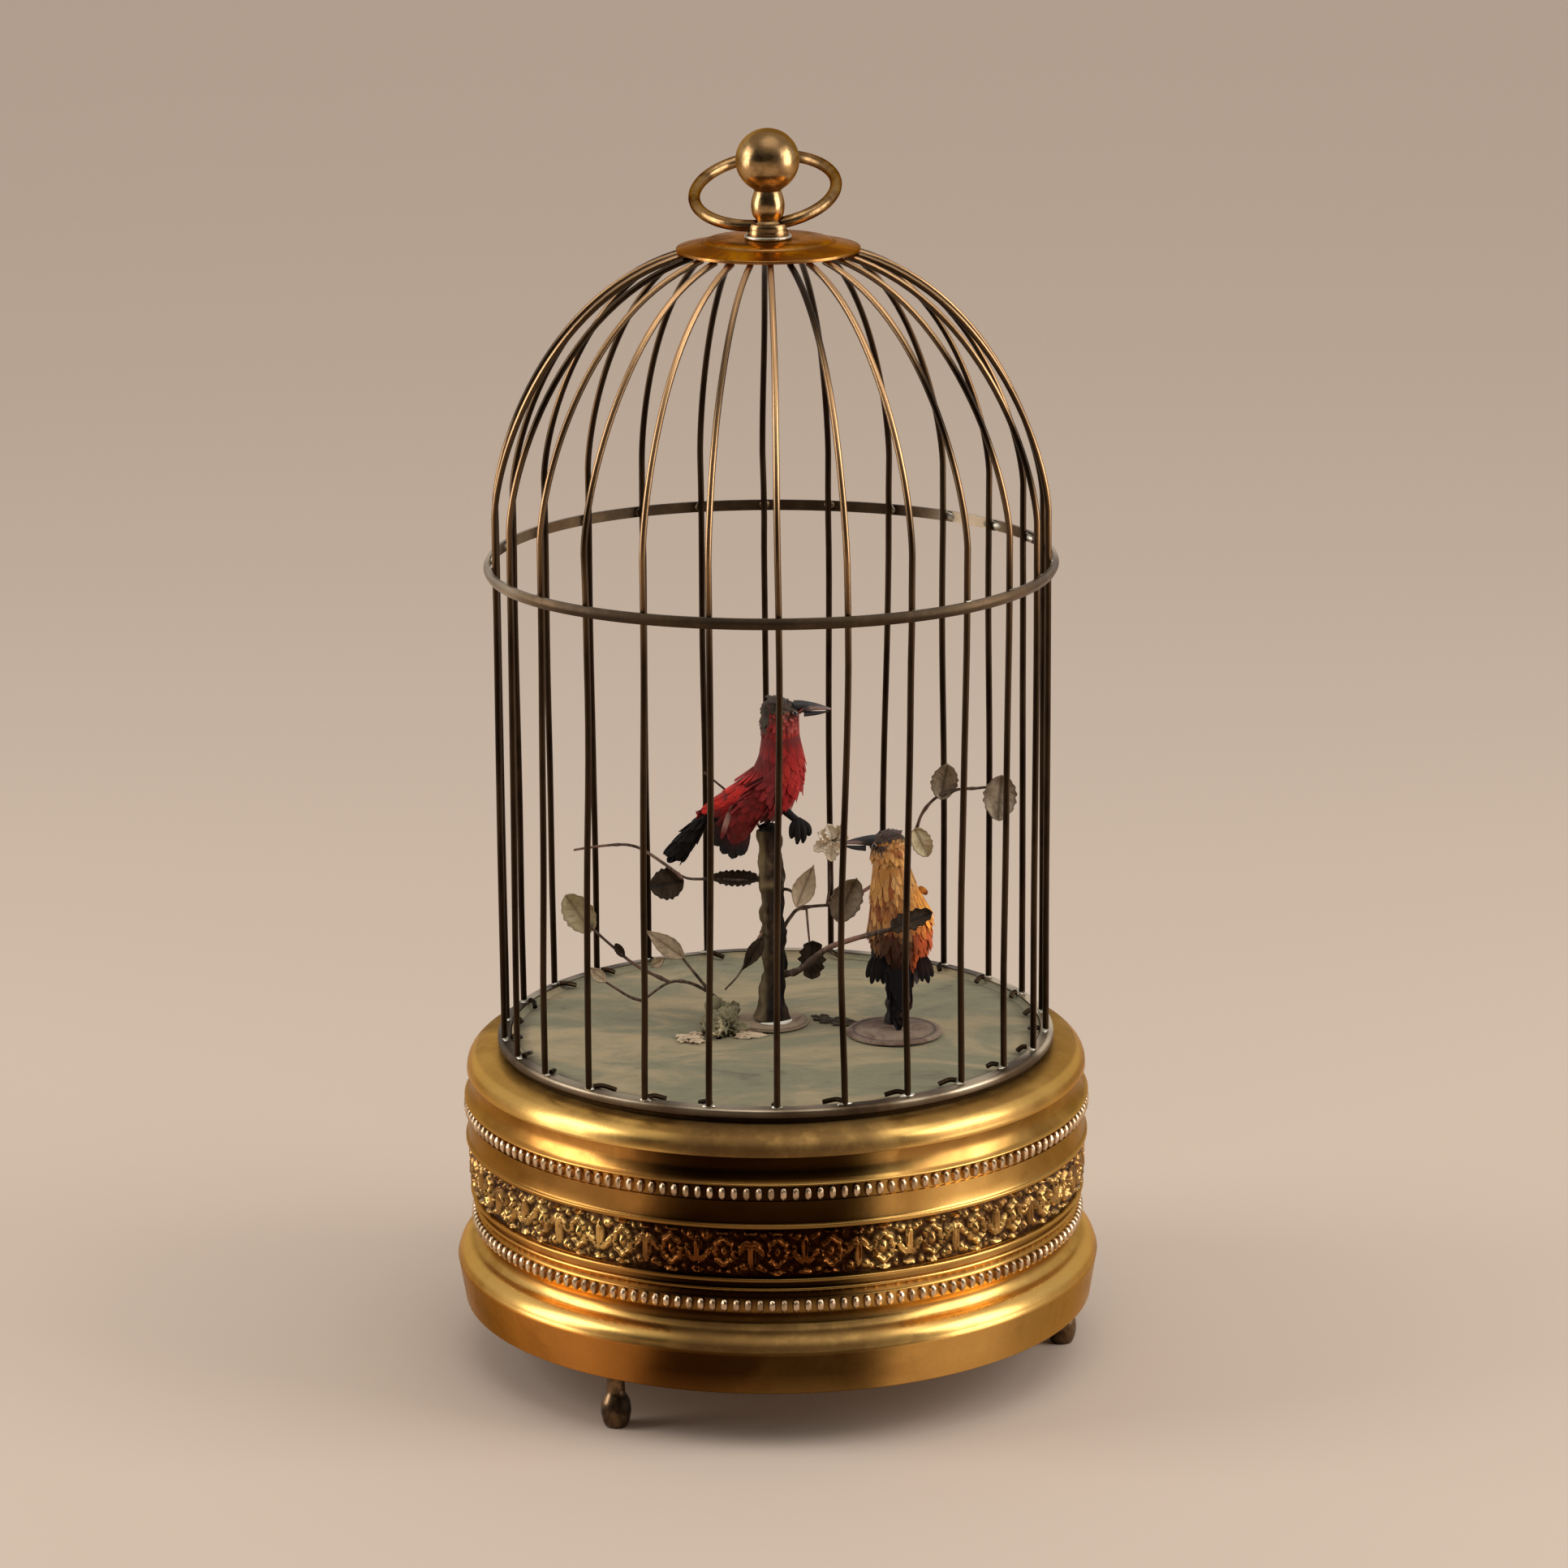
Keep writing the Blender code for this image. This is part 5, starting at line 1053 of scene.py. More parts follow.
@dataclass
class Feet:
    """The three turned feet; heights are shares of the foot, radii are in millimetres."""

    count: int = 3
    turning: tuple = ((3.0, 1.0), (3.0, 0.91), (2.7, 0.88), (2.1, 0.84), (1.95, 0.74), (2.1, 0.62),
                      (2.05, 0.55), (2.5, 0.50), (3.1, 0.42), (3.3, 0.32), (3.35, 0.22), (3.1, 0.12),
                      (2.7, 0.04), (2.3, 0.0))

    def build(self, shop: Workshop) -> None:
        """Turn each foot on its own node's axis and height."""
        for number in range(1, self.count + 1):
            low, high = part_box(f"foot_{number}")
            outline = Outline(0.0, high[2] / MM)
            for radius, share in self.turning:
                outline.line(radius, (low[2] + (high[2] - low[2]) * share) / MM)
            bm = spun(outline.line(0.0, low[2] / MM), 28)
            bmesh.ops.translate(bm, verts=bm.verts, vec=axis_of(f"foot_{number}"))
            shop.piece(f"turned_foot_{number}", bm, DARK_BRASS, replaces=(f"foot_{number}",), crease=60.0)


@dataclass
class CageFloor:
    """The painted board, the ring of the bars' feet, and the discs under trunk and post."""

    seed: int = 11
    crumbs: int = 70
    crescent: Point = (4.6, -122.0, 112.0)             # reach, start and turn of the chipped rim

    def build(self, shop: Workshop) -> None:
        """Build the board with its worn edge and the discs on it."""
        low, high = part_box("floor_board")
        radius, top, bottom = (high[0] - low[0]) / 2 / MM, high[2] / MM, low[2] / MM
        outline = Outline(0.0, top).line(radius * 0.96, top, 30).line(radius - 0.3, top)
        board = spun(outline.line(radius, top - 0.3).line(radius, bottom).line(0.0, bottom), 96)
        for vert in board.verts:
            if vert.co.z > high[2] - 0.0001:
                vert.co.z += 0.00022 * (noise.noise(vert.co * 60.0) - 0.6)
        # The grime mask holds a painted shadow along the board's front rim.
        paint_points(board, "grime", lambda co: self.rim_shadow_and_patch(co, radius * MM))
        shop.piece("painted_floor", board, FLOOR_PAINT, replaces=("floor_board",))
        self.add_run_up(shop, radius, top)
        self.add_disc(shop, "trunk_base_disc", TRUNK_DISC_PAINT, 0.95)
        self.add_disc(shop, "post_base_disc", POST_DISC_PAINT, 0.84)
        self.add_crescent(shop)
        self.add_dark_patch(shop)

    def add_run_up(self, shop: Workshop, radius: float, top: float) -> None:
        """The floor's paint where it has run up the inner side of the foot ring."""
        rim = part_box("cage_foot_ring")[1][2] / MM
        outline = Outline(radius - 1.1, top - 0.1).bow(radius + 0.02, rim - 0.08, 0.3, 6)
        outline.line(radius + 0.02, top - 0.4).line(radius - 1.1, top - 0.4).line(radius - 1.1, top - 0.1)
        bm = spun(outline, 128)
        for vert in bm.verts:
            if vert.co.z > (top + 0.2) * MM:
                vert.co.z -= 0.00035 * abs(noise.noise(Vector((vert.co.x * 130.0, vert.co.y * 130.0, 2.0))))
        shop.piece("floor_paint_run_up", settle(bm), FLOOR_PAINT)

    def rim_shadow_and_patch(self, co: Vector, radius: float) -> float:
        """A painted shadow along the board's rim, mostly at the front, and a darker patch by the trunk's
        foot.
        """
        rim = eased(co.xy.length / radius + 0.02 * noise.noise(co * 180.0), 0.93, 0.985)
        rim *= 1.0 - 0.8 * eased(co.y, 0.005, 0.040)
        near_trunk = 0.35 * math.exp(-((co.x + 0.002) / 0.012) ** 2 - ((co.y - 0.004) / 0.008) ** 2)
        return max(rim, near_trunk)

    def add_disc(self, shop: Workshop, node: str, finish: Paint, line: float) -> None:
        """A thin disc with a rolled, chipped rim.

        Args:
            shop: makes the piece.
            node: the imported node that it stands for.
            finish: its paint.
            line: where a dark line runs round it, as a share of its radius.
        """
        low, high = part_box(node)
        radius, top, bottom = (high[0] - low[0]) / 2 / MM, high[2] / MM, low[2] / MM
        outline = Outline(0.0, top).line(radius * 0.5, top).line(radius * 0.93, top, 14)
        bm = spun(outline.bow(radius, bottom + 0.1, 0.15, 5).line(radius, bottom).line(0.0, bottom), 56)
        for vert in bm.verts:
            if vert.co.xy.length > radius * 0.8 * MM:
                vert.co.xy *= 1.0 - 0.035 * abs(noise.noise(vert.co * 700.0))
        paint_points(bm, "grime",
                     lambda co: 0.9 * math.exp(-((co.xy.length / (radius * MM) - line) / 0.035) ** 2))
        bmesh.ops.translate(bm, verts=bm.verts, vec=axis_of(node))
        shop.piece(f"painted_{node}", bm, finish, replaces=(node,))

    def add_crescent(self, shop: Workshop) -> None:
        """The chipped cream rim in front of the trunk's foot, on its disc."""
        middle = axis_of("trunk_base_disc")
        middle.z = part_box("trunk_base_disc")[1][2] + 0.0002
        reach, start, turn = self.crescent
        steps = 28
        route = []
        sizes = []
        for step in range(steps + 1):
            share = step / steps
            route.append(middle + heading(math.radians(start + turn * share)) * reach * MM)
            wide = math.sin(math.pi * share) ** 0.6 * (1 + 0.25 * noise.noise(Vector((share * 9, 0, 0))))
            sizes.append((0.0001 + 0.0007 * wide, 0.0001 + 0.0003 * wide))
        bm = bmesh.new()
        sweep(bm, route, sizes, 10, across=heading(math.radians(start)))
        shop.piece("cream_crescent", settle(bm), CREAM_PAINT)

    def add_dark_patch(self, shop: Workshop) -> None:
        """Dark mossy crumbs on the floor between trunk and post."""
        draw = random.Random(self.seed)
        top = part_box("floor_board")[1][2]
        bm = bmesh.new()
        for _ in range(self.crumbs):
            along = draw.random()
            spot = Vector((9.5 + 9.0 * along + draw.gauss(0, 1.0),
                           7.5 - 4.5 * along + draw.gauss(0, 1.1), 0.0)) * MM
            spot.z = top + 0.0001
            size = [draw.uniform(*span) * MM for span in ((0.5, 1.3), (0.4, 0.9), (0.2, 0.6))]
            bmesh.ops.create_icosphere(bm, subdivisions=2, radius=1.0,
                                       matrix=Matrix.Translation(spot) @ Matrix.Diagonal((*size, 1.0)))
        crumple(bm, 1500.0, 0.00025)
        shop.piece("dark_moss_patch", settle(bm), DARK_MOSS)


@dataclass
class Cage:
    """The wire cage: foot ring, bars that run up into the dome, and the hoop."""

    bar_count: int = 26
    first_angle: float = -88.65          # degrees
    circle: float = 61.4
    bar_radius: float = 0.72
    spring: float = 194.8                # height where the dome starts
    rise: float = 58.7
    side_power: float = 0.81
    rise_power: float = 1.31
    top_radius: float = 17.8             # where the bars end, under the cap
    straight_steps: int = 16
    dome_steps: int = 26
    sides: int = 10
    waver: float = 0.35                  # how far a bar strays from true
    bowed: tuple = ((1, -1.15), (2, -0.6), (3, -0.75), (25, 0.4), (11, 1.6))     # pushed aside at half height
    lean: float = 1.3                    # how far the front bars' feet stand to the left
    ring_inner: float = 60.0
    hoop_depth: float = 1.2
    seed: int = 9

    def build(self, shop: Workshop) -> None:
        """Build the foot ring, the bars and the hoop with its solder."""
        self.add_foot_ring(shop)
        for number in range(self.bar_count):
            self.add_bar(shop, number)
        self.add_hoop(shop)

    def angle(self, number: int) -> float:
        """A bar's direction from the cage's middle, in radians."""
        return math.radians(self.first_angle + number * 360 / self.bar_count)

    def leaning(self, number: int, share: float) -> float:
        """How far a bar stands to the side at a share of its way down from the hoop."""
        angle = self.angle(number)
        front = eased(-math.sin(angle), -0.3, 0.5) * (0.35 + 0.65 * eased(abs(math.sin(angle)), 0.2, 0.7))
        return -self.lean * front * share

    def add_foot_ring(self, shop: Workshop) -> None:
        """The ring that carries the bars."""
        low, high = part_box("cage_foot_ring")
        outer, bottom, top = high[0] / MM, low[2] / MM, high[2] / MM
        outline = Outline(self.ring_inner, top).line(outer - 0.9, top).shoulder(outer, top - 0.8, 5)
        outline.line(outer, bottom + 1.2).bow(outer - 0.9, bottom, -0.2, 5).line(self.ring_inner, bottom)
        bm = spun(outline, 208)
        # The grime mask here makes the ring darker towards its bottom.
        paint_points(bm, "grime", lambda co: 0.55 + 0.4 * eased(co.z, high[2] - 0.001, low[2]))
        paint_points(bm, "wear", lambda co: self.ring_wear_and_highlight(co, high[2]))
        shop.piece("foot_ring", bm, HOOP_BRASS, replaces=("cage_foot_ring",))
        self.add_bar_feet(shop, low[2], high[2])

    def add_bar_feet(self, shop: Workshop, bottom: float, top: float) -> None:
        """The bars' ends, bent inwards, and a lump of solder at each; both heights in metres."""
        ends = bmesh.new()
        blobs = bmesh.new()
        draw = random.Random(self.seed)
        for number in range(self.bar_count):
            out = heading(self.angle(number))
            aside = Vector((-out.y, out.x, 0.0))
            foot = out * self.circle * MM + Vector((self.leaning(number, 1.0) * MM, 0.0, 0.0))
            start = foot - out * 1.5 * MM + Vector((0, 0, bottom + 0.0034))
            reach = draw.uniform(1.6, 3.0) * MM
            bent = aside * draw.uniform(-0.9, 0.9) * reach
            route = [start + bent * swing - out * reach * run + Vector((0, 0, -drop))
                     for run, swing, drop in ((0.0, 0.0, 0.0), (0.5, 0.4, 0.0), (0.8, 1.0, 0.0004),
                                               (1.0, 1.5, 0.0008))]
            sweep(ends, smooth_route(route, 3), [(0.0006, 0.0005)] * 10, 8)
            size = Matrix.Diagonal((0.75 * MM, draw.uniform(1.0, 2.6) * MM, 0.45 * MM, 1.0))
            spot = Matrix.Translation(foot - out * 0.2 * MM + Vector((0.0, 0.0, top + 0.0001)))
            turn = Matrix.Rotation(self.angle(number), 4, "Z")
            bmesh.ops.create_uvsphere(blobs, u_segments=14, v_segments=6, radius=1.0,
                                      matrix=spot @ turn @ size)
        crumple(blobs, 800.0, 0.00022)
        shop.piece("bent_bar_ends", settle(ends), WIRE)
        shop.piece("ring_solder", settle(blobs), SOLDER)

    def ring_wear_and_highlight(self, co: Vector, top: float) -> float:
        """How pale the foot ring is: rubbed and soldered patches along its upper edge, paler on the right as
        a painted highlight.
        """
        patch = eased(noise.noise(Vector((co.x * 75.0, co.y * 75.0, 4.0))), -0.25, 0.35)
        return patch * eased(co.z, top - 0.0012, top - 0.0001) * (0.60 + 0.40 * eased(co.x, 0.000, 0.030))

    def middle_line(self, number: int) -> list[Vector]:
        """A bar's middle line, from its foot to its end under the cap, wavering a little."""
        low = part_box(f"cage_bar_{number + 1:02d}")[0][2] / MM
        last = math.acos((self.top_radius / self.circle) ** (1 / self.side_power))
        run = [(self.circle, low + (self.spring - low) * step / self.straight_steps)
               for step in range(self.straight_steps)]
        for step in range(self.dome_steps + 1):
            turn = last * step / self.dome_steps
            run.append((self.circle * math.cos(turn) ** self.side_power,
                        self.spring + self.rise * math.sin(turn) ** self.rise_power))
        out = heading(self.angle(number))
        aside = Vector((-out.y, out.x, 0.0))
        line = []
        for radius, height in run:
            free = min(eased(height, low, low + 25), eased(height, self.spring + self.rise, self.spring + 30))
            free *= 0.25 + 0.75 * eased(abs(height - self.spring + 12.2), 0.0, 14.0)
            stray = noise.noise_vector(Vector((number * 5.3, height * 0.021, 0.0))) * self.waver * free
            stray.y += dict(self.bowed).get(number, 0.0) / 1.6 * self.bow(height, low)
            across = self.leaning(number, eased(height, self.spring - 12.0, low))
            line.append((out * (radius + stray.x * 0.5) + aside * stray.y * 1.6
                         + Vector((across, 0, height))) * MM)
        return line

    def bow(self, height: float, low: float) -> float:
        """How much of its bow a bar has at a height: most at a third of the way up to the hoop."""
        return eased(height, low, low + 34.0) * eased(height, 178.0, 118.0)

    def add_bar(self, shop: Workshop, number: int) -> None:
        """One bar."""
        bm = bmesh.new()
        line = self.middle_line(number)
        radius = self.bar_radius * MM
        sizes = [(radius, radius)] * len(line)
        wear = bm.verts.layers.float.new("wear")
        for index, vert in enumerate(sweep(bm, line, sizes, self.sides)):
            middle = line[index // self.sides]
            vert[wear] = self.rubbed(vert.co, (vert.co - middle).normalized(), number)
        shop.piece(f"bar_{number + 1:02d}", settle(bm), WIRE, replaces=(f"cage_bar_{number + 1:02d}",))

    def rubbed(self, co: Vector, out: Vector, number: int) -> float:
        """How much the brass shows through the brown: worn patches on the outer side, most on the dome, where
        they also stand for its painted highlights, and a painted highlight on the right side of the front
        bars.
        """
        high = eased(co.z / MM, self.spring - 22, self.spring + 22)
        patch = eased(noise.noise(Vector((number * 2.7, 0.0, co.z * 38.0))), -0.55, 0.35)
        dome = Vector((co.x, co.y, max(co.z - self.spring * MM, 0.0))).normalized()
        outer = eased(out.dot(dome), -0.35, 0.75)
        # Painted highlight on the right side of the front bars.
        edge = 0.10 * eased(out.x, 0.6, 1.0) * eased(-co.y, 0.0, 0.02)
        return patch * outer * (0.02 + 0.83 * high) + edge * (1 - high)

    def add_hoop(self, shop: Workshop) -> None:
        """The flat hoop outside the bars and the solder that holds it to each bar."""
        low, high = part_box("cage_hoop")
        outer, bottom, top = high[0] / MM, low[2] / MM, high[2] / MM
        inner, middle = outer - self.hoop_depth, (bottom + top) / 2
        outline = Outline(inner, top).line(outer - 0.5, top).bow(outer - 0.5, bottom, 0.5, 10)
        bm = spun(outline.line(inner, bottom).line(inner, middle), 208)
        for vert in bm.verts:
            vert.co.z += 0.00022 * math.sin(3 * math.atan2(vert.co.y, vert.co.x) + 0.7)
        # Painted shade: the hoop is darker at its front and back than at its sides.
        paint_points(bm, "grime", lambda co: 0.8 * eased(abs(co.y), 0.030, 0.056))
        paint_points(bm, "wear", self.hoop_wear)
        shop.piece("hoop", bm, HOOP_BRASS, replaces=("cage_hoop",))
        blobs = bmesh.new()
        spot = Matrix.Translation((inner * MM - 0.0001, 0.0, middle * MM))
        for number in range(self.bar_count):
            angle = self.angle(number)
            smeared = 1 + 1.6 * eased(math.cos(angle), 0.45, 0.8) + 0.9 * eased(-math.cos(angle), 0.8, 0.95)
            size = Matrix.Diagonal((0.55 * MM, 1.25 * smeared * MM, 1.15 * MM, 1.0))
            bmesh.ops.create_uvsphere(blobs, u_segments=10, v_segments=6, radius=1.0,
                                      matrix=Matrix.Rotation(angle, 4, "Z") @ spot @ size)
        crumple(blobs, 900.0, 0.00025)
        # Painted shade: the solder is darkened at the front and back, like the hoop.
        paint_points(blobs, "brown", lambda co: 0.9 * eased(co.x, 0.036, 0.022) * eased(co.x, -0.052, -0.040))
        shop.piece("hoop_solder", settle(blobs), SOLDER)

    def hoop_wear(self, co: Vector) -> float:
        """How pale the hoop is: smeared with solder at the right and at the far left."""
        patch = eased(noise.noise(Vector((co.x * 60.0, co.y * 60.0, 7.0))), -0.4, 0.3)
        right = eased(co.x, 0.030, 0.052) * eased(co.y, -0.030, 0.010)
        left = eased(-co.x, 0.050, 0.060)
        return 0.75 * patch * max(right, 0.8 * left)


@dataclass
class Crown:
    """The cap, the finial with its cross hole, and the loose ring."""

    ball_radius: float = 7.0
    neck_radius: float = 3.3
    ring_radius: float = 15.75
    wire_radius: float = 1.32
    lean: float = 20.3
    roll: float = -6.0
    pivot: float = 257.74
    hole_radius: float = 2.3
    bore: float = 2.1                    # the cap's hole
    solder: tuple = (4.75, 0.45)         # reach and half size of the collar's solder

    def build(self, shop: Workshop) -> None:
        """Build cap, finial, ring and the collar's solder."""
        self.add_cap(shop)
        self.add_finial(shop)
        self.add_ring(shop)
        start = Vector((self.solder[0] * MM, 0.0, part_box("cage_cap")[1][2] + self.solder[1] * MM))
        solder = wire_ring(start, Vector(), self.solder[1] * MM, 10, 64, "X")
        shop.piece("collar_solder", settle(solder), SOLDER)

    def add_cap(self, shop: Workshop) -> None:
        """The dished cap with its stepped disc, hollow beneath."""
        low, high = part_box("cage_cap")
        bottom, top, rim = low[2] / MM, high[2] / MM, high[0] / MM
        outline = Outline(self.bore, top).line(8.0, top).line(13.2, top - 0.05).bow(14.1, top - 0.55, 0.1, 5)
        outline.line(14.5, top - 0.7).bow(rim - 0.2, bottom + 0.75, 0.25, 8).shoulder(rim, bottom + 0.45, 4)
        outline.line(rim, bottom + 0.1).line(rim - 0.2, bottom).line(rim - 2.4, bottom + 0.66)
        bm = spun(outline.line(self.bore, bottom + 0.66), 128)
        paint_points(bm, "grime", lambda co: self.cap_dirt(co, high[2]))
        shop.piece("domed_cap", bm, COPPER_BRASS, replaces=("cage_cap",), crease=30.0)

    def cap_dirt(self, co: Vector, top: float) -> float:
        """Dirt round the collar, at the disc's step and under the cap."""
        reach = co.xy.length / MM
        if co.z < top - 0.0014 and reach < 18.0:
            return 0.8
        return max(0.5 * eased(reach, 5.6, 4.7), 0.55 * math.exp(-((reach - 14.4) / 0.5) ** 2))

    def add_finial(self, shop: Workshop) -> None:
        """The turned finial: ball, swelling neck and collar."""
        low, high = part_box("finial")
        top = high[2] / MM
        middle = top - self.ball_radius
        neck_top = middle - math.sqrt(self.ball_radius ** 2 - self.neck_radius ** 2)
        collar_top = self.pivot + 0.55
        outline = Outline(0.0, top)
        steps = 26
        last = math.pi - math.asin(self.neck_radius / self.ball_radius)
        for step in range(1, steps + 1):
            angle = last * step / steps
            outline.line(self.ball_radius * math.sin(angle), middle + self.ball_radius * math.cos(angle))
        outline.line(2.9, neck_top - 0.5).bow(3.0, collar_top + 0.5, 0.75, 12).line(3.4, collar_top)
        outline.line(4.3, collar_top - 0.1).bow(4.5, collar_top - 1.5, 0.12, 5)
        outline.bow(4.5, collar_top - 3.2, 0.12, 5)
        outline.line(1.8, collar_top - 3.2).line(1.8, low[2] / MM).line(0.0, low[2] / MM)
        bm = spun(outline, 64)
        paint_points(bm, "grime", lambda co: self.neck_dirt(co.z / MM, neck_top, collar_top))
        stem = shop.piece("ball_finial", bm, POLISHED_BRASS, replaces=("finial",), crease=45.0)
        self.drill(stem)

    def neck_dirt(self, height: float, neck_top: float, collar_top: float) -> float:
        """Dirt under the ball and at the collar."""
        return 0.6 * max(math.exp(-((height - neck_top) / 0.9) ** 2),
                         math.exp(-((height - collar_top) / 0.5) ** 2))

    def drill(self, stem: bpy.types.Object) -> None:
        """Cut the cross hole for the ring, and keep the result as the piece's mesh."""
        bm = bmesh.new()
        lying = Matrix.Translation((0, 0, self.pivot * MM)) @ Matrix.Rotation(math.pi / 2, 4, "Y")
        radius = self.hole_radius * MM
        bmesh.ops.create_cone(bm, cap_ends=True, segments=32, radius1=radius, radius2=radius, depth=0.03,
                              matrix=lying)
        tool = add_object("drill", stored(bm, "drill"))
        cut = stem.modifiers.new("ring_hole", "BOOLEAN")
        cut.object = tool
        cut.operation = "DIFFERENCE"
        cut.solver = "EXACT"
        bpy.context.view_layer.update()
        shaped = bpy.data.meshes.new_from_object(stem.evaluated_get(bpy.context.evaluated_depsgraph_get()))
        stem.modifiers.clear()
        stem.data = shaped
        bpy.data.objects.remove(tool, do_unlink=True)

    def add_ring(self, shop: Workshop) -> None:
        """The loose ring, swept round its own circle and hung in the cross hole."""
        bm = wire_ring(Vector(), Vector((0, self.ring_radius * MM, 0)), self.wire_radius * MM, 16, 96, "Y")
        roll = Matrix.Rotation(math.radians(self.roll), 4, "Y")
        turn = roll @ Matrix.Rotation(math.radians(self.lean), 4, "X")
        bmesh.ops.transform(bm, matrix=Matrix.Translation((0, 0, self.pivot * MM)) @ turn, verts=bm.verts)
        shop.piece("loose_ring", settle(bm), RING_BRASS, body="hanging_ring", replaces=("hanging_ring",))


@dataclass(frozen=True)
class Bark:
    """Dry bark and wrapped wire: streaks that run up the stem, with pale and mossy patches."""

    name: str
    slot: Slot
    light: Colour
    middle: Colour
    dark: Colour
    patch: Colour
    streaks: float = 520.0
    depth: float = 0.00022

    def material(self) -> bpy.types.Material:
        """Build the finish's material."""
        made, wiring, shader = start_material(self.name)
        stretched = wiring.node("ShaderNodeMapping", {"Vector": wiring.place(), "Scale": (1.0, 1.0, 0.16)})
        streak = wiring.noise(stretched.outputs[0], self.streaks, detail=6.0, rough=0.65, twist=0.8)
        blotch = wiring.noise(wiring.place(), 150.0, detail=3.0)
        base = wiring.blend(wiring.span(streak, 0.34, 0.66), self.dark, self.middle)
        base = wiring.blend(wiring.span(blotch, 0.54, 0.70, 0.0, 0.75), base, self.light)
        # On the trunk the wear and grime masks also carry painted light and painted shade.
        base = wiring.blend(wiring.mask("wear"), base, self.patch)
        wiring.fill(shader, {"Base Color": wiring.blend(wiring.mask("grime"), base, self.dark),
                             "Roughness": wiring.span(streak, 0.2, 0.8, 0.95, 0.65),
                             "Specular IOR Level": 0.15, "Normal": wiring.bump(streak, self.depth)})
        return made


@dataclass(frozen=True)
class Blade:
    """A starched fabric leaf or petal: veins in its length, faded between, darker at its edge."""

    name: str
    slot: Slot
    face: Colour
    faded: Colour
    vein: Colour

    def material(self) -> bpy.types.Material:
        """Build the finish's material."""
        made, wiring, shader = start_material(self.name)
        place = wiring.place()
        mottle = wiring.noise(place, 330.0, detail=5.0, rough=0.65)
        fabric = wiring.noise(place, 3800.0, detail=1.0)
        base = wiring.blend(wiring.span(mottle, 0.38, 0.66), self.face, self.faded)
        wiring.fill(shader, {"Base Color": wiring.blend(wiring.mask("grime"), base, self.vein),
                             "Roughness": wiring.span(mottle, 0.2, 0.8, 0.62, 0.9),
                             "Specular IOR Level": 0.15, "Normal": wiring.bump(fabric, 0.00005)})
        return made


@dataclass(frozen=True)
class Plumage:
    """Feathers: each carries its own tint, darker at its root, partly as painted shade where the feathers
    overlap, and combed into barbs.
    """

    name: str
    slot: Slot
    roughness: float = 0.62
    sheen: float = 0.06
    gloss: float = 0.16

    def material(self) -> bpy.types.Material:
        """Build the finish's material."""
        made, wiring, shader = start_material(self.name)
        tint = wiring.node("ShaderNodeAttribute", attribute_name="tint").outputs["Color"]
        along = wiring.mask("along")
        fold = wiring.maths("ABSOLUTE", wiring.mask("across"), held=False)
        comb = wiring.maths("SUBTRACT", fold, wiring.maths("MULTIPLY", along, 2.2, held=False), held=False)
        lined = wiring.node("ShaderNodeCombineXYZ", {"X": comb, "Y": wiring.mask("shade")}).outputs[0]
        barbs = wiring.noise(lined, 7.0, detail=4.0, rough=0.7)
        shaft = wiring.span(fold, 0.0, 0.12, 0.72, 1.0)
        deep = wiring.toned(tint, (0.55, 0.48, 0.50))
        lit = wiring.toned(tint, (1.35, 1.30, 1.25))
        combed = wiring.blend(wiring.span(barbs, 0.36, 0.66), deep, lit)
        # Darker roots: partly painted shade under the overlapping feathers.
        root_shaded = wiring.blend(wiring.span(along, 0.15, 0.62), deep, combed)
        rough = wiring.span(barbs, 0.2, 0.8, self.roughness + 0.15, self.roughness - 0.1)
        wiring.fill(shader, {"Base Color": wiring.blend(shaft, deep, root_shaded), "Roughness": rough,
                             "Sheen Weight": self.sheen, "Specular IOR Level": self.gloss,
                             "Normal": wiring.bump(barbs, 0.00012)})
        return made


@dataclass(frozen=True)
class Horn:
    """Beak, claws and legs: dark horn with a paler, pinkish side."""

    name: str
    slot: Slot
    dark: Colour
    pale: Colour
    roughness: float = 0.38
    gloss: float = 0.5

    def material(self) -> bpy.types.Material:
        """Build the finish's material."""
        made, wiring, shader = start_material(self.name)
        grain = wiring.noise(wiring.place(), 1400.0, detail=3.0)
        side = wiring.maths("MULTIPLY", wiring.mask("wear"), wiring.span(grain, 0.25, 0.6, 0.6, 1.0))
        wiring.fill(shader, {"Base Color": wiring.blend(side, self.dark, self.pale),
                             "Roughness": wiring.span(grain, 0.2, 0.8, self.roughness, self.roughness + 0.25),
                             "Specular IOR Level": self.gloss, "Normal": wiring.bump(grain, 0.00004)})
        return made


@dataclass(frozen=True)
class Glass:
    """A black glass eye with a brown ring."""

    name: str
    slot: Slot
    ring: Colour
    black: Colour = (0.006, 0.005, 0.005)

    def material(self) -> bpy.types.Material:
        """Build the finish's material."""
        made, wiring, shader = start_material(self.name)
        wiring.fill(shader, {"Base Color": wiring.blend(wiring.mask("wear"), self.black, self.ring),
                             "Roughness": 0.05, "Coat Weight": 0.6})
        return made


# Its patch colour also paints the light on the trunk's left side.
TRUNK_BARK = Bark("trunk_bark", Slot.BARK, (0.150, 0.095, 0.054), (0.056, 0.031, 0.017),
                  (0.010, 0.006, 0.004), (0.21, 0.150, 0.076), depth=0.0006)
POST_BARK = Bark("post_bark", Slot.BARK, (0.12, 0.10, 0.08), (0.05, 0.038, 0.03), (0.012, 0.009, 0.008),
                 (0.20, 0.16, 0.12))
TWIG_WRAP = Bark("wrapped_twig", Slot.BARK, (0.28, 0.18, 0.13), (0.13, 0.085, 0.06), (0.035, 0.022, 0.016),
                 (0.34, 0.17, 0.12), streaks=900.0, depth=0.00008)
DARK_LEAF = Blade("dark_leaf_cloth", Slot.LEAF, (0.028, 0.016, 0.008), (0.052, 0.032, 0.018),
                  (0.009, 0.006, 0.004))
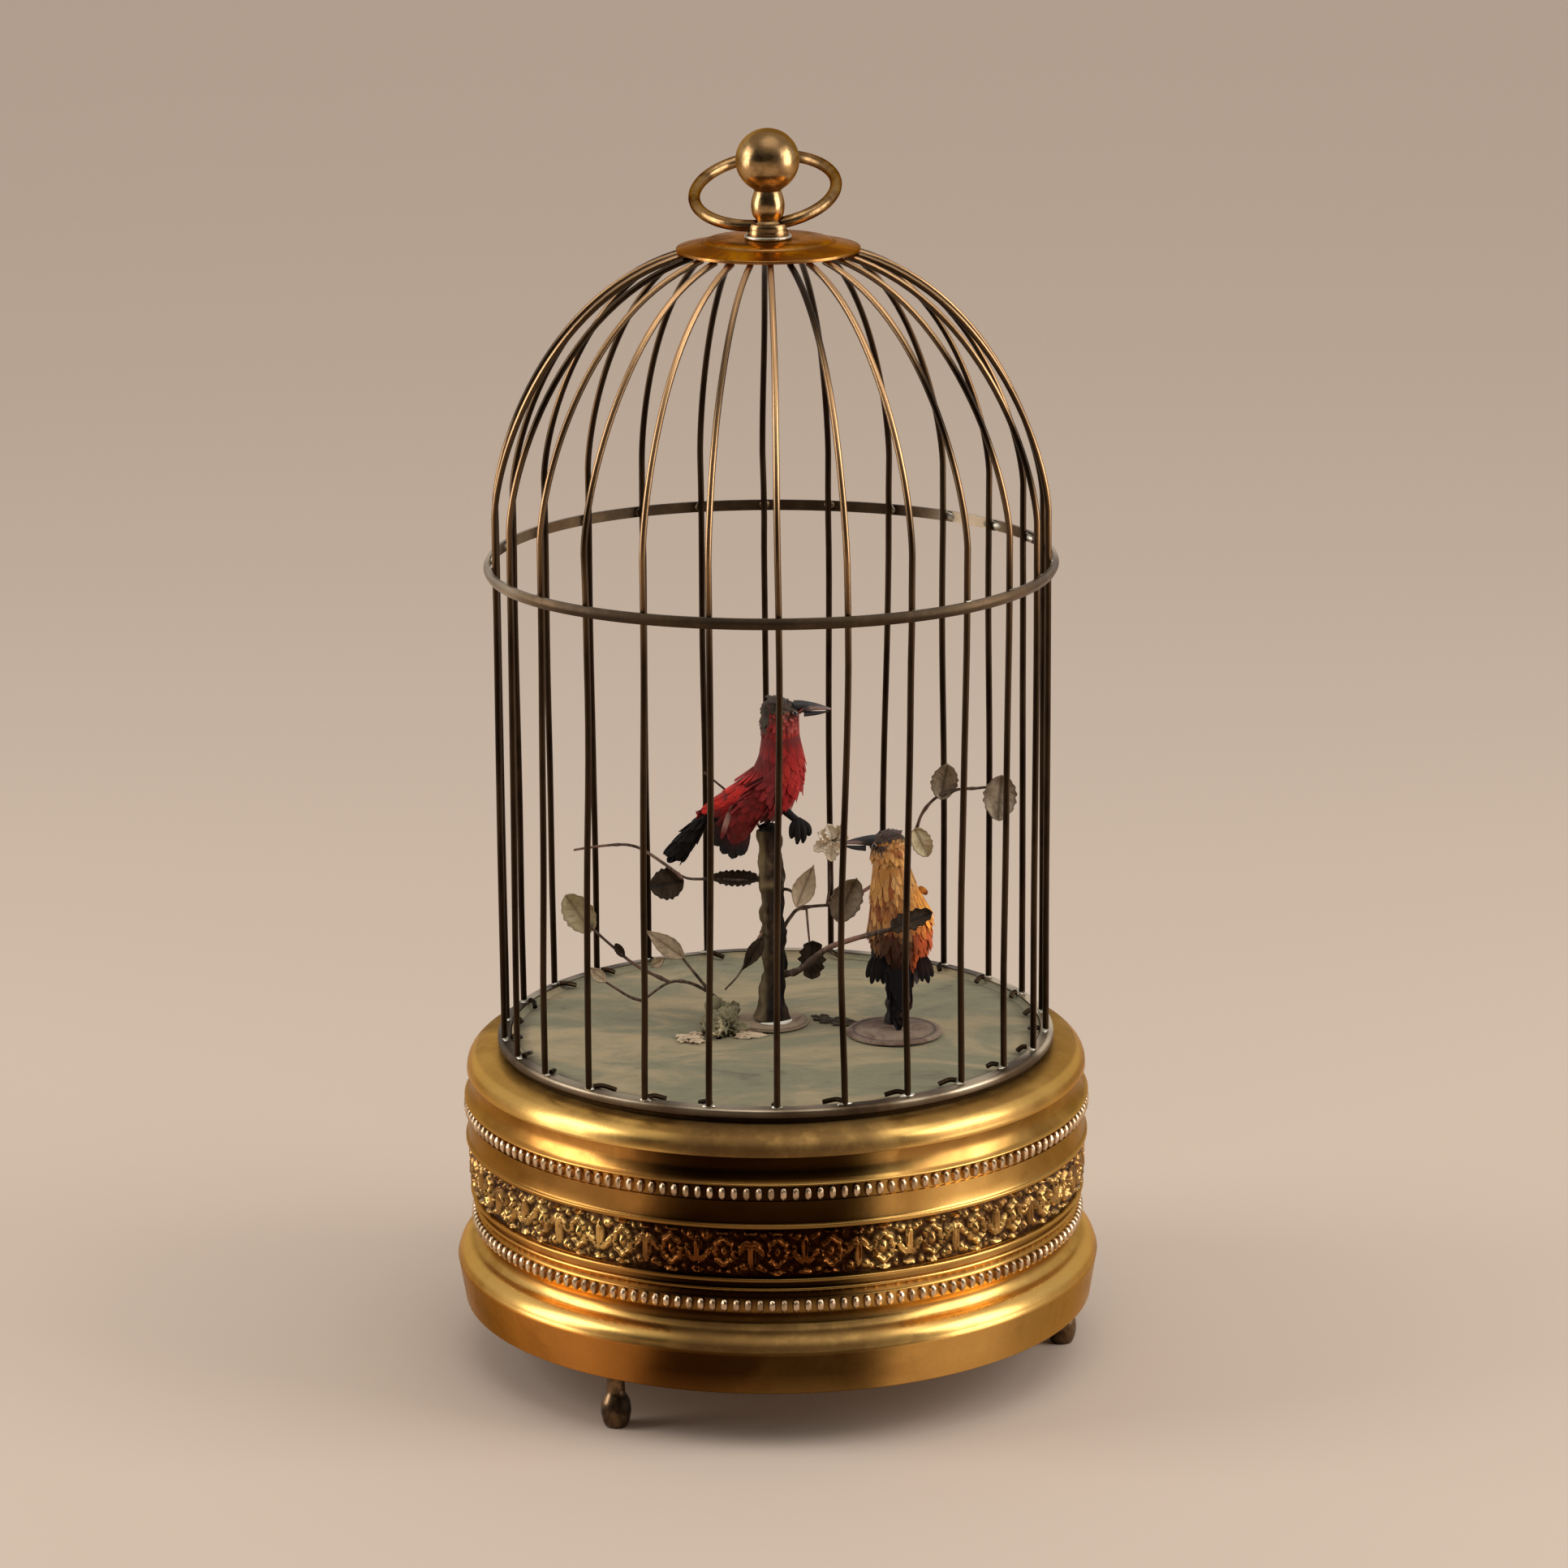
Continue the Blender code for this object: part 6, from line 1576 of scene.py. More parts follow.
GREY_LEAF = Blade("grey_leaf_cloth", Slot.LEAF, (0.205, 0.150, 0.098), (0.335, 0.262, 0.178),
                  (0.070, 0.050, 0.033))
PALE_LEAF = Blade("pale_leaf_cloth", Slot.LEAF, (0.42, 0.33, 0.18), (0.54, 0.44, 0.27), (0.20, 0.15, 0.08))
DRY_LEAF = Blade("dry_leaf_cloth", Slot.LEAF, (0.42, 0.305, 0.195), (0.54, 0.41, 0.27),
                 (0.20, 0.135, 0.085))
MOSS = Blade("dry_moss", Slot.LEAF, (0.155, 0.130, 0.068), (0.25, 0.21, 0.125), (0.07, 0.052, 0.03))
CREAM_PETAL = Blade("cream_petal", Slot.LEAF, (0.94, 0.80, 0.60), (0.96, 0.87, 0.72), (0.58, 0.43, 0.28))
DARK_MOSS = Blade("dark_moss", Slot.LEAF, (0.045, 0.032, 0.022), (0.09, 0.065, 0.045), (0.02, 0.014, 0.010))
RED_PLUMES = Plumage("crimson_plumes", Slot.CRIMSON)
ORANGE_PLUMES = Plumage("orange_plumes", Slot.ORANGE)
BLACK_PLUMES = Plumage("black_plumes", Slot.BLACK, roughness=0.60, sheen=0.0, gloss=0.07)
BEAK_HORN = Horn("beak_horn", Slot.HORN, (0.018, 0.016, 0.016), (0.34, 0.22, 0.20))
CLAW_HORN = Horn("claw_horn", Slot.HORN, (0.006, 0.005, 0.005), (0.030, 0.022, 0.020), roughness=0.60,
                 gloss=0.12)
EYE_GLASS = Glass("eye_glass", Slot.HORN, (0.10, 0.03, 0.01))


def sighted(x: float, z: float, depth: float, measured: float = 5.0) -> Vector:
    """Move a place along the camera's sight line to another depth.

    Args:
        x: across, in millimetres, read at the measured depth.
        z: height, in millimetres, read at the measured depth.
        depth: the new y, in millimetres.
        measured: the y that x and z were read at.

    Returns:
        The place, in metres.
    """
    share = (depth - CAMERA_PLACE[1]) / (measured - CAMERA_PLACE[1])
    return Vector((x * share, depth, CAMERA_PLACE[2] + (z - CAMERA_PLACE[2]) * share)) * MM


class LeafShape(Enum):
    """How a leaf's side runs from stalk to tip."""

    ROUND = "round"
    POINTED = "pointed"
    RAGGED = "ragged"


@dataclass
class Sprig:
    """Collects twigs, leaves and petals of a plant and makes one piece of each finish.

    Their places are vectors in metres, or (x, z, depth) rows that are sighted from the camera.
    """

    shop: Workshop
    name: str
    seed: int
    measured: float = 5.0                # the depth that the rows' x and z were read at
    meshes: dict = field(default_factory=dict)

    def __post_init__(self) -> None:
        """Start the plant's own random draws."""
        self.draw = random.Random(self.seed)

    def spot(self, place: Vector | Point) -> Vector:
        """A place in metres."""
        return place if isinstance(place, Vector) else sighted(*place, self.measured)

    def mesh(self, finish: object) -> bmesh.types.BMesh:
        """The mesh that collects what has a finish."""
        if finish.name not in self.meshes:
            bm = bmesh.new()
            bm.verts.layers.float.new("grime")
            bm.verts.layers.float.new("wear")
            self.meshes[finish.name] = (finish, bm)
        return self.meshes[finish.name][1]

    def twig(self, points: list[Vector | Point], radius: float = 0.42, knots: int = 3) -> None:
        """A wrapped wire stem through some points.

        Args:
            points: what it passes through.
            radius: its radius at the start.
            knots: how many small swellings it has.
        """
        bm = self.mesh(TWIG_WRAP)
        route = smooth_route([self.spot(point) for point in points], 7)
        places = [self.draw.random() for _ in range(knots)]
        sizes = []
        for index in range(len(route)):
            share = index / (len(route) - 1)
            swell = sum(math.exp(-((share - place) / 0.02) ** 2) for place in places)
            half = radius * (1 - 0.35 * share) * (1 + 0.35 * swell) * MM
            sizes.append((half, half))
        verts = sweep(bm, route, sizes, 7)
        wear = bm.verts.layers.float["wear"]
        tone = self.draw.random()
        for vert in verts:
            vert[wear] = 0.5 * eased(noise.noise(vert.co * 90.0 + Vector((tone * 9, 0, 0))), 0.05, 0.45)

    def leaf(self, finish: Blade, base: Vector | Point, tip: Vector | Point, width: float,
             shape: LeafShape, facing: Point = (0.1, -1.0, 0.2), cup: float = 0.12, teeth: int = 6) -> None:
        """A thin veined leaf.

        Args:
            finish: the leaf's finish.
            base: where it joins its stalk.
            tip: its far end.
            width: its widest.
            shape: how its sides run.
            facing: which way its face looks.
            cup: how far its sides curl forward, as a share of its width.
            teeth: notches on each side.
        """
        bm = self.mesh(finish)
        blade = bmesh.new()
        bmesh.ops.create_grid(blade, x_segments=10, y_segments=22, size=1.0)
        grime = blade.verts.layers.float.new("grime")
        blade.verts.layers.float.new("wear")
        base, tip = self.spot(base), self.spot(tip)
        along = tip - base
        across = Vector(facing).cross(along).normalized()
        normal = along.cross(across).normalized()
        offset = self.draw.random() * 40
        for vert in blade.verts:
            u, share = vert.co.x, (vert.co.y + 1) / 2
            half = self.side(shape, share, teeth) * width / 2 * MM
            vein = abs(math.sin((share * 5.2 - abs(u) * 1.4) * math.pi))
            vert[grime] = max(0.85 * math.exp(-(u / 0.11) ** 2), 0.55 * eased(vein, 0.35, 0.0),
                              0.6 * eased(abs(u), 0.86, 1.0))
            crinkle = 0.07 * noise.noise(Vector((u * 1.4, share * 2.4, offset)))
            lift = (cup * u * u + crinkle + 0.02 * vein) * width * MM
            lift += 0.10 * along.length * math.sin(math.pi * share * 0.9 + offset)
            vert.co = base + along * share + across * (u * half) + normal * lift
        bmesh.ops.remove_doubles(blade, verts=blade.verts, dist=0.00002)
        bmesh.ops.recalc_face_normals(blade, faces=blade.faces)
        bmesh.ops.solidify(blade, geom=blade.faces, thickness=0.00022)
        spare = stored(blade, "leaf")
        bm.from_mesh(spare)
        bpy.data.meshes.remove(spare)

    def side(self, shape: LeafShape, share: float, teeth: int) -> float:
        """Half width of a leaf at a share of its length, as a share of its widest."""
        fullness, blunt = {LeafShape.POINTED: (0.78, 1.05), LeafShape.RAGGED: (0.9, 0.45),
                           LeafShape.ROUND: (0.95, 0.55)}[shape]
        half = math.sin(math.pi * share ** fullness) ** blunt
        notch = abs((share * teeth) % 1.0 - 0.5) * 2
        depth = {LeafShape.ROUND: 0.14, LeafShape.POINTED: 0.07, LeafShape.RAGGED: 0.30}[shape]
        return max(half * (1 - depth * notch), 0.02)

    def blossom(self, middle: Vector, radius: float, petals: int) -> None:
        """A small flower of cupped petals round a dark knob.

        Args:
            middle: its middle, in metres.
            radius: its reach.
            petals: how many petals it has.
        """
        for number in range(petals):
            angle = 2 * math.pi * number / petals + self.draw.uniform(-0.15, 0.15)
            out = Vector((math.cos(angle), -0.35, math.sin(angle)))
            reach = radius * self.draw.uniform(0.85, 1.1) * MM
            self.leaf(CREAM_PETAL, middle + out * 0.0006, middle + out * reach, radius * 0.80,
                      LeafShape.RAGGED, facing=(0.0, -1.0, 0.6), cup=0.2, teeth=4)
        bm = self.mesh(MOSS)
        for _ in range(7):
            spot = middle + Vector((self.draw.uniform(-1, 1), -1.2, self.draw.uniform(-1, 1))) * 0.0007
            bmesh.ops.create_icosphere(bm, subdivisions=1, radius=0.00045, matrix=Matrix.Translation(spot))

    def clump(self, finish: Blade, middle: Vector, half: tuple[float, float, float]) -> None:
        """A crumpled lump on the floor, all sizes in metres."""
        bm = self.mesh(finish)
        size = Matrix.Translation(middle) @ Matrix.Diagonal((*half, 1.0))
        lump = bmesh.ops.create_icosphere(bm, subdivisions=5, radius=1.0, matrix=size)["verts"]
        grime = bm.verts.layers.float["grime"]
        for vert in lump:
            out = (vert.co - middle).normalized()
            coarse = noise.noise(vert.co * 320.0)
            fine = noise.noise(vert.co * 1300.0)
            vert.co += out * Vector(half) * (0.75 * coarse + 0.35 * fine)
            vert.co.z = max(vert.co.z, middle.z - 0.0001)
            vert[grime] = eased(-coarse - 0.6 * fine, 0.0, 0.5)

    def tuft(self, finish: Blade, middle: Vector, radius: float, height: float, blades: int) -> None:
        """A tuft of short dry blades, or moss.

        Args:
            finish: the blades' finish.
            middle: the tuft's middle on the floor, in metres.
            radius: its reach.
            height: how tall it is.
            blades: how many blades it has.
        """
        bm = self.mesh(finish)
        for _ in range(blades):
            out = heading(self.draw.uniform(0, 2 * math.pi))
            reach = radius * math.sqrt(self.draw.random()) * MM
            root = middle + out * reach * 0.6
            top = middle + out * reach
            top.z += height * self.draw.uniform(0.4, 1.0) * MM
            route = [root, root.lerp(top, 0.5) + Vector((0, 0, 0.0004)), top]
            sweep(bm, route, [(0.00035, 0.00022), (0.00035, 0.00018), (0.0001, 0.0001)], 4)

    def finish(self, node: str) -> None:
        """Make the pieces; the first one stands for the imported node."""
        nodes = (node,)
        for finish, bm in self.meshes.values():
            self.shop.piece(f"{self.name}_{finish.name}", settle(bm), finish, replaces=nodes, crease=60.0)
            nodes = ()


@dataclass
class Tree:
    """The trunk under the red bird with its wired twigs, leaves and flower."""

    radius: float = 2.6
    flare: float = 1.7
    foot: float = 75.6
    height: float = 44.0
    rings: int = 130
    sides: int = 40
    knots: tuple = ((0.735, 0.03, 0.45), (0.46, 0.025, 0.3))     # place, reach, how far they swell

    def build(self, shop: Workshop) -> None:
        """Build the trunk, then what grows on it."""
        self.add_trunk(shop)
        self.add_growth(shop)

    def bend(self, share: float) -> Vector:
        """The trunk's middle line at a share of its height."""
        sway = 0.6 * math.sin(3.1 * share + 0.4)
        return Vector((-1.0 + sway, 5.0 - sway / 2, self.foot + self.height * share))

    def beside(self, share: float, x: float, y: float = 0.0) -> Vector:
        """A place beside the middle line, in metres."""
        return (self.bend(share) + Vector((x, y, 0.0))) * MM

    def share_at(self, co: Vector) -> float:
        """The share of the trunk's height that a place in metres lies at."""
        return (co.z / MM - self.foot) / self.height

    def left_of(self, co: Vector) -> float:
        """How far a place in metres lies left of the middle line."""
        return self.bend(self.share_at(co)).x - co.x / MM

    def add_trunk(self, shop: Workshop) -> None:
        """The trunk: ridged bark, knots, a spread foot and a rough top."""
        shares = [step / self.rings for step in range(self.rings + 1)]
        sizes = []
        for share in shares:
            swell = sum(more * math.exp(-((share - place) / reach) ** 2) for place, reach, more in self.knots)
            half = self.radius + 0.16 * math.sin(17 * share) + swell + self.flare * math.exp(-share * 16)
            half *= 0.96
            sizes.append((half * MM, half * 0.94 * MM))
        bm = bmesh.new()
        route = [self.bend(share) * MM for share in shares]
        for vert in sweep(bm, route, sizes, self.sides, across=Vector((1, 0, 0))):
            share = self.share_at(vert.co)
            out = vert.co - self.bend(share) * MM
            out.z = 0.0
            around = out.normalized()
            ridge = noise.noise(Vector((around.x * 2.6, around.y * 2.6, share * 7.5)))
            pit = noise.noise(vert.co * 620.0)
            lump = noise.noise(vert.co * 260.0)
            vert.co += around * (0.60 * ridge + 0.85 * lump + 0.35 * pit) * MM
        # Grime holds dark streaks with painted shade; wear holds pale marks with painted light on the left
        # side.
        paint_points(bm, "grime", self.dark_streaks_and_shade)
        paint_points(bm, "wear", self.pale_marks_and_light)
        shop.piece("bark_trunk", settle(bm), TRUNK_BARK)

    def dark_streaks_and_shade(self, co: Vector) -> float:
        """The darker streaks of the bark, deepest low on the trunk, with painted shade: they are kept off the
        lit left edge and darken the rest.
        """
        streak = noise.noise(Vector((co.x * 420.0, co.y * 420.0, co.z * 34.0)))
        low = eased(co.z / MM, 100.0, 82.0)
        return eased(streak + 0.25 * low, -0.45, 0.15) * 0.97 * eased(self.left_of(co), 2.0, 0.7)

    def pale_marks_and_light(self, co: Vector) -> float:
        """A pale band at the main knot, and painted light on the trunk's left side: an olive patch below the
        perch and pale streaks.
        """
        height = co.z / MM
        left = self.left_of(co)
        band = math.exp(-((height - 107.4) / 1.0) ** 2)
        streak = 0.5 + 0.5 * noise.noise(Vector((co.x * 500.0, co.y * 500.0, co.z * 60.0)))
        strip = eased(left, 0.7, 1.9) * streak
        patch = math.exp(-((height - 114.5) / 4.2) ** 2) * eased(left, 0.3, 1.6)
        return min(0.8 * band + 0.8 * patch + 0.9 * strip, 1.0)

    def add_growth(self, shop: Workshop) -> None:
        """Twigs, leaves and the flower, each where the photograph shows it."""
        sprig = Sprig(shop, "tree", 3)
        twig, leaf = sprig.twig, sprig.leaf
        twig([self.beside(0.735, -2.0), (-8.0, 107.9, 4.6), (-13.6, 108.3, 4.5), (-19.0, 108.4, 4.0),
              (-21.6, 109.4, 3.8)])
        twig([(-20.8, 108.6, 3.9), (-22.9, 110.5, 3.6), (-28.9, 114.9, 3.5), (-32.5, 116.4, 3.5),
              (-36.5, 116.5, 3.5), (-42.0, 115.9, 3.5), (-45.2, 115.4, 3.5)], radius=0.40)
        leaf(DARK_LEAF, (-20.4, 108.0, 3.9), (-28.2, 106.6, 3.2), 7.8, LeafShape.ROUND)
        leaf(DARK_LEAF, (-3.6, 108.2, 4.2), (-14.2, 108.5, 4.0), 4.4, LeafShape.RAGGED,
             facing=(0.0, -0.9, 0.5), cup=0.3, teeth=8)
        twig([self.beside(0.69, 2.0, -0.4), (3.6, 105.4, 4.0), (5.6, 103.0, 4.0)])
        twig([self.beside(0.40, 2.0), (2.0, 96.4, 4.2), (3.6, 99.2, 4.2), (5.8, 101.2, 4.2),
              (11.9, 101.9, 4.5), (14.6, 101.6, 5.0)], radius=0.5)
        leaf(DRY_LEAF, (4.9, 101.8, 3.8), (9.0, 111.2, 4.0), 5.4, LeafShape.POINTED)
        twig([(7.2, 101.5, 4.2), (7.6, 96.0, 3.8), (7.9, 92.6, 3.4)], radius=0.3, knots=1)
        leaf(GREY_LEAF, (14.2, 98.6, 5.0), (18.6, 108.0, 3.6), 7.6, LeafShape.ROUND)
        twig([(11.9, 101.9, 4.5), (16.5, 103.4, 8.6), (21.5, 106.0, 11.6), (28.0, 111.5, 12.4),
              (31.6, 117.9, 11.6), (33.4, 123.0, 11.0), (36.6, 126.8, 10.5), (41.2, 128.6, 10.2),
              (45.6, 128.9, 9.8), (50.2, 129.4, 9.0)], radius=0.45, knots=6)
        leaf(GREY_LEAF, (37.8, 126.6, 10.0), (39.2, 134.6, 9.6), 6.4, LeafShape.ROUND)
        leaf(GREY_LEAF, (51.4, 132.0, 8.6), (50.6, 121.4, 8.2), 8.2, LeafShape.ROUND)
        leaf(PALE_LEAF, (31.8, 119.8, 10.6), (34.6, 113.2, 10.2), 5.2, LeafShape.ROUND)
        twig([(11.9, 101.9, 4.6), (12.6, 108.0, 7.6), (12.0, 115.6, 9.8)], radius=0.35)
        sprig.blossom(sprig.spot((13.3, 117.3, 9.6)), 4.5, 7)
        twig([self.beside(0.235, 2.0, -0.6), (5.4, 86.6, 2.0), (11.4, 91.4, -1.0), (17.1, 93.6, -5.4),
              (21.8, 94.9, -6.9), (28.0, 96.4, -7.2)], radius=0.78, knots=5)
        leaf(DARK_LEAF, (26.6, 95.8, -7.4), (35.6, 100.2, -7.2), 5.6, LeafShape.RAGGED,
             facing=(0.0, -0.8, 0.6), teeth=5)
        leaf(DARK_LEAF, (8.6, 93.6, 2.6), (8.2, 84.6, 1.8), 6.8, LeafShape.RAGGED, teeth=5)
        leaf(DARK_LEAF, (-2.6, 94.8, 2.0), (-7.4, 86.8, 1.6), 3.6, LeafShape.POINTED)
        twig([self.beside(0.44, -2.2), (-3.6, 94.6, 2.2), (-8.0, 86.2, 1.8), (-11.4, 82.2, 2.4)], radius=0.32,
             knots=2)
        twig([self.beside(0.93, 0.0, 2.2), (-6.5, 125.2, 13.0), (-10.7, 129.0, 13.6), (-15.6, 133.2, 14.0)],
             radius=0.35, knots=1)
        sprig.finish("tree_trunk")


@dataclass
class Shrub:
    """The low plant beside the trunk, with its moss."""

    far: float = 10.0            # the depth that it stands at
    clumps: tuple = ((MOSS, (-11.7, -1.2), (4.2, 5.2, 4.2)), (MOSS, (-12.6, 5.8), (3.4, 4.4, 4.8)),
                     (DRY_LEAF, (-19.0, -6.2), (3.4, 3.8, 0.8)), (DRY_LEAF, (-7.2, -4.0), (3.6, 2.4, 0.7)))

    def build(self, shop: Workshop) -> None:
        """Build its twigs, leaves and moss."""
        far = self.far
        sprig = Sprig(shop, "shrub", 8, far)
        twig, leaf = sprig.twig, sprig.leaf
        hub = (-14.6, 79.8, far)
        twig([(-11.8, 75.4, far), (-12.6, 78.0, far), hub], radius=0.5)
        twig([hub, (-18.6, 85.0, far), (-21.6, 89.0, far)])
        leaf(DRY_LEAF, (-20.8, 88.4, far), (-29.4, 95.0, far), 4.8, LeafShape.POINTED)
        twig([hub, (-19.6, 82.4, far), (-24.4, 82.4, far), (-30.4, 78.2, far)])
        twig([(-24.0, 82.5, far), (-31.6, 86.6, 11.0), (-37.4, 91.6, 11.4), (-42.4, 96.4, 11.4)])
        leaf(PALE_LEAF, (-41.6, 94.8, 11.2), (-47.6, 103.6, 10.8), 7.4, LeafShape.ROUND)
        leaf(DARK_LEAF, (-34.4, 88.6, 11.0), (-36.4, 92.0, 10.8), 2.2, LeafShape.ROUND)
        leaf(DRY_LEAF, (-28.2, 86.4, far), (-25.0, 88.6, far), 2.6, LeafShape.POINTED)
        twig([(-30.4, 78.2, far), (-33.6, 79.4, 9.4), (-39.0, 83.0, 9.2)], radius=0.4)
        leaf(DRY_LEAF, (-38.6, 82.8, 9.2), (-42.6, 86.4, 9.0), 3.0, LeafShape.POINTED)
        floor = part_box("floor_board")[1][2]
        for finish, (x, y), half in self.clumps:
            sprig.clump(finish, Vector((x * MM, y * MM, floor)), [size * MM for size in half])
        leaf(PALE_LEAF, Vector((-0.0145, -0.0010, floor + 0.0032)),
             Vector((-0.0128, -0.0078, floor + 0.0006)), 4.2, LeafShape.RAGGED, facing=(-0.3, -0.6, 1.0),
             cup=0.15)
        sprig.tuft(MOSS, Vector((-0.0122, 0.0040, floor + 0.0006)), 4.2, 4.4, 60)
        sprig.finish("floor_shrub")


@dataclass
class Post:
    """The dark post under the orange bird."""

    steps: int = 24

    def build(self, shop: Workshop) -> None:
        """Build the post on its node's axis."""
        low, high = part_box("bird_post")
        middle = axis_of("bird_post")
        route = [middle + Vector((0, 0, low[2] + (high[2] - low[2]) * step / self.steps))
                 for step in range(self.steps + 1)]
        sizes = [((1.75 + 0.5 * math.exp(-step / 2.5) + 0.2 * math.sin(step * 0.9)) * MM,) * 2
                 for step in range(self.steps + 1)]
        bm = bmesh.new()
        for vert in sweep(bm, route, sizes, 20, across=Vector((1, 0, 0))):
            out = vert.co - middle
            out.z = 0.0
            vert.co += out.normalized() * 0.00022 * noise.noise(vert.co * 500.0)
        shop.piece("dark_post", settle(bm), POST_BARK, replaces=("bird_post",))


class Form:
    """A body part of a bird: elliptic sections along a spine; places are told from its perch."""

    def __init__(self, stations: list[tuple[float, ...]], steps: int = 6) -> None:
        """Smooth the stations.

        Args:
            stations: along, across, up, half depth and half width, from the tail's end to the head's.
            steps: how many sections lie between two stations.
        """
        self.spine = smooth_route([Vector(row[:3]) for row in stations], steps)
        self.halves = smooth_route([Vector((row[3], row[4], 0.0)) for row in stations], steps)

    def surface(self, share: float, turn: float) -> Vector:
        """The place on the skin at a share of the spine and a turn round it.

        Args:
            share: 0 at the tail's end of the spine to 1 at the head's.
            turn: 0 below, in radians.

        Returns:
            The place on the bird.
        """
        last = len(self.spine) - 1
        position = min(max(share, 0.0), 1.0) * last
        index = min(int(position), last - 1)
        part = position - index
        middle = self.spine[index].lerp(self.spine[index + 1], part)
        half = self.halves[index].lerp(self.halves[index + 1], part)
        tangent = (self.spine[min(index + 2, last)] - self.spine[max(index - 1, 0)]).normalized()
        across = Vector((0.0, 1.0, 0.0))
        across = (across - tangent * across.dot(tangent)).normalized()
        return middle + tangent.cross(across) * (half.x * math.cos(turn)) + across * (half.y * math.sin(turn))

    def at(self, share: float, turn: float) -> tuple[Vector, Vector, Vector]:
        """Look up a place on the skin.

        Args:
            share: 0 at the tail's end of the spine to 1 at the head's.
            turn: the turn round the spine, in radians.

        Returns:
            The place, the way out of the skin there, and the way along it towards the tail.
        """
        spot = self.surface(share, turn)
        step = 0.02 if share < 0.5 else -0.02
        along = (self.surface(share + step, turn) - spot) * (1 if step > 0 else -1)
        round_it = self.surface(share, turn + 0.05) - spot
        outward = along.cross(round_it).normalized()
        if outward.dot(spot - self.middle(share)) < 0:
            outward.negate()
        return spot, outward, -along.normalized()

    def middle(self, share: float) -> Vector:
        """The spine's place at a share of its length."""
        return (self.surface(share, 0.0) + self.surface(share, math.pi)) / 2

    def girth(self, share: float) -> float:
        """About how far it is round the skin."""
        half = self.halves[round(min(max(share, 0.0), 1.0) * (len(self.halves) - 1))]
        return math.pi * (half.x + half.y)

    def length(self) -> float:
        """How long the spine is."""
        return sum((after - before).length for before, after in zip(self.spine, self.spine[1:]))


def centred(rows: tuple, base: float = 0.0) -> list[tuple[float, ...]]:
    """Stations on a bird's middle plane, from (along, up, half depth, half width) rows."""
    return [(along, 0.0, base + up, depth, width) for along, up, depth, width in rows]


Tints = tuple[Colour, Colour]


def mixed(first: Colour, second: Colour, share: float) -> Colour:
    """A colour between two others."""
    return tuple(one + (other - one) * share for one, other in zip(first, second))


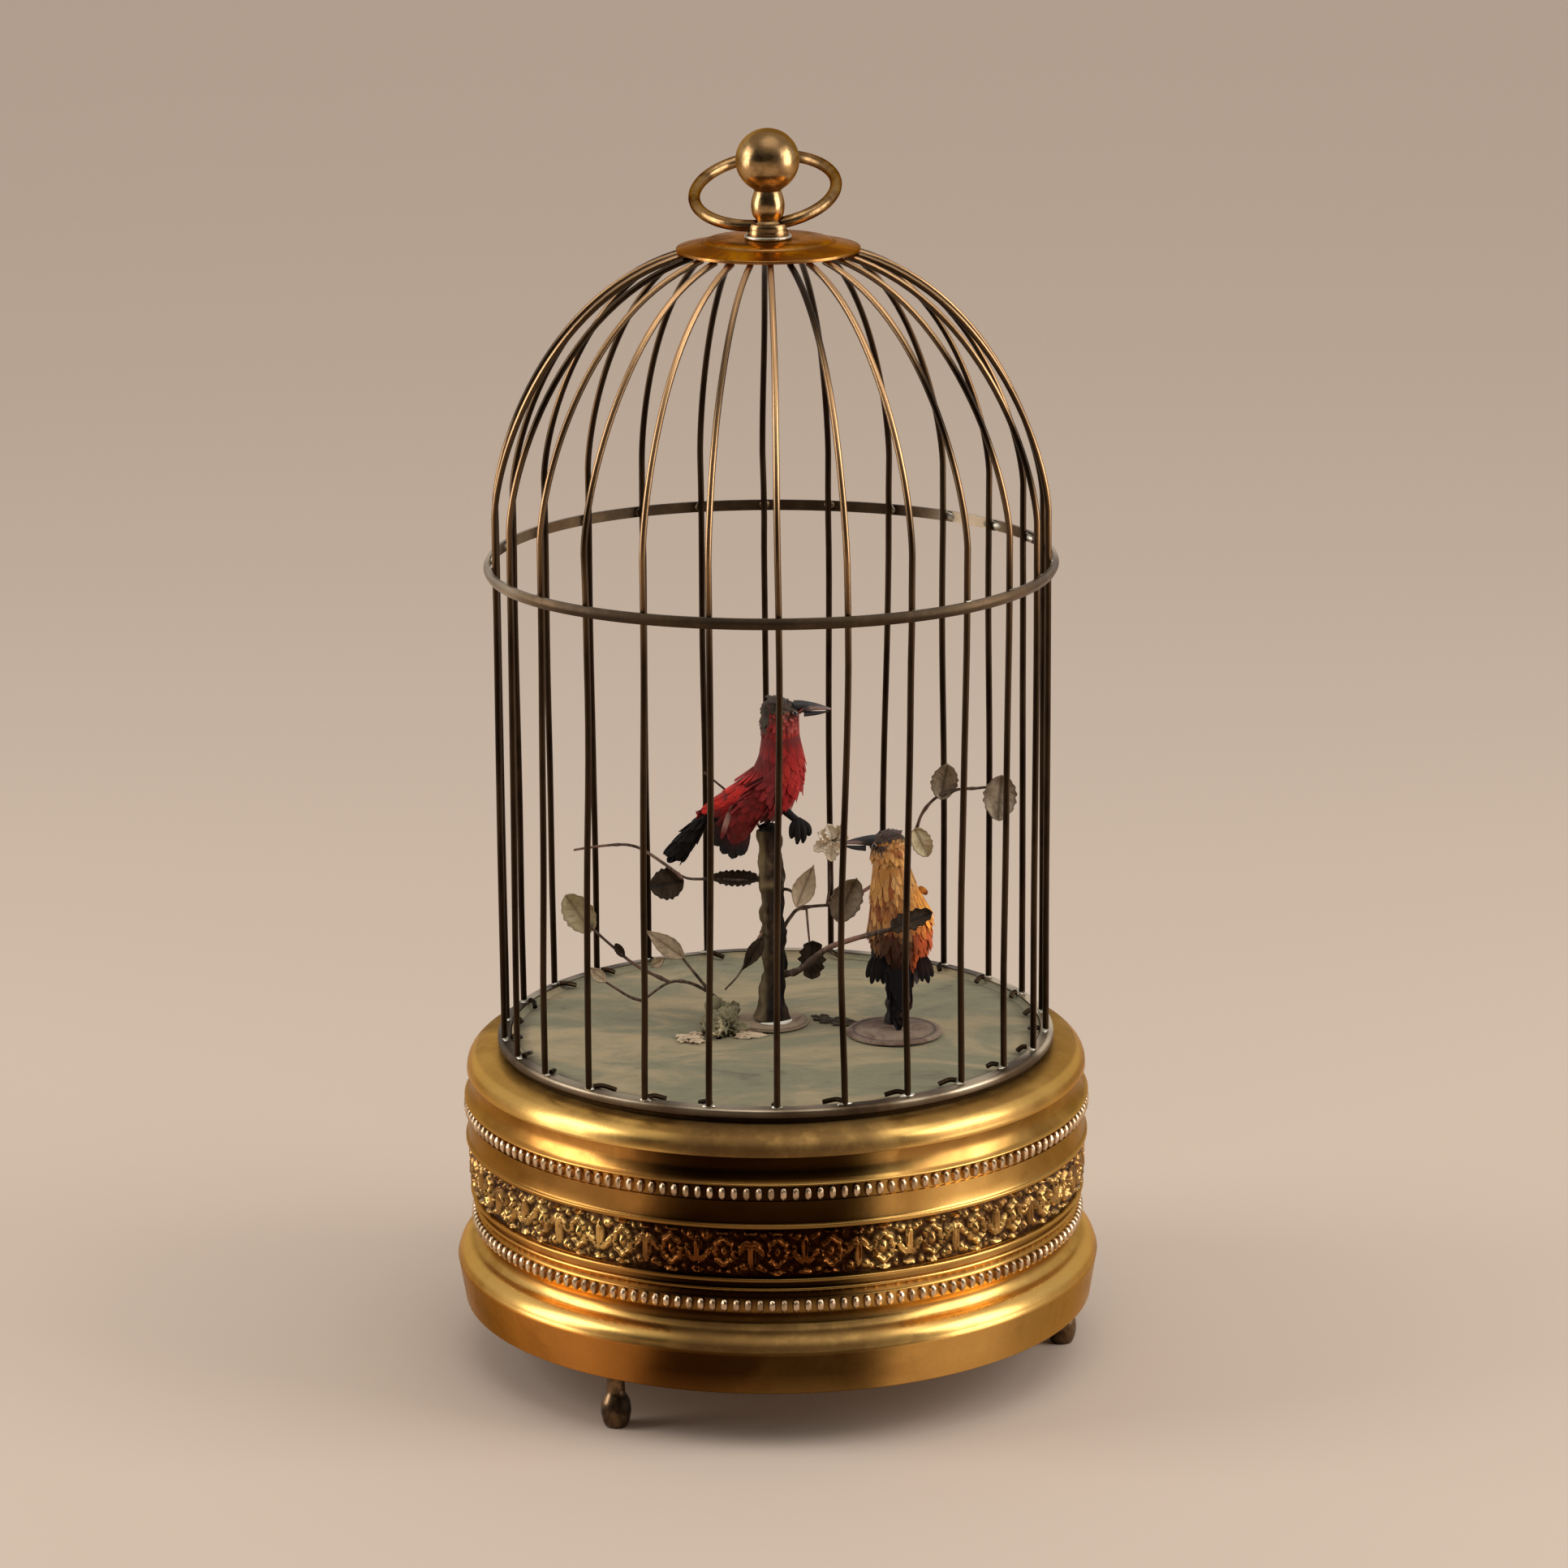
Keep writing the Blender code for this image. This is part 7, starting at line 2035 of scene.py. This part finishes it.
class Coat:
    """Feathers, and the skin that they grow on, collected for one piece of a bird."""

    def __init__(self, place: object, seed: int) -> None:
        """Start a piece.

        Args:
            place: turns a place on the bird, in millimetres, into metres in the cage.
            seed: starts the coat's own random draws.
        """
        self.place = place
        self.draw = random.Random(seed)
        self.bm = bmesh.new()
        self.tint = self.bm.verts.layers.float_color.new("tint")
        self.masks = [self.bm.verts.layers.float.new(name) for name in ("along", "across", "shade")]
        self.blade = self.make_blade()

    def make_blade(self) -> bpy.types.Mesh:
        """The plain strip that every feather is bent from."""
        strip = bmesh.new()
        bmesh.ops.create_grid(strip, x_segments=2, y_segments=6, size=1.0)
        bmesh.ops.solidify(strip, geom=strip.faces, thickness=1.0)
        return stored(strip, "feather_strip")

    def skin(self, form: Form, tint: object, shrink: float = 0.94, sides: int = 20) -> None:
        """The closed body under the feathers.

        Args:
            form: its shape.
            tint: gives a colour from a place on the bird.
            shrink: how much thinner than the form it is.
            sides: corners of its sections.
        """
        route = [self.place(spot) for spot in form.spine]
        sizes = [(half.y * shrink * MM, half.x * shrink * MM) for half in form.halves]
        verts = sweep(self.bm, route, sizes, sides, across=Vector((0.0, 1.0, 0.0)))
        for number, vert in enumerate(verts):
            vert[self.tint] = (*tint(form.spine[number // sides]), 1.0)
            vert[self.masks[0]] = 0.6
            vert[self.masks[1]] = 0.5

    def feather(self, root: Vector, towards: Vector, outward: Vector, size: tuple[float, float],
                tints: Tints, lift: float = 0.07) -> None:
        """One feather.

        Args:
            root: where it grows.
            towards: which way it points.
            outward: the way out of the skin.
            size: its length and width.
            tints: its colours at the root and at the tip.
            lift: how far its tip stands off, as a share of its length.
        """
        start = len(self.bm.verts)
        self.bm.from_mesh(self.blade)
        self.bm.verts.ensure_lookup_table()
        length, width = size
        side = towards.cross(outward).normalized()
        normal = side.cross(towards).normalized()
        shade = self.draw.random() * 50
        tone = self.draw.uniform(0.8, 1.2)
        for vert in self.bm.verts[start:]:
            across, share, layer = vert.co.x, 1 - (0.5 - vert.co.y / 2) ** 1.7, vert.co.z
            half = width / 2 * min(1.0, share * 2.4 + 0.2) ** 0.7 * max(1 - share ** 6, 0.0) ** 0.5
            half = max(half, 0.05)
            rise = lift * length * share - 0.22 * half * across * across + 0.07 * layer
            vert.co = self.place(root + towards * (length * share) + side * (across * half) + normal * rise)
            colour = mixed(tints[0], tints[1], eased(share, 0.35, 0.9))
            vert[self.tint] = (*(value * tone for value in colour), 1.0)
            vert[self.masks[0]] = share
            vert[self.masks[1]] = across
            vert[self.masks[2]] = shade

    def cover(self, form: Form, reach: tuple[float, float], gaps: tuple[float, float],
              size: tuple[float, float], tints: object, lift: float = 0.06, comb: object = None) -> None:
        """Lay rows of feathers over a form.

        Args:
            form: what they grow on.
            reach: the first and last share of its spine.
            gaps: the distance from row to row and from feather to feather.
            size: their length and width.
            tints: gives a feather's two colours from its place and its way out.
            lift: how far the tips stand off.
            comb: gives a feather's direction from its place and the way to the tail.
        """
        first, last = reach
        rows = max(round(form.length() * (last - first) / gaps[0]), 1)
        for row in range(rows + 1):
            share = first + (last - first) * row / rows
            count = max(round(form.girth(share) / gaps[1]), 4)
            for number in range(count):
                turn = 2 * math.pi * (number + 0.5 * (row % 2) + self.draw.uniform(-0.22, 0.22)) / count
                spot, outward, back = form.at(share, turn)
                towards = comb(spot, back) if comb else back
                towards = (towards - outward * towards.dot(outward)).normalized()
                stray = self.draw.uniform(-0.12, 0.12)
                towards = (towards + towards.cross(outward) * stray).normalized()
                stretch = self.draw.uniform(0.82, 1.2)
                self.feather(spot - outward * 0.3, towards, outward, (size[0] * stretch, size[1]),
                             tints(spot, outward), lift * self.draw.uniform(0.6, 1.5))

    def finish(self, shop: Workshop, name: str, finish: Plumage, body: str, node: str) -> None:
        """Make the piece.

        Args:
            shop: makes it.
            name: its name.
            finish: its plumage.
            body: the body that it moves with.
            node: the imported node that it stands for.
        """
        bpy.data.meshes.remove(self.blade)
        shop.piece(name, settle(self.bm), finish, body=body, replaces=(node,), crease=70.0)


@dataclass
class Bird:
    """What both birds share: their places on the perch, heads, tails, legs and claws.

    Rows of heads and beaks are (along, up from the neck, half depth, half width).
    """

    shop: Workshop
    name: str
    perch: Point
    facing: float                # 1 when it looks along X, else -1
    plumes: Plumage
    neck: float                  # how high the neck is
    seed: int                    # starts the tints' random draws
    coat_seed: int               # starts those of the body's coat; head and tail take the next two
    cap: Colour
    tip: Colour
    head: tuple
    cap_line: float              # how high above the neck the skin has the cap's colour
    crown: Point                 # where feathers start and end to lie back, and how far they fall
    crown_width: float
    upper_bill: tuple
    lower_bill: tuple
    bill_light: float            # how far up the upper beak's pale side reaches
    eye: tuple                   # along, across, up from the neck, radius
    tail_root: Point
    tail_way: Point
    tail_rows: tuple             # distance from the root, half depth, half width
    tail_cover: tuple            # reach, gaps and size of the tail's feathers

    def build(self) -> None:
        """Build body, head, beak and tail."""
        self.draw = random.Random(self.seed)
        self.add_body()
        self.add_head()
        self.add_tail()

    def at(self, spot: Vector) -> Vector:
        """A place in the cage, in metres, from one on the bird."""
        x, y, z = self.perch
        return Vector((x + spot.x * self.facing, y + spot.y, z + spot.z)) * MM

    def head_skin(self, spot: Vector) -> Colour:
        """The colour under the head's feathers."""
        return self.cap if spot.z > self.neck + self.cap_line else self.skin_tint(spot)

    def comb_head(self, spot: Vector, back: Vector) -> Vector:
        """Head feathers lie back over the crown and down on the cheeks."""
        start, end, fall = self.crown
        high = eased(spot.z - self.neck, start, end)
        return (back * (1 - high) + Vector((-1.0, 0.0, -fall)) * high).normalized()

    def add_head(self) -> None:
        """The head with cap, eyes and both halves of the beak."""
        head, beak = f"{self.name}_head", f"{self.name}_beak"
        form = Form(centred(self.head, self.neck))
        coat = Coat(self.at, self.coat_seed + 1)
        coat.skin(form, self.head_skin)
        for reach, gaps, size in (((0.02, 0.42), (0.8, 0.8), (3.3, 1.2)),
                                  ((0.42, 0.99), (0.65, 0.8), (1.9, self.crown_width))):
            coat.cover(form, reach, gaps, size, self.head_tints, lift=0.02, comb=self.comb_head)
        coat.finish(self.shop, f"{head}_plumage", self.plumes, head, head)
        self.horn([centred(self.upper_bill, self.neck)], BEAK_HORN,
                  lambda out, share: eased(out.z, self.bill_light, 0.05) * eased(share, 0.30, 0.45),
                  f"{self.name}_upper_bill", head)
        self.horn([centred(self.lower_bill, self.neck)], BEAK_HORN, lambda out, share: 0.0,
                  f"{self.name}_lower_bill", beak, (beak,))
        self.eyes(*self.eye)

    def add_tail(self) -> None:
        """The tail, its feathers in overlapping steps."""
        tail = f"{self.name}_tail"
        root, way = Vector(self.tail_root), Vector(self.tail_way)
        form = Form([(*(root + way * reach), depth, width) for reach, depth, width in self.tail_rows])
        coat = Coat(self.at, self.coat_seed + 2)
        coat.skin(form, lambda spot: self.tip, sides=14)
        coat.cover(form, *self.tail_cover, self.tail_tints, lift=0.05)
        coat.finish(self.shop, f"{tail}_plumage", BLACK_PLUMES, tail, tail)

    def horn(self, runs: list, finish: Horn, pale: object, piece: str, body: str,
             replaces: tuple[str, ...] = ()) -> None:
        """Tapered horn shapes in one piece.

        Args:
            runs: for each shape, its (along, across, up, half depth, half width) points.
            finish: their finish.
            pale: how pale the horn is at a place on the bird and its run's middle.
            piece: the piece's name.
            body: the body that it moves with.
            replaces: nodes that it stands for.
        """
        bm = bmesh.new()
        wear = bm.verts.layers.float.new("wear")
        for run in runs:
            form = Form(run, 5)
            route = [self.at(spot) for spot in form.spine]
            sizes = [(half.y * MM, half.x * MM) for half in form.halves]
            verts = sweep(bm, route, sizes, 12, across=Vector((0.0, 1.0, 0.0)))
            for number, vert in enumerate(verts):
                middle = route[number // 12]
                vert[wear] = pale((vert.co - middle) / MM, number // 12 / len(route))
        self.shop.piece(piece, settle(bm), finish, body=body, replaces=replaces, crease=50.0)

    def eyes(self, along: float, across: float, up: float, radius: float) -> None:
        """A glass eye on each side of the head.

        Args:
            along: how far forward they are.
            across: how far they are from the middle plane.
            up: how far above the neck they are.
            radius: their radius.
        """
        bm = bmesh.new()
        wear = bm.verts.layers.float.new("wear")
        for side in (-1, 1):
            middle = self.at(Vector((along, side * across, self.neck + up)))
            made = bmesh.ops.create_uvsphere(bm, u_segments=20, v_segments=12, radius=radius * MM,
                                             matrix=Matrix.Translation(middle))["verts"]
            for vert in made:
                out = (vert.co - middle).normalized().dot(Vector((0.3 * self.facing, side, 0.1)).normalized())
                vert[wear] = eased(out, 0.70, 0.55) * eased(out, 0.15, 0.35)
        self.shop.piece(f"{self.name}_eyes", settle(bm), EYE_GLASS, body=f"{self.name}_head")

    def legs(self, apart: float, rows: tuple, toe: float, sink: float) -> list:
        """Both legs, with three toes forward and one back, each hooked at its end.

        Args:
            apart: how far each leg stands from the middle plane.
            rows: (along, up, half size) down to the ankle and then the toes' start.
            toe: how long the toes are.
            sink: how far the claws reach below the ankle.

        Returns:
            The runs of legs and toes.
        """
        runs = [[(side * along, side * apart, up, half, half) for along, up, half in rows[:-1]]
                for side in (-1, 1)]
        ankle = rows[-1][1]
        for side in (-1, 1):
            for degrees in (-38, 0, 38, 180):
                out = heading(math.radians(degrees)) * toe
                runs.append([(out.x * reach, side * apart + out.y * reach, ankle + up, half, half)
                             for reach, up, half in ((0.0, 0.0, 0.42), (0.5, 0.25, 0.38),
                                                     (0.9, -sink * 0.35, 0.28), (1.0, -sink, 0.08))])
        return runs


@dataclass
class RedBird(Bird):
    """The crimson bird on the trunk: upright neck, flat grey cap, black wing tips and tail."""

    neck: float = 22.8
    seed: int = 21
    coat_seed: int = 5
    bright: Colour = (0.56, 0.018, 0.010)
    crimson: Colour = (0.34, 0.008, 0.008)
    maroon: Colour = (0.150, 0.012, 0.011)
    belly: Colour = (0.075, 0.008, 0.007)
    streak: Colour = (0.48, 0.036, 0.018)
    cap: Colour = (0.062, 0.044, 0.030)
    cheek: Colour = (0.50, 0.20, 0.15)
    tip: Colour = (0.012, 0.010, 0.009)
    quill: Colour = (0.46, 0.28, 0.23)
    head: tuple = ((2.9, 0.2, 4.5, 4.1), (2.9, 2.6, 4.5, 4.0), (3.1, 5.0, 4.3, 3.8), (3.6, 6.6, 3.6, 3.1),
                   (4.0, 7.4, 2.2, 1.8))
    cap_line: float = 5.0
    crown: Point = (3.6, 6.0, 0.35)
    crown_width: float = 1.15
    upper_bill: tuple = ((6.1, 5.6, 1.7, 1.5), (7.7, 5.8, 1.45, 1.4), (10.6, 5.75, 0.90, 0.9),
                         (13.2, 5.35, 0.42, 0.4), (14.5, 5.1, 0.12, 0.12))
    lower_bill: tuple = ((8.2, 4.1, 0.62, 1.1), (11.0, 4.25, 0.45, 0.7), (13.8, 4.6, 0.12, 0.15))
    bill_light: float = 0.55
    eye: tuple = (6.2, 2.95, 5.0, 0.75)
    wing_tips: tuple = ((-13.2, -0.2), (-12.3, -2.4), (-10.4, -4.4), (-8.3, -5.5), (-6.4, -4.8))  # along, up
    tail_root: Point = (-12.8, 0.0, 5.0)
    tail_way: Point = (-0.617, 0.0, -0.787)
    tail_rows: tuple = ((11.9, 1.7, 1.4), (10.4, 2.3, 1.9), (5.8, 2.0, 2.0), (1.9, 1.1, 1.4))
    tail_cover: tuple = ((0.20, 0.97), (1.9, 1.5), (4.4, 2.6))

    def skin_tint(self, spot: Vector) -> Colour:
        """The colour under the feathers."""
        return self.maroon

    def body_tints(self, spot: Vector, outward: Vector) -> Tints:
        """Bright along the back, crimson breast, dark belly, and a neck that is dark behind."""
        front = 0.25 + 0.75 * eased(spot.x, 0.0, 4.4)
        neck = mixed(self.maroon, mixed(self.crimson, self.streak, 0.7 * self.draw.random()), front)
        back = eased(-outward.x + 0.6 * outward.z, 0.15, 0.75)
        low = mixed(self.crimson, self.bright, back)
        low = mixed(low, self.belly, eased(-outward.z, 0.10, 0.60) * eased(spot.z, 12.0, 7.0))
        colour = mixed(low, neck, eased(spot.z, 13.5, 16.5))
        return mixed(colour, self.maroon, 0.35), colour

    def add_body(self) -> None:
        """The body with its folded wings, legs and the curled foot under the breast."""
        body = Form(centred(((-13.2, 4.7, 1.3, 1.4), (-9.8, 5.7, 3.3, 3.2), (-5.2, 7.0, 5.0, 4.8),
                             (-0.4, 9.0, 6.1, 5.7), (2.1, 12.6, 6.1, 5.7), (3.0, 17.0, 5.4, 5.0),
                             (2.9, self.neck - 0.3, 4.5, 4.1))))
        coat = Coat(self.at, self.coat_seed)
        coat.skin(body, self.skin_tint)
        coat.cover(body, (0.06, 0.99), (1.4, 1.05), (4.8, 1.45), self.body_tints, lift=0.02)
        for side in (-1, 1):
            self.add_wing(coat, side)
        coat.finish(self.shop, "red_bird_plumage", self.plumes, BASE, "red_bird_body")
        runs = self.legs(1.3, ((0.1, 6.0, 0.6), (0.0, 2.5, 0.5), (0.0, 0.55, 0.5), (0.0, 0.6, 0.5)), 2.2, 0.5)
        runs.append([(3.4, -2.2, 5.6, 1.1, 1.1), (5.2, -2.6, 3.9, 0.9, 0.9), (6.7, -2.8, 2.7, 0.85, 0.85)])
        for x, y, z in ((5.3, -3.7, -1.0), (6.6, -4.3, -2.2), (7.9, -4.1, -2.0), (9.0, -3.2, -0.4)):
            runs.append([(6.6, -2.8, 2.9, 0.95, 0.95),
                         (6.7 + (x - 6.7) * 0.85, y * 0.5 - 1.8, 1.7, 0.85, 0.85),
                         (x, y, 0.2 + z * 0.35, 0.75, 0.75), (x - 0.2, y + 0.2, z, 0.3, 0.3)])
        self.horn(runs, CLAW_HORN, lambda out, share: 0.3, "red_bird_feet", BASE)

    def add_wing(self, coat: Coat, side: int) -> None:
        """A folded wing: dark coverts over long quills with pale streaks and black tips."""
        wing = Form([(-8.2, side * 2.9, -3.4, 1.6, 0.6), (-7.4, side * 3.6, -0.8, 2.3, 0.9),
                     (-4.2, side * 4.9, 6.0, 3.3, 1.3), (0.4, side * 5.1, 11.4, 2.9, 1.4),
                     (2.4, side * 4.3, 15.0, 1.3, 0.9)])
        coat.skin(wing, self.skin_tint, sides=12)
        coat.cover(wing, (0.50, 0.92), (1.5, 1.1), (4.8, 1.5),
                   lambda spot, outward: (self.maroon, mixed(self.maroon, self.crimson, 0.25)), lift=0.03)
        outward = Vector((0.0, side, 0.0))
        for number, (along, up) in enumerate(self.wing_tips):
            start = Vector((-6.6 + 0.3 * number, side * (4.5 - 0.3 * number), 4.2))
            reach = Vector((along, side * (3.4 + 0.25 * number), up)) - start
            coat.feather(start, reach.normalized(), outward, (reach.length, 3.8),
                         (mixed(self.maroon, self.tip, 0.5), self.tip), 0.03)
            start += Vector((0.8, side * 0.3, 3.4))
            reach = Vector((along * 0.93, side * (3.8 + 0.25 * number), up + 4.6)) - start
            coat.feather(start, reach.normalized(), outward, (reach.length, 2.3),
                         (self.crimson, mixed(self.maroon, self.tip, 0.5 * self.draw.random())), 0.03)
        start, end = Vector((-8.2, side * 5.0, 7.0)), Vector((-10.6, side * 4.7, -0.6))
        coat.feather(start, (end - start).normalized(), outward, ((end - start).length, 1.3),
                     (self.quill, self.maroon), 0.05)

    def head_tints(self, spot: Vector, outward: Vector) -> Tints:
        """A grey cap above, a pale cheek under it, and the neck's colours below."""
        up = spot.z - self.neck
        neck, tip = self.body_tints(Vector((spot.x, spot.y, 20.0)), outward)
        tip = mixed(tip, self.cheek, 0.35 * eased(up, 2.6, 3.6) * eased(spot.x, 2.0, 4.4))
        line = 3.4 - 3.0 * eased(spot.x, 1.8, -1.2)
        cap = tuple(value * self.draw.uniform(0.7, 1.25) for value in self.cap)
        return (mixed(neck, cap, eased(up, line + 0.6, line + 1.4)),
                mixed(tip, cap, eased(up, line + 1.7, line + 2.5)))

    def tail_tints(self, spot: Vector, outward: Vector) -> Tints:
        """Black all over."""
        return self.tip, self.tip


@dataclass
class OrangeBird(Bird):
    """The ochre and orange bird on the post, with black feather tips below."""

    neck: float = 25.8
    seed: int = 34
    coat_seed: int = 15
    ochre: Colour = (0.54, 0.255, 0.060)
    pale: Colour = (0.70, 0.40, 0.135)
    rust: Colour = (0.26, 0.055, 0.014)
    flame: Colour = (0.95, 0.42, 0.06)
    ember: Colour = (0.60, 0.105, 0.022)
    shadow: Colour = (0.055, 0.022, 0.016)
    cap: Colour = (0.075, 0.050, 0.036)
    tip: Colour = (0.014, 0.012, 0.013)
    streak: Colour = (0.30, 0.26, 0.25)
    brown: Colour = (0.085, 0.045, 0.032)
    head: tuple = ((0.6, 0.2, 4.3, 4.1), (1.0, 2.8, 4.2, 4.0), (1.3, 5.2, 3.7, 3.4), (1.5, 6.6, 2.6, 2.4),
                   (1.6, 7.1, 1.4, 1.2))
    cap_line: float = 5.4
    crown: Point = (4.0, 6.2, 0.3)
    crown_width: float = 1.1
    upper_bill: tuple = ((3.9, 4.8, 1.5, 1.4), (5.5, 4.9, 1.25, 1.2), (8.4, 4.75, 0.75, 0.8),
                         (10.8, 4.4, 0.35, 0.35), (11.8, 4.2, 0.12, 0.12))
    lower_bill: tuple = ((6.1, 3.1, 0.62, 1.0), (8.8, 3.3, 0.48, 0.65), (11.2, 3.75, 0.12, 0.15))
    bill_light: float = 0.5
    eye: tuple = (4.2, 2.65, 4.4, 0.7)
    tail_root: Point = (-1.2, -4.9, 1.2)
    tail_way: Point = (0.0, -0.0995037, -0.9950372)
    tail_rows: tuple = ((9.6, 1.7, 0.35), (7.4, 2.3, 0.6), (3.6, 2.8, 0.7), (-0.6, 3.0, 0.6))
    tail_cover: tuple = ((0.12, 0.97), (1.8, 1.5), (4.2, 1.7))

    def skin_tint(self, spot: Vector) -> Colour:
        """The colour under the feathers."""
        return mixed(self.ochre, self.rust, eased(spot.z, 22.0, 15.0))

    def body_tints(self, spot: Vector, outward: Vector) -> Tints:
        """Ochre on the breast side, flame and ember on the back side, rust patches between."""
        side = eased(spot.x, -2.2, -5.0)
        breast = mixed(self.ochre, self.pale, self.draw.random() ** 1.5)
        breast = mixed(breast, self.rust, 0.85 * (self.draw.random() < 0.16))
        patch = math.exp(-((spot.x - 0.6) / 1.9) ** 2 - ((spot.z - 17.6) / 3.0) ** 2)
        breast = mixed(breast, self.rust, 0.8 * patch)
        warm = mixed(self.ember, self.flame, eased(spot.z, 12.0, 17.0))
        warm = mixed(warm, self.ochre, eased(spot.z, 20.0, 23.0))
        colour = mixed(breast, warm, side)
        dusk = eased(spot.z, 16.0, 12.4) * math.exp(-((spot.x - 0.4) / 5.4) ** 6)
        colour = mixed(colour, self.shadow, 0.93 * dusk)
        return mixed(colour, self.rust, 0.3 * eased(spot.z, 22.0, 17.0)), colour

    def tip_tints(self, spot: Vector, outward: Vector) -> Tints:
        """Long lower feathers that turn black, some with a whitish streak."""
        root = mixed(self.body_tints(spot, outward)[1], self.tip, 0.94)
        pale = self.draw.random() < 0.3
        return root, mixed(self.tip, self.streak, 0.35 * pale)

    def add_body(self) -> None:
        """The plump body with wing tips at both sides, and its legs."""
        body = Form(centred(((-1.3, 2.6, 3.6, 2.8), (-1.8, 5.0, 6.0, 4.4), (-1.6, 9.6, 7.1, 5.6),
                             (-1.2, 14.0, 7.0, 5.6), (-0.2, 19.0, 5.7, 4.9),
                             (0.6, self.neck - 0.3, 4.3, 4.1))))
        ahead = Vector((0.0, -1.0, 0.0))
        coat = Coat(self.at, self.coat_seed)
        coat.skin(body, self.skin_tint)
        for along in (-7.0, 4.0):
            wing = Form(centred(((along * 0.98, 0.4, 0.9, 1.2), (along * 0.90, 3.0, 1.6, 2.2),
                                 (along * 0.70, 8.0, 2.4, 2.8))))
            coat.skin(wing, lambda spot: self.tip, sides=12)
            for place in range(-2, 3):
                root = Vector((along * 0.85 + 0.7 * place, -3.4 + 0.25 * abs(place), 4.2))
                way = Vector((0.10 * place + 0.012 * along, 0.12, -1.0)).normalized()
                coat.feather(root, way, ahead, (6.0 - 0.4 * abs(place) + place % 2, 1.5),
                             self.tip_tints(root, way), 0.02)
        coat.cover(body, (0.10, 0.16), (1.5, 1.2), (3.6, 1.5), self.tip_tints, lift=0.05)
        coat.cover(body, (0.17, 0.99), (1.4, 1.0), (4.9, 1.35), self.body_tints, lift=0.03)
        spot, outward, back = body.at(0.80, math.pi)
        if spot.x > 0:
            spot, outward, back = body.at(0.80, 0.0)
        coat.feather(spot, (back + outward * 0.28).normalized(), ahead, (2.6, 1.5),
                     (self.flame, self.rust), 0.04)
        coat.finish(self.shop, "orange_bird_plumage", self.plumes, BASE, "orange_bird_body")
        runs = self.legs(0.9, ((0.0, 4.0, 0.55), (0.0, 2.0, 0.5), (0.0, 0.5, 0.5), (0.0, 0.55, 0.5)), 1.7,
                         0.45)
        self.horn(runs, CLAW_HORN, lambda out, share: 0.3, "orange_bird_feet", BASE)

    def head_tints(self, spot: Vector, outward: Vector) -> Tints:
        """A grey-brown cap over an ochre face."""
        up = spot.z - self.neck
        face = mixed(self.ochre, self.pale, self.draw.random())
        face = mixed(face, self.rust, 0.7 * (self.draw.random() < 0.15))
        cap = tuple(value * self.draw.uniform(0.7, 1.3) for value in self.cap)
        line = 5.0 - 1.5 * eased(spot.x, 1.0, 3.5)
        return (mixed(mixed(face, self.rust, 0.3), cap, eased(up, line, line + 0.6)),
                mixed(face, cap, eased(up, line + 0.9, line + 1.5)))

    def tail_tints(self, spot: Vector, outward: Vector) -> Tints:
        """Black on the breast side, dull brown on the back side."""
        return self.tip, mixed(self.tip, self.brown, eased(spot.x, -0.9, -2.2))


@dataclass
class Movement:
    """The clockwork and everything under the drum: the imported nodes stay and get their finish."""

    brass: tuple[str, ...] = ("base_plate", "movement_frame", "spring_barrel")
    steel: tuple[str, ...] = ("winding_key", "stop_lever", "cam_arbor", "crank_arbor", "fly_governor",
                              "whistle_piston")

    def build(self, finishes: Finishes) -> None:
        """Dress each node."""
        for node in self.brass + ("whistle",):
            finishes.dress_node(node, MOVEMENT_BRASS)
        for node in self.steel:
            finishes.dress_node(node, STEEL)
        finishes.dress_node("bellows", GOATSKIN)


def main() -> None:
    """Build the studio and then the object, from the table up."""
    logging.basicConfig(level=logging.INFO, format="%(message)s")
    noise.seed_set(NOISE_SEED)
    Studio().build()
    finishes = Finishes()
    shop = Workshop(finishes)
    for part in (Drum(), Feet(), CageFloor(), Cage(), Crown(), Tree(), Shrub(), Post()):
        part.build(shop)
    RedBird(shop, "red_bird", (-1.21, 5.105, 119.6), 1.0, RED_PLUMES).build()
    OrangeBird(shop, "orange_bird", (26.8, 1.5, 87.2), -1.0, ORANGE_PLUMES).build()
    Movement().build(finishes)


if __name__ == "__main__":
    main()
